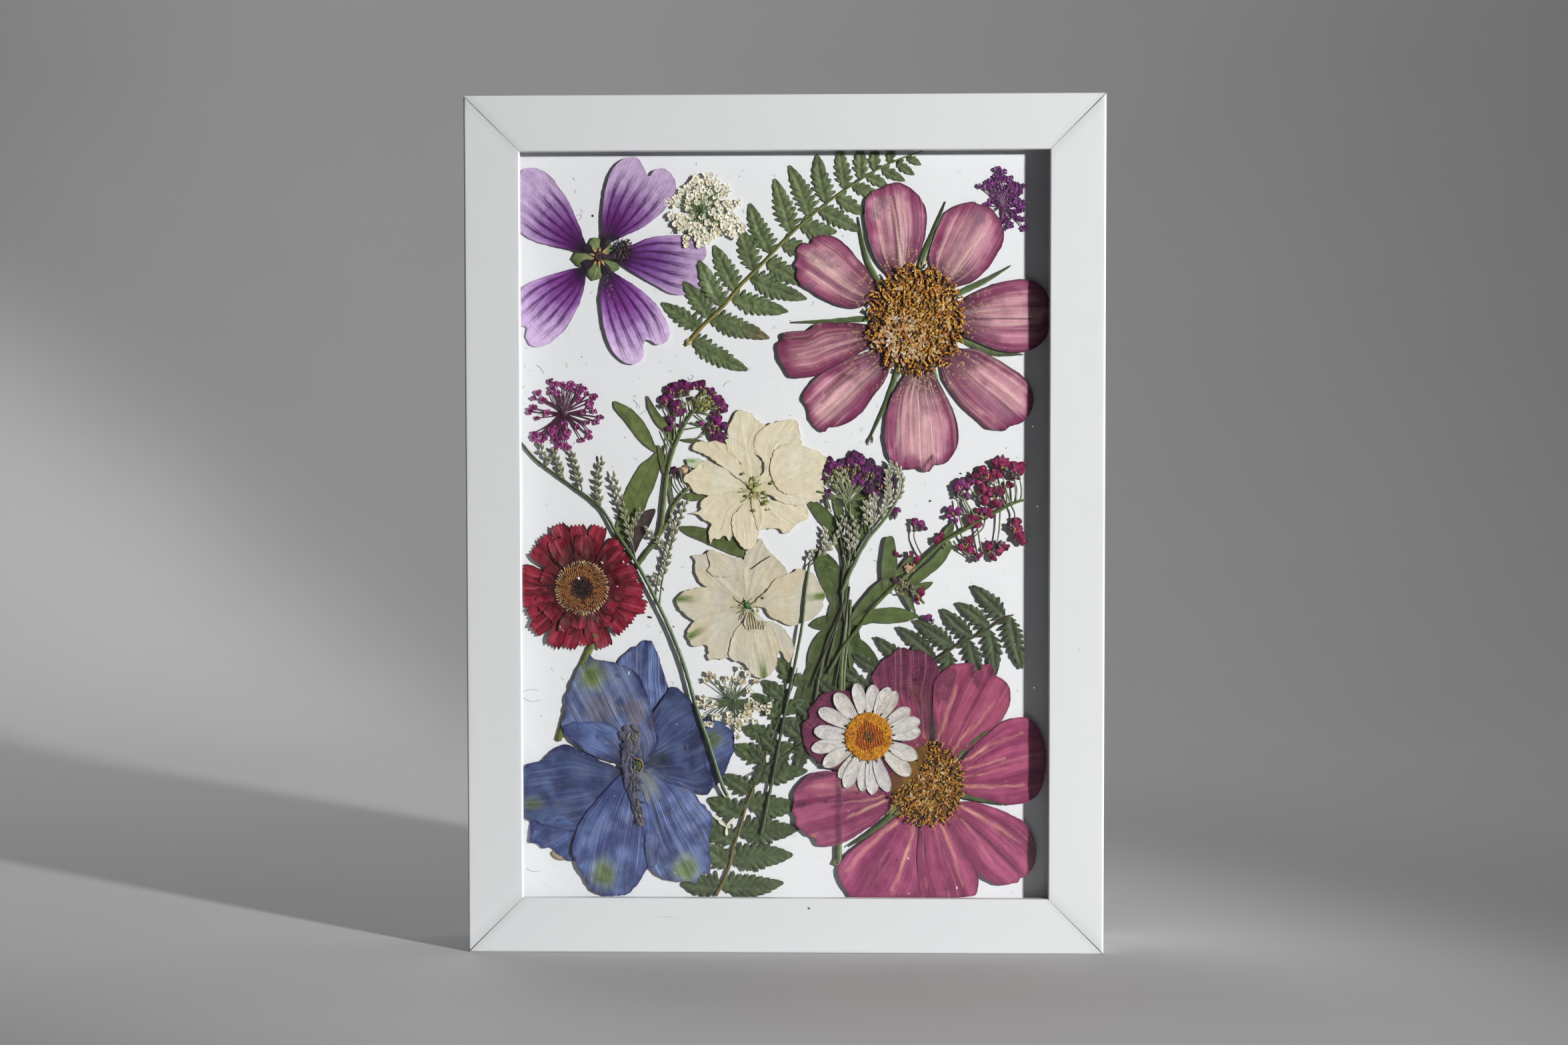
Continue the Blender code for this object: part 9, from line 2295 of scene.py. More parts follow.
for u, v in [(1041, 582), (1053, 582), (1022, 588), (1007, 587), (1062, 596), (1073, 640), (1080, 612), (1016, 612), (1068, 650), (1000, 602)]:
    bits(bag, u, v, 5.6, rng, 4, 1.8, shade(0.85, 0.70, 0.52), 1.1, 2)
add_blob(bag, 1026, 705, 6.8, 4.2, shade(0.87, 0.74, 0.62), rng, 2, pale=shade(0.80, 0.54, 0.42))
add_calyx(bag, 1021, 713, 6, 4.2, rng, 1, shade(0.22, 0.22, 0.14))
add_calyx(bag, 1034, 707, 3, 4.4, rng, 1, shade(0.14, 0.08, 0.12))
piece(bag, "alyssum_left_pressed", [ALYSSUM_LEAF, STEM_GREEN, ALYSSUM_PETAL], "alyssum_left", "alyssum_left", sharp=65.0)

# --- middle sprig, a bunch of stems and leaves
rng = random.Random(73)
bag = Bag()
DEEP = shade(0.27, 0.335, 0.145)
add_leaf(bag, [(1212, 755), (1224, 752), (1236, 760), (1250, 774), (1260, 792), (1266, 812), (1272, 840), (1270, 850), (1262, 836), (1250, 812), (1236, 792), (1222, 774)], (1272, 850), (1213, 756), DEEP * 1.05, 1.6, 11)
add_leaf(bag, [(1222, 825), (1234, 827), (1246, 834), (1258, 848), (1266, 868), (1271, 890), (1272, 914), (1266, 938), (1256, 924), (1244, 900), (1232, 876), (1224, 852)], (1266, 938), (1223, 828), DEEP, 1.9, 12)
add_leaf(bag, [(1251, 742), (1258, 750), (1265, 766), (1268, 786), (1264, 800), (1258, 790), (1253, 770), (1249, 752)], (1266, 800), (1251, 742), DEEP * 1.15, 1.7, 13)
add_leaf(bag, [(1284, 742), (1300, 738), (1304, 748), (1298, 764), (1288, 776), (1276, 788), (1272, 780), (1276, 762)], (1274, 786), (1302, 740), DEEP * 1.15, 1.7, 14)
add_leaf(bag, [(1304, 776), (1308, 782), (1302, 796), (1294, 808), (1286, 826), (1280, 842), (1276, 836), (1282, 816), (1290, 798), (1297, 784)], (1278, 842), (1305, 777), DEEP * 1.05, 1.8, 15)
add_leaf(bag, [(1288, 748), (1296, 752), (1294, 776), (1288, 800), (1282, 820), (1277, 818), (1280, 794), (1284, 768)], (1279, 820), (1292, 750), DEEP * 1.1, 1.9, 16)
for i, (a, b, wide, bend, z) in enumerate([
    ((1270, 940), (1204, 1052), 27, 0.03, 1.4), ((1262, 930), (1212, 1008), 21, 0.09, 1.9), ((1264, 960), (1244, 1048), 25, -0.02, 1.7), ((1264, 948), (1318, 994), 27, 0.05, 1.5),
    ((1264, 930), (1214, 938), 22, 0.0, 1.7), ((1268, 900), (1250, 1000), 16, 0.05, 2.3), ((1270, 905), (1276, 1010), 15, -0.04, 2.3), ((1262, 860), (1240, 936), 15, -0.06, 2.2),
    ((1262, 950), (1194, 1096), 30, 0.02, 0.9), ((1266, 960), (1228, 1112), 30, -0.02, 1.0), ((1270, 960), (1266, 1104), 26, 0.02, 0.9), ((1240, 960), (1188, 1066), 24, -0.03, 1.1),
    ((1268, 990), (1296, 1046), 22, 0.04, 1.0), ((1250, 1000), (1212, 1100), 20, 0.03, 1.3), ((1272, 900), (1290, 968), 17, 0.05, 1.2),
]):
    add_leaf(bag, blade_of(a, b, wide, 0.5, 0.2, bow=bend), a, b, DEEP * (0.62 + 0.4 * rng.random()), z, 20 + i, gap=2.3 if i < 8 else 4.2)
for i, (run, r, tone) in enumerate([
    ([(1257, 1296), (1258, 1262), (1256, 1220), (1257, 1180), (1260, 1090), (1262, 1000), (1268, 940), (1270, 880), (1272, 840), (1275, 800), (1274, 764), (1271, 732)], [5.6, 5.2, 5.2, 4.8, 4.4, 3.8, 3.4, 3.2, 3.2, 3.0, 2.6, 2.0], 0.72),
    ([(1270, 900), (1256, 930), (1242, 960), (1230, 1010), (1220, 1064)], (3.6, 2.4), 0.42),
    ([(1264, 820), (1266, 860), (1262, 910), (1250, 960), (1240, 1000)], (2.4, 1.8), 0.30),
    ([(1258, 796), (1264, 826), (1270, 860), (1272, 900)], (2.0, 2.3), 0.50),
    ([(1276, 900), (1274, 940), (1268, 990), (1264, 1060)], (2.4, 1.9), 0.85),
    ([(1252, 776), (1262, 800), (1268, 832)], (1.7, 2.2), 0.35),
    ([(1268, 900), (1250, 950), (1228, 1000), (1216, 1030)], (2.0, 1.3), 0.16),
    ([(1274, 880), (1266, 950), (1252, 1030)], (1.8, 1.4), 0.14),
    ([(1266, 850), (1262, 880), (1266, 930)], (1.6, 1.4), 0.16),
]):
    add_tube(bag, [(u, v, 3.2 + 0.2 * i) for u, v in run], r, [STALK * tone, STALK * tone * 0.7, STALK * tone * 1.15, STALK * tone * 0.8], sides=9, flat=0.4, seed=30 + i, slot=1, keel=0.3)
add_tube(bag, [(1255, 1297, 3.4), (1257, 1290, 3.6)], (5.4, 5.6), shade(0.62, 0.62, 0.42), sides=9, flat=0.4, seed=44, slot=1)
for i in range(44):        # pale stalks that fan out to the florets
    a = -math.pi / 2 + rng.gauss(-0.1, 0.75)
    r = 24 + 26 * rng.random()
    u, v = 1272 + r * math.cos(a), 744 + r * 0.95 * math.sin(a)
    w0 = 3.4 + rng.random()
    add_tube(bag, [(1272 + rng.gauss(0, 3), 752 + rng.gauss(0, 7), w0), ((1272 + u) / 2 + rng.gauss(0, 3), (744 + v) / 2 + 3, w0 + 0.5), (u, v, w0 + 0.4)], (1.0, 1.1), [STALK * 0.9, blend(shade(0.55, 0.58, 0.42), shade(0.36, 0.38, 0.26), rng.random())], sides=6, flat=0.7, seed=i, slot=1, step=3.0)
for i in range(40):
    u, v = 1258 + rng.gauss(0, 14), 716 + rng.gauss(0, 8)
    add_bead(bag, (u, v, 4.6 + rng.random()), 1.6 + rng.random(), blend(shade(0.34, 0.36, 0.22), shade(0.66, 0.66, 0.50), rng.random()), squash=0.5, rings=4, sides=6, stretch=1.9, angle=rng.random() * 3, seed=i, lumps=0.3, slot=1)
for run in ([(1238, 748), (1242, 758), (1247, 768)], [(1318, 779), (1306, 780), (1296, 779)], [(1305, 742), (1300, 752), (1290, 762)], [(1240, 748), (1246, 762)]):
    add_tube(bag, [(u, v, 3.4) for u, v in run], (1.3, 0.9), STALK * 0.8, sides=6, flat=0.7, seed=3, slot=1, step=3.0)
for u, v in [(1246, 706), (1254, 712), (1240, 716), (1262, 704), (1280, 704), (1288, 702), (1298, 712), (1306, 716), (1310, 712), (1318, 726), (1322, 736), (1241, 722), (1269, 708), (1238, 748), (1343, 774), (1326, 734), (1330, 742)]:
    add_calyx(bag, u, v, 4.6, 4.6, rng, 1, shade(0.25, 0.22, 0.19))
MIDDLE_BLOBS = [
    (1247, 696, 9.5), (1240, 708, 8.5), (1234, 716, 5), (1263, 696, 7.5), (1255, 699, 7), (1283, 687, 10), (1291, 691, 7.5), (1276, 694, 7.5), (1307, 700, 10), (1299, 704, 8.5),
    (1315, 708, 9), (1284, 714, 8), (1292, 721, 8.5), (1301, 725, 7), (1321, 720, 7), (1329, 719, 8), (1333, 728, 7), (1243, 739, 5.5), (1238, 744, 4), (1305, 735, 8),
    (1316, 738, 5.5), (1343, 765, 6.5), (1298, 738, 4.5), (1326, 727, 6), (1280, 722, 5), (1322, 728, 6), (1283, 783, 3.2),
]
for i, (u, v, r) in enumerate(MIDDLE_BLOBS):
    tone = (shade(0.315, 0.055, 0.30) if i % 3 else shade(0.39, 0.085, 0.36)) * (0.6 + 0.6 * rng.random())
    add_blob(bag, u, v, r, 4.9 + 0.7 * rng.random(), tone, rng, 2, pale=shade(0.53, 0.21, 0.53) if i % 4 == 0 else None)
for u, v in [(1258, 702), (1280, 706), (1303, 714), (1252, 708), (1322, 730), (1271, 704)]:
    bits(bag, u, v, 6.0, rng, 4, 1.8, shade(0.78, 0.66, 0.30), 1.0, 2)
piece(bag, "alyssum_middle_pressed", [ALYSSUM_LEAF, STEM_GREEN, ALYSSUM_PETAL], "alyssum_middle", "alyssum_middle", sharp=65.0)

# --- right sprig
rng = random.Random(79)
bag = Bag()
GRASS = shade(0.31, 0.375, 0.18)
add_leaf(bag, [(1330, 806), (1338, 804), (1342, 812), (1344, 826), (1346, 846), (1342, 866), (1334, 884), (1328, 892), (1324, 878), (1322, 856), (1324, 832), (1326, 816)], (1328, 892), (1332, 806), GRASS * 0.9, 5.2, 41)
add_leaf(bag, [(1274, 932), (1284, 912), (1298, 894), (1314, 876), (1330, 864), (1346, 854), (1360, 838), (1368, 830), (1371, 838), (1362, 856), (1346, 872), (1326, 890), (1304, 908), (1286, 928)], (1276, 932), (1370, 832), GRASS * 0.95, 5.5, 42, spotty=0.7)
add_leaf(bag, [(1278, 936), (1292, 922), (1312, 914), (1336, 911), (1358, 914), (1378, 924), (1362, 932), (1338, 935), (1312, 934), (1294, 938)], (1278, 936), (1378, 924), GRASS * 0.95, 5.2, 43)
add_leaf(bag, [(1360, 876), (1370, 862), (1384, 850), (1398, 838), (1412, 822), (1424, 811), (1428, 818), (1422, 834), (1410, 850), (1394, 863), (1376, 876), (1364, 882)], (1360, 880), (1427, 812), GRASS * 1.05, 5.8, 44)
add_leaf(bag, blade_of((1414, 812), (1431, 784), 12, 0.5, 0.4), (1414, 812), (1431, 784), GRASS, 5.4, 45)
add_leaf(bag, blade_of((1362, 886), (1400, 873), 13, 0.5, 0.3, bow=0.05), (1362, 886), (1400, 873), GRASS * 0.95, 5.5, 46)
add_leaf(bag, blade_of((1346, 868), (1374, 922), 10, 0.5, 0.5), (1346, 868), (1374, 922), GRASS * 0.85, 5.4, 47)
add_tube(bag, [(1242, 1010, 4.6), (1264, 972, 5.0), (1285, 945, 5.4), (1309, 912, 6.2), (1332, 888, 6.4), (1350, 872, 6.6), (1387, 838, 6.8), (1416, 812, 6.8), (1441, 798, 6.6), (1461, 786, 6.4), (1484, 772, 6.2), (1499, 766, 6.2), (1515, 757, 6.2), (1536, 750, 6.0)], [2.6, 2.8, 3.0, 3.0, 3.0, 3.0, 2.9, 2.8, 2.7, 2.6, 2.5, 2.4, 2.2, 1.7], [STALK * 0.6, GRASS * 0.85, GRASS * 1.05, GRASS * 0.85, GRASS * 1.05], sides=10, flat=0.45, seed=1, slot=1, keel=0.4)
add_tube(bag, [(1348, 872, 7.4), (1387, 837, 7.8), (1416, 811, 7.8), (1441, 797, 7.4), (1484, 772, 7.0)], (0.9, 0.7), GRASS * 0.5, sides=5, flat=0.7, seed=2, slot=1)
add_tube(bag, [(1346, 876, 6.2), (1362, 884, 6.2), (1374, 892, 6.2), (1386, 905, 6.0)], (3.4, 2.2), [GRASS, GRASS * 0.8], sides=8, flat=0.45, seed=3, slot=1)
for i, run in enumerate([
    [(1382, 832), (1375, 818), (1371, 806), (1371, 794)], [(1462, 786), (1452, 766), (1444, 750), (1436, 744)], [(1500, 766), (1499, 790), (1496, 812)], [(1516, 757), (1522, 772), (1517, 790)],
    [(1516, 757), (1509, 734), (1504, 716)], [(1524, 754), (1523, 734), (1521, 712)], [(1530, 752), (1532, 736), (1529, 716)], [(1486, 771), (1468, 748), (1454, 732)], [(1508, 760), (1496, 740), (1490, 720)],
    [(1446, 798), (1440, 780), (1436, 750)], [(1440, 800), (1446, 812), (1460, 836)], [(1466, 772), (1450, 771), (1440, 770)], [(1466, 792), (1469, 810), (1473, 828)], [(1478, 776), (1474, 792), (1460, 806)],
    [(1510, 760), (1508, 738), (1493, 722)], [(1466, 780), (1450, 754), (1444, 736)], [(1430, 812), (1440, 824), (1462, 838)],
]):
    add_tube(bag, [(u, v, 6.0) for u, v in run], (1.5, 1.0), [shade(0.34, 0.38, 0.24), shade(0.47, 0.48, 0.36)], sides=6, flat=0.7, seed=i, slot=1, step=3.0)
for u, v, r in [
    (1371, 792, 4.5), (1380, 793, 3), (1436, 742, 4.5), (1442, 741, 3.5), (1413, 818, 4), (1507, 707, 6), (1514, 709, 5), (1521, 713, 6), (1528, 714, 5), (1497, 816, 6), (1490, 815, 4), (1487, 828, 5), (1516, 790, 5),
    (1520, 795, 4), (1460, 837, 4), (1464, 840, 3), (1474, 716, 5), (1486, 722, 4), (1480, 727, 4), (1490, 746, 4), (1471, 775, 5), (1477, 776, 4), (1452, 817, 3.5), (1370, 890, 5), (1364, 884, 6), (1350, 874, 7), (1342, 868, 5), (1356, 866, 5),
    (1397, 932, 3.5), (1468, 744, 4), (1430, 772, 3), (1474, 736, 4),
]:
    add_calyx(bag, u, v, r, 6.6, rng, 1, shade(0.25, 0.19, 0.19))
RIGHT_BLOBS = [
    (1372, 782, 5, 1), (1382, 787, 6.5, 1), (1388, 793, 3.2, 1), (1412, 804, 5, 0), (1405, 811, 5, 0), (1414, 813, 5, 0), (1377, 839, 5.5, 0), (1367, 830, 4, 0), (1350, 834, 3, 0), (1344, 830, 3.5, 0),
    (1382, 888, 5.5, 0), (1378, 896, 4.5, 0), (1375, 902, 4, 0), (1392, 926, 5, 1), (1424, 764, 5, 1), (1435, 768, 7, 1), (1423, 775, 4.5, 1), (1433, 781, 4, 1), (1436, 731, 7, 1), (1442, 724, 7, 1), (1450, 728, 6, 1), (1457, 722, 6.5, 1),
    (1450, 744, 5, 1), (1464, 713, 5.5, 0), (1474, 706, 7, 0), (1482, 714, 8.5, 0), (1492, 712, 7.5, 0), (1475, 719, 5, 0), (1466, 724, 4, 0), (1475, 731, 6, 0), (1472, 738, 5, 0), (1499, 714, 5, 0),
    (1485, 737, 7.5, 0), (1501, 736, 7.5, 0), (1477, 751, 7.5, 0), (1497, 755, 8.5, 0), (1501, 695, 9.5, 0), (1493, 692, 5, 0), (1509, 693, 6, 0), (1525, 700, 10.5, 0), (1518, 706, 7, 0), (1531, 706, 7, 0), (1515, 727, 5.5, 0),
    (1459, 779, 8, 0), (1465, 787, 7.5, 0), (1469, 765, 4.5, 0), (1484, 769, 7.5, 0), (1476, 766, 5, 1), (1442, 821, 6, 0), (1456, 824, 6.5, 0), (1455, 810, 5.5, 0), (1449, 812, 4, 0), (1468, 833, 5, 0), (1466, 839, 3, 1),
    (1483, 819, 7, 0), (1489, 836, 5.5, 0), (1500, 825, 7.5, 0), (1510, 821, 4.5, 0), (1503, 818, 5, 0), (1524, 784, 7.5, 0), (1526, 794, 7, 0), (1529, 803, 8, 0), (1533, 812, 6.5, 0),
]
for i, (u, v, r, purple) in enumerate(RIGHT_BLOBS):
    tone = shade(0.60, 0.10, 0.34) if not purple else shade(0.54, 0.15, 0.47)
    tone = tone * (0.45 + 0.5 * rng.random())
    add_blob(bag, u, v, r, 6.6 + 0.7 * rng.random(), tone, rng, 2, pale=shade(0.74, 0.27, 0.50) if i % 4 == 0 else None)
for u, v in [(1490, 747), (1487, 827), (1481, 716), (1524, 795), (1449, 819), (1504, 702), (1470, 776), (1377, 896), (1440, 732), (1430, 771)]:
    bits(bag, u, v, 8.2, rng, 4, 1.6, shade(0.80, 0.66, 0.26), 0.95, 2)
for i in range(16):        # a faded pinkish tuft beside the stem
    a = rng.random() * 6.28
    add_patch(bag, (1365 + rng.gauss(0, 3.5), 852 + rng.gauss(0, 3.5), 8.0), (1365 + 9 * math.cos(a), 852 + 8 * math.sin(a), 8.3), 3.2, blend(shade(0.84, 0.70, 0.58), shade(0.68, 0.34, 0.38), rng.random() ** 2), rows=5, cols=3, thick=0.4, wave=0.6, seed=i, slot=2)
bits(bag, 1350, 880, 7.2, rng, 26, 6.0, shade(0.62, 0.58, 0.40), 1.1, 1, 2.0)
piece(bag, "alyssum_right_pressed", [ALYSSUM_LEAF, STEM_GREEN, ALYSSUM_PETAL], "alyssum_right", "alyssum_right", sharp=65.0)

# -------------------------------------------------------------------- statice
BUD = petal_finish("statice_bud", fine=(3.0, 6.0, 0.28), mottle=0.16, rough=0.65, relief=0.00010, gloss=0.3)
WIRE = leaf_finish("statice_stem", rough=0.5, mottle=0.3, relief=0.00010, gloss=0.45, cross=False)
CREAM_BUD, GREEN_BUD = shade(0.945, 0.925, 0.86), shade(0.44, 0.465, 0.30)


def add_spike(bag, path, w, rnd, buds=10, size=13.0, radius=1.5, spread=0.55, bare=0.12, both=True):
    """A wiry branch with two close rows of pale, pointed buds that lean towards its tip."""
    line = even(np.asarray(path, float), 1.0, closed=False) if len(path) < 3 else curve(path, 1.0, closed=False)
    add_tube(bag, [(u, v, w) for u, v in line[:: max(1, len(line) // 10)]] + [(*line[-1], w)], (radius * 0.8, radius * 0.45), [shade(0.24, 0.28, 0.17), shade(0.36, 0.39, 0.26)], sides=7, flat=0.6, seed=rnd.randrange(99), slot=1)
    for i in range(buds):
        t = bare + (1 - bare) * (i + 0.5) / buds
        k = min(int(t * (len(line) - 1)), len(line) - 2)
        at, run = line[k], line[min(k + 3, len(line) - 1)] - line[max(k - 3, 0)]
        run = run / max(np.linalg.norm(run), 1e-6)
        side = (1 if i % 2 else -1) if both else 1
        for j in range(2):
            lean = side * (spread * (0.5 + 0.5 * rnd.random()) + 0.3 * (j - 0.5)) * (1 - 0.5 * (i == buds - 1))
            e = np.array((run[0] * math.cos(lean) - run[1] * math.sin(lean), run[0] * math.sin(lean) + run[1] * math.cos(lean)))
            long = size * (0.76 + 0.4 * rnd.random()) * (1 - 0.25 * t)
            a = at + e * 1.0
            b = at + e * long
            tone = blend(GREEN_BUD, CREAM_BUD, 0.4 + 0.6 * rnd.random() ** 0.5)
            # painted shade: each bud's sides take a much darker copy of its colour, where the buds meet
            add_patch(
                bag, (*a, w + 0.3 + 0.4 * j), (*b, w + 0.9 + 0.5 * rnd.random()), 3.6 + 1.2 * rnd.random(), blend(GREEN_BUD * 0.7, tone, 0.22), rows=7, cols=4,
                outline=[(0, 0.3), (0.35, 1.0), (0.65, 0.85), (0.88, 0.4), (1, 0.05)], cup=-0.8, thick=0.5, seed=rnd.randrange(999),
                tone_tip=tone, tone_edge=tone * 0.45, wave=0.25, slot=0,
            )
        if rnd.random() < 0.4:
            add_bead(bag, (*(at + e * 3), w + 1.0), 1.1, shade(0.42, 0.34, 0.22), squash=0.6, rings=3, sides=5, stretch=1.6, angle=rnd.random() * 6, seed=i, slot=0)


LEFT_STEM = [
    (782, 664), (805, 690), (855, 727), (901, 762), (926, 801), (954, 843), (975, 882), (989, 910), (1004, 942), (1025, 995),
    (1046, 1066), (1064, 1118), (1085, 1182), (1091, 1193),
]
rng = random.Random(83)
bag = Bag()
heights = [3.0, 3.2, 3.6, 4.2, 5.6, 6.2, 6.4, 6.4, 5.8, 5.8, 7.2, 7.4, 7.2, 7.0]
add_tube(bag, [(u, v, w) for (u, v), w in zip(LEFT_STEM, heights)], [1.6, 1.8, 2.1, 2.4, 2.6, 2.7, 2.8, 2.9, 3.0, 3.0, 3.0, 3.0, 2.9, 2.7], [shade(0.35, 0.40, 0.25), shade(0.31, 0.37, 0.23), shade(0.35, 0.42, 0.29), shade(0.33, 0.41, 0.30), shade(0.30, 0.38, 0.26)], sides=10, flat=0.55, seed=1, slot=1, keel=0.3)
# painted highlight: a thin pale strip laid along the lit top edge of the stem
add_tube(bag, [(u + 0.9, v - 0.3, w + 1.5) for (u, v), w in zip(LEFT_STEM[4:], heights[4:])], (0.6, 0.7), shade(0.50, 0.57, 0.42), sides=5, flat=0.6, seed=2, slot=1)
add_bead(bag, (1091, 1193, 7.2), 3.4, shade(0.72, 0.68, 0.46), squash=0.4, rings=4, sides=8, seed=4, slot=1)
for path, count, size in [
    ([(808, 692), (818, 700), (822, 690), (815, 680), (811, 668)], 7, 11), ([(836, 714), (846, 720), (842, 706), (834, 684), (831, 676)], 9, 12), ([(860, 731), (873, 737), (869, 718), (864, 700), (858, 680)], 11, 13),
    ([(884, 748), (901, 762), (898, 740), (898, 716), (903, 690)], 13, 13), ([(948, 830), (953, 841), (950, 822), (942, 790), (932, 756), (921, 714)], 18, 14), ([(936, 800), (944, 798), (952, 784), (959, 766)], 7, 12),
    ([(988, 912), (992, 880), (999, 846), (1006, 816), (1016, 786), (1030, 754)], 20, 14), ([(1006, 838), (996, 820), (982, 806), (970, 794)], 8, 12), ([(996, 886), (990, 876), (980, 864)], 5, 10),
    ([(1006, 820), (1012, 800), (1008, 784), (1006, 776)], 6, 12),
]:
    add_spike(bag, path, 4.6 if path[0][0] < 930 else 6.5, rng, buds=count, size=size, radius=1.5, bare=0.25)
for run in ([(782, 664), (776, 660), (772, 657)], [(989, 912), (991, 890), (993, 870)]):
    add_tube(bag, [(u, v, 3.2 if run[0][0] < 900 else 6.0) for u, v in run], (1.5, 1.0), shade(0.40, 0.46, 0.3), sides=6, flat=0.6, seed=6, slot=1)
piece(bag, "statice_left_pressed", [BUD, WIRE], "statice_left", "statice_left", gain=(0.72, 0.72, 0.63), sharp=65.0)

rng = random.Random(89)
bag = Bag()
add_tube(bag, [(1142, 1252, 5.4), (1156, 1182, 5.6), (1171, 1102, 5.9), (1186, 1026, 6.4), (1203, 939, 6.6), (1208, 890, 6.2), (1214, 846, 5.4)], (2.7, 2.0), [shade(0.24, 0.29, 0.17), shade(0.17, 0.21, 0.13), shade(0.22, 0.27, 0.17), shade(0.32, 0.37, 0.25)], sides=10, flat=0.5, seed=1, slot=1, keel=0.3)
for path, count, size in [([(1213, 850), (1226, 838), (1242, 822), (1254, 806), (1261, 784)], 12, 13), ([(1230, 836), (1237, 824), (1238, 808), (1237, 794)], 7, 12), ([(1214, 848), (1216, 836), (1222, 826)], 4, 10)]:
    add_spike(bag, path, 5.6, rng, buds=count, size=size, radius=1.5, bare=0.2)
piece(bag, "statice_middle_pressed", [BUD, WIRE], "statice_middle", "statice_middle", sharp=65.0)

rng = random.Random(97)
bag = Bag()
add_tube(bag, [(1262, 890, 5.8), (1276, 856, 6.2), (1302, 808, 6.6), (1321, 786, 6.8), (1337, 764, 7.0), (1349, 742, 7.0), (1353, 722, 6.8), (1346, 702, 6.6)], [3.4, 3.2, 2.7, 2.4, 2.2, 1.9, 1.6, 1.0], [shade(0.30, 0.34, 0.22), shade(0.38, 0.43, 0.28), shade(0.44, 0.49, 0.33)], sides=10, flat=0.5, seed=1, slot=1, keel=0.3)
for path, count, size in [
    ([(1337, 764), (1347, 746), (1352, 724), (1346, 704), (1338, 696)], 16, 14), ([(1307, 800), (1310, 780), (1310, 762), (1312, 746)], 11, 14), ([(1322, 784), (1326, 768), (1330, 752), (1332, 738)], 10, 14),
    ([(1304, 800), (1300, 780), (1298, 760), (1304, 746)], 9, 13), ([(1340, 756), (1336, 740), (1332, 722), (1334, 706)], 11, 14), ([(1282, 836), (1283, 816), (1284, 796), (1280, 778)], 9, 12), ([(1276, 840), (1274, 820), (1272, 796), (1264, 776)], 9, 12),
]:
    add_spike(bag, path, 7.2, rng, buds=count, size=size, radius=1.4, bare=0.15)
piece(bag, "statice_right_pressed", [BUD, WIRE], "statice_right", "statice_right", sharp=65.0)

# ------------------------------------------------------------- dust and fibres
rng = random.Random(101)
FIBRE = leaf_finish("dust_fibre", rough=0.8, mottle=0.2, relief=0.00003, gloss=0.2, cross=False)
dust = Bag()
for i in range(230):       # faint short hairs lying on the card
    u, v = rng.uniform(782, 1530), rng.uniform(245, 1338)
    a, long = rng.random() * 6.28, rng.uniform(2.0, 6.5)
    bend = rng.gauss(0, 0.6)
    add_tube(
        dust, [(u, v, 0.45), (u + long * 0.5 * math.cos(a), v + long * 0.5 * math.sin(a), 0.5), (u + long * math.cos(a + bend), v + long * math.sin(a + bend), 0.45)],
        0.2, shade(0.70, 0.70, 0.71) if i % 6 else shade(0.50, 0.48, 0.46), sides=4, flat=0.7, seed=i, step=1.6,
    )
for i, run in enumerate([
    [(1032, 566), (1035, 571), (1040, 566), (1040, 564), (1036, 563)], [(866, 324), (871, 322), (872, 328), (868, 330)], [(1085, 580), (1090, 574), (1096, 572)],
    [(770, 1036), (782, 1038), (796, 1034), (808, 1036)], [(784, 1046), (796, 1052), (812, 1050)], [(1385, 540), (1390, 536), (1392, 530)], [(805, 548), (812, 553), (816, 560)],
    [(950, 600), (956, 606), (955, 612)], [(960, 622), (966, 618), (972, 612)], [(1402, 600), (1407, 603), (1409, 609)], [(1310, 840), (1316, 843), (1322, 842)],
    [(1080, 660), (1086, 664), (1094, 662)], [(1500, 560), (1506, 563), (1511, 560)], [(790, 1302), (800, 1307), (812, 1306)], [(1222, 600), (1228, 596), (1236, 598)],
]):
    add_tube(dust, [(u, v, 0.5) for u, v in run], 0.26, shade(0.64, 0.64, 0.65), sides=4, flat=0.7, seed=i, step=1.2)
for i in range(120):       # grains
    u, v = rng.uniform(776, 1534), rng.uniform(242, 1340)
    add_bead(dust, (u, v, 0.5), rng.uniform(0.35, 0.8), shade(0.45, 0.43, 0.40) if i % 3 else shade(0.25, 0.22, 0.20), squash=0.6, rings=3, sides=5, stretch=1.3, angle=rng.random() * 6, seed=i)
for u, v, r, long, a in [(975, 926, 1.6, 2.4, 0.2), (1011, 940, 0.9, 1.5, 1), (889.5, 324, 1.4, 1.4, 1.3), (1395.5, 752, 1.0, 2.2, -0.4), (1395, 751, 0.8, 1.5, 0.9), (1441, 710.5, 1.2, 1.3, 0)]:
    add_bead(dust, (u, v, 0.8), r, shade(0.13, 0.11, 0.12), squash=0.6, rings=4, sides=6, stretch=long, angle=a, seed=3)
obj = dust.build("dust_on_card", [FIBRE], sharp=60.0)
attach(obj, "root")
flecks = Bag()
for i in range(150):       # tiny pale flecks on the glass
    u, v = rng.uniform(760, 1560), rng.uniform(236, 1346)
    add_bead(flecks, (u, v, 18.75), rng.uniform(0.3, 0.62), shade(0.88, 0.88, 0.88), squash=0.35, rings=3, sides=5, stretch=rng.uniform(1.0, 2.4), angle=rng.random() * 6, seed=i)
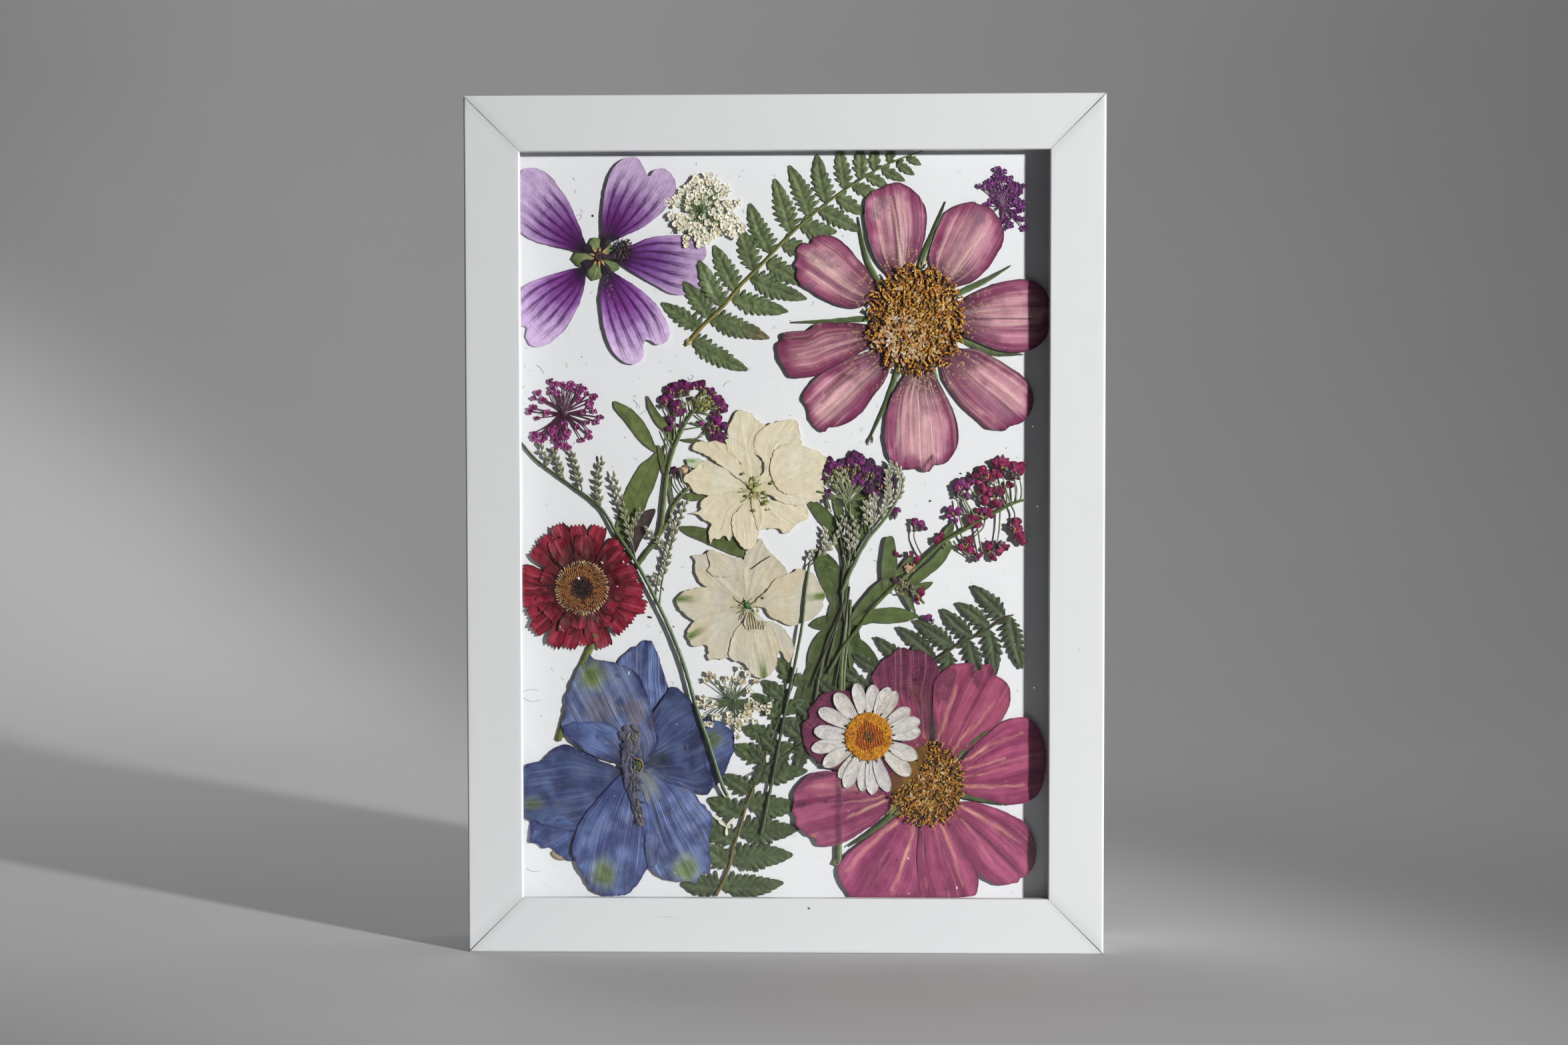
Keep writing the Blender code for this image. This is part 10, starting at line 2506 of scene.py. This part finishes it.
for u, v, r, long, a in [(1362, 1288, 1.1, 1.8, 1.0), (1435, 1332, 1.3, 2.0, 1.4), (1363, 1341, 0.9, 1.3, 0), (903, 844, 1.2, 2.2, 0.9), (935, 843, 1.1, 2.0, 1.2), (926, 880, 0.9, 1.6, 0.4), (957, 874, 0.9, 1.6, 0.2), (840, 940, 0.9, 1.6, 1.0), (943, 1010, 1.0, 3.2, 1.9), (1010, 1010, 0.8, 1.5, 0.5), (1556, 760, 0.8, 1.2, 0), (1549, 640, 0.7, 1.2, 0), (1551, 1032, 0.9, 1.2, 0)]:
    add_bead(flecks, (u, v, 18.8), r, shade(0.92, 0.92, 0.91), squash=0.35, rings=4, sides=6, stretch=long, angle=a, seed=3)
obj = flecks.build("flecks_on_glass", [FIBRE], sharp=60.0)
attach(obj, "root")


# ---------------------------------------------------------- floor, light, camera
def sweep():
    """A pale floor that curves up into a pale backdrop."""
    profile = [(-1.6, 0.0), (0.30, 0.0)]
    for i in range(1, 17):
        a = math.pi / 2 * i / 16
        profile.append((0.30 + 0.35 * math.sin(a), 0.35 - 0.35 * math.cos(a)))
    profile.append((0.65, 2.2))
    points, faces = [], []
    for y, z in profile:
        points += [(-2.2, y, z), (2.2, y, z)]
    for i in range(len(profile) - 1):
        faces.append((2 * i, 2 * i + 1, 2 * i + 3, 2 * i + 2))
    mesh = bpy.data.meshes.new("studio_sweep")
    mesh.from_pydata(points, [], faces)
    mesh.shade_smooth()
    g = Graph("studio_paper")
    soft = g.clouds(g.ground(), 9.0, 2.0)
    mesh.materials.append(
        g.finish(g.mix(soft, (0.50, 0.50, 0.505), (0.54, 0.54, 0.545)), 0.85, Specular_IOR_Level=0.1)
    )
    obj = bpy.data.objects.new("studio_sweep", mesh)
    bpy.context.collection.objects.link(obj)


sweep()


def lamp(name, at, target, size, watts, colour=(1, 1, 1), tall=None):
    data = bpy.data.lights.new(name, "AREA")
    data.shape = "RECTANGLE" if tall else "DISK"
    data.size = size
    if tall:
        data.size_y = tall
    data.energy, data.color = watts, colour
    obj = bpy.data.objects.new(name, data)
    obj.location = at
    obj.rotation_mode = "QUATERNION"
    obj.rotation_quaternion = (Vector(target) - Vector(at)).to_track_quat("-Z", "Y")
    bpy.context.collection.objects.link(obj)
    return obj


def beam(name, at, target, radius, angle, watts, colour, blend):
    data = bpy.data.lights.new(name, "SPOT")
    data.spot_size, data.spot_blend, data.shadow_soft_size = math.radians(angle), blend, radius
    data.energy, data.color = watts, colour
    obj = bpy.data.objects.new(name, data)
    obj.location = at
    obj.rotation_mode = "QUATERNION"
    obj.rotation_quaternion = (Vector(target) - Vector(at)).to_track_quat("-Z", "Y")
    bpy.context.collection.objects.link(obj)
    return obj


# The main light stands to the right, 52 degrees off the glass and a little above it.
KEY = Vector((math.sin(math.radians(52)) * math.cos(math.radians(9)), -math.cos(math.radians(52)) * math.cos(math.radians(9)), math.sin(math.radians(9))))
MIDDLE = Vector((0.0, 0.0, OUTER_H / 2 * MM))
beam("key_light", MIDDLE + KEY * 1.35, MIDDLE + Vector((-0.018, 0.0, 0.020)), 0.035, 18.0, 107.0, (1.0, 0.985, 0.965), 0.6)
lamp("overhead_fill", (-0.3, -0.5, 1.6), (0.0, 0.1, 0.05), 1.8, 0.45, (0.95, 0.975, 1.0), tall=1.2)
behind = lamp("back_light", (-0.35, 0.50, 0.70), (0.0, 0.01, 0.1), 0.5, 1.6, (0.97, 0.985, 1.0), tall=0.4)
behind.visible_camera = False
wash = lamp("backdrop_light", (0.0, 0.16, 0.75), (0.0, 0.62, 0.25), 0.9, 2.0, (1.0, 1.0, 1.0), tall=0.2)
wash.visible_camera = False
world = bpy.data.worlds.new("studio")
world.use_nodes = True
world.node_tree.nodes["Background"].inputs[0].default_value = (0.93, 0.96, 1.0, 1.0)
world.node_tree.nodes["Background"].inputs[1].default_value = 0.018
bpy.context.scene.world = world

camera = bpy.data.cameras.new("camera")
camera.lens, camera.sensor_width, camera.sensor_fit = 50.0, 36.0, "HORIZONTAL"
camera.clip_start, camera.clip_end = 0.01, 20.0
eye = bpy.data.objects.new("camera", camera)
turn = Matrix((RIGHT, -DOWN, -AHEAD)).transposed().to_4x4()
eye.matrix_world = Matrix.Translation(Vector((EYE[0], EYE[1] + FRONT, EYE[2])) * MM) @ turn
bpy.context.collection.objects.link(eye)
bpy.context.scene.camera = eye
bpy.context.scene.view_settings.view_transform = "Standard"
bpy.context.scene.view_settings.look = "None"
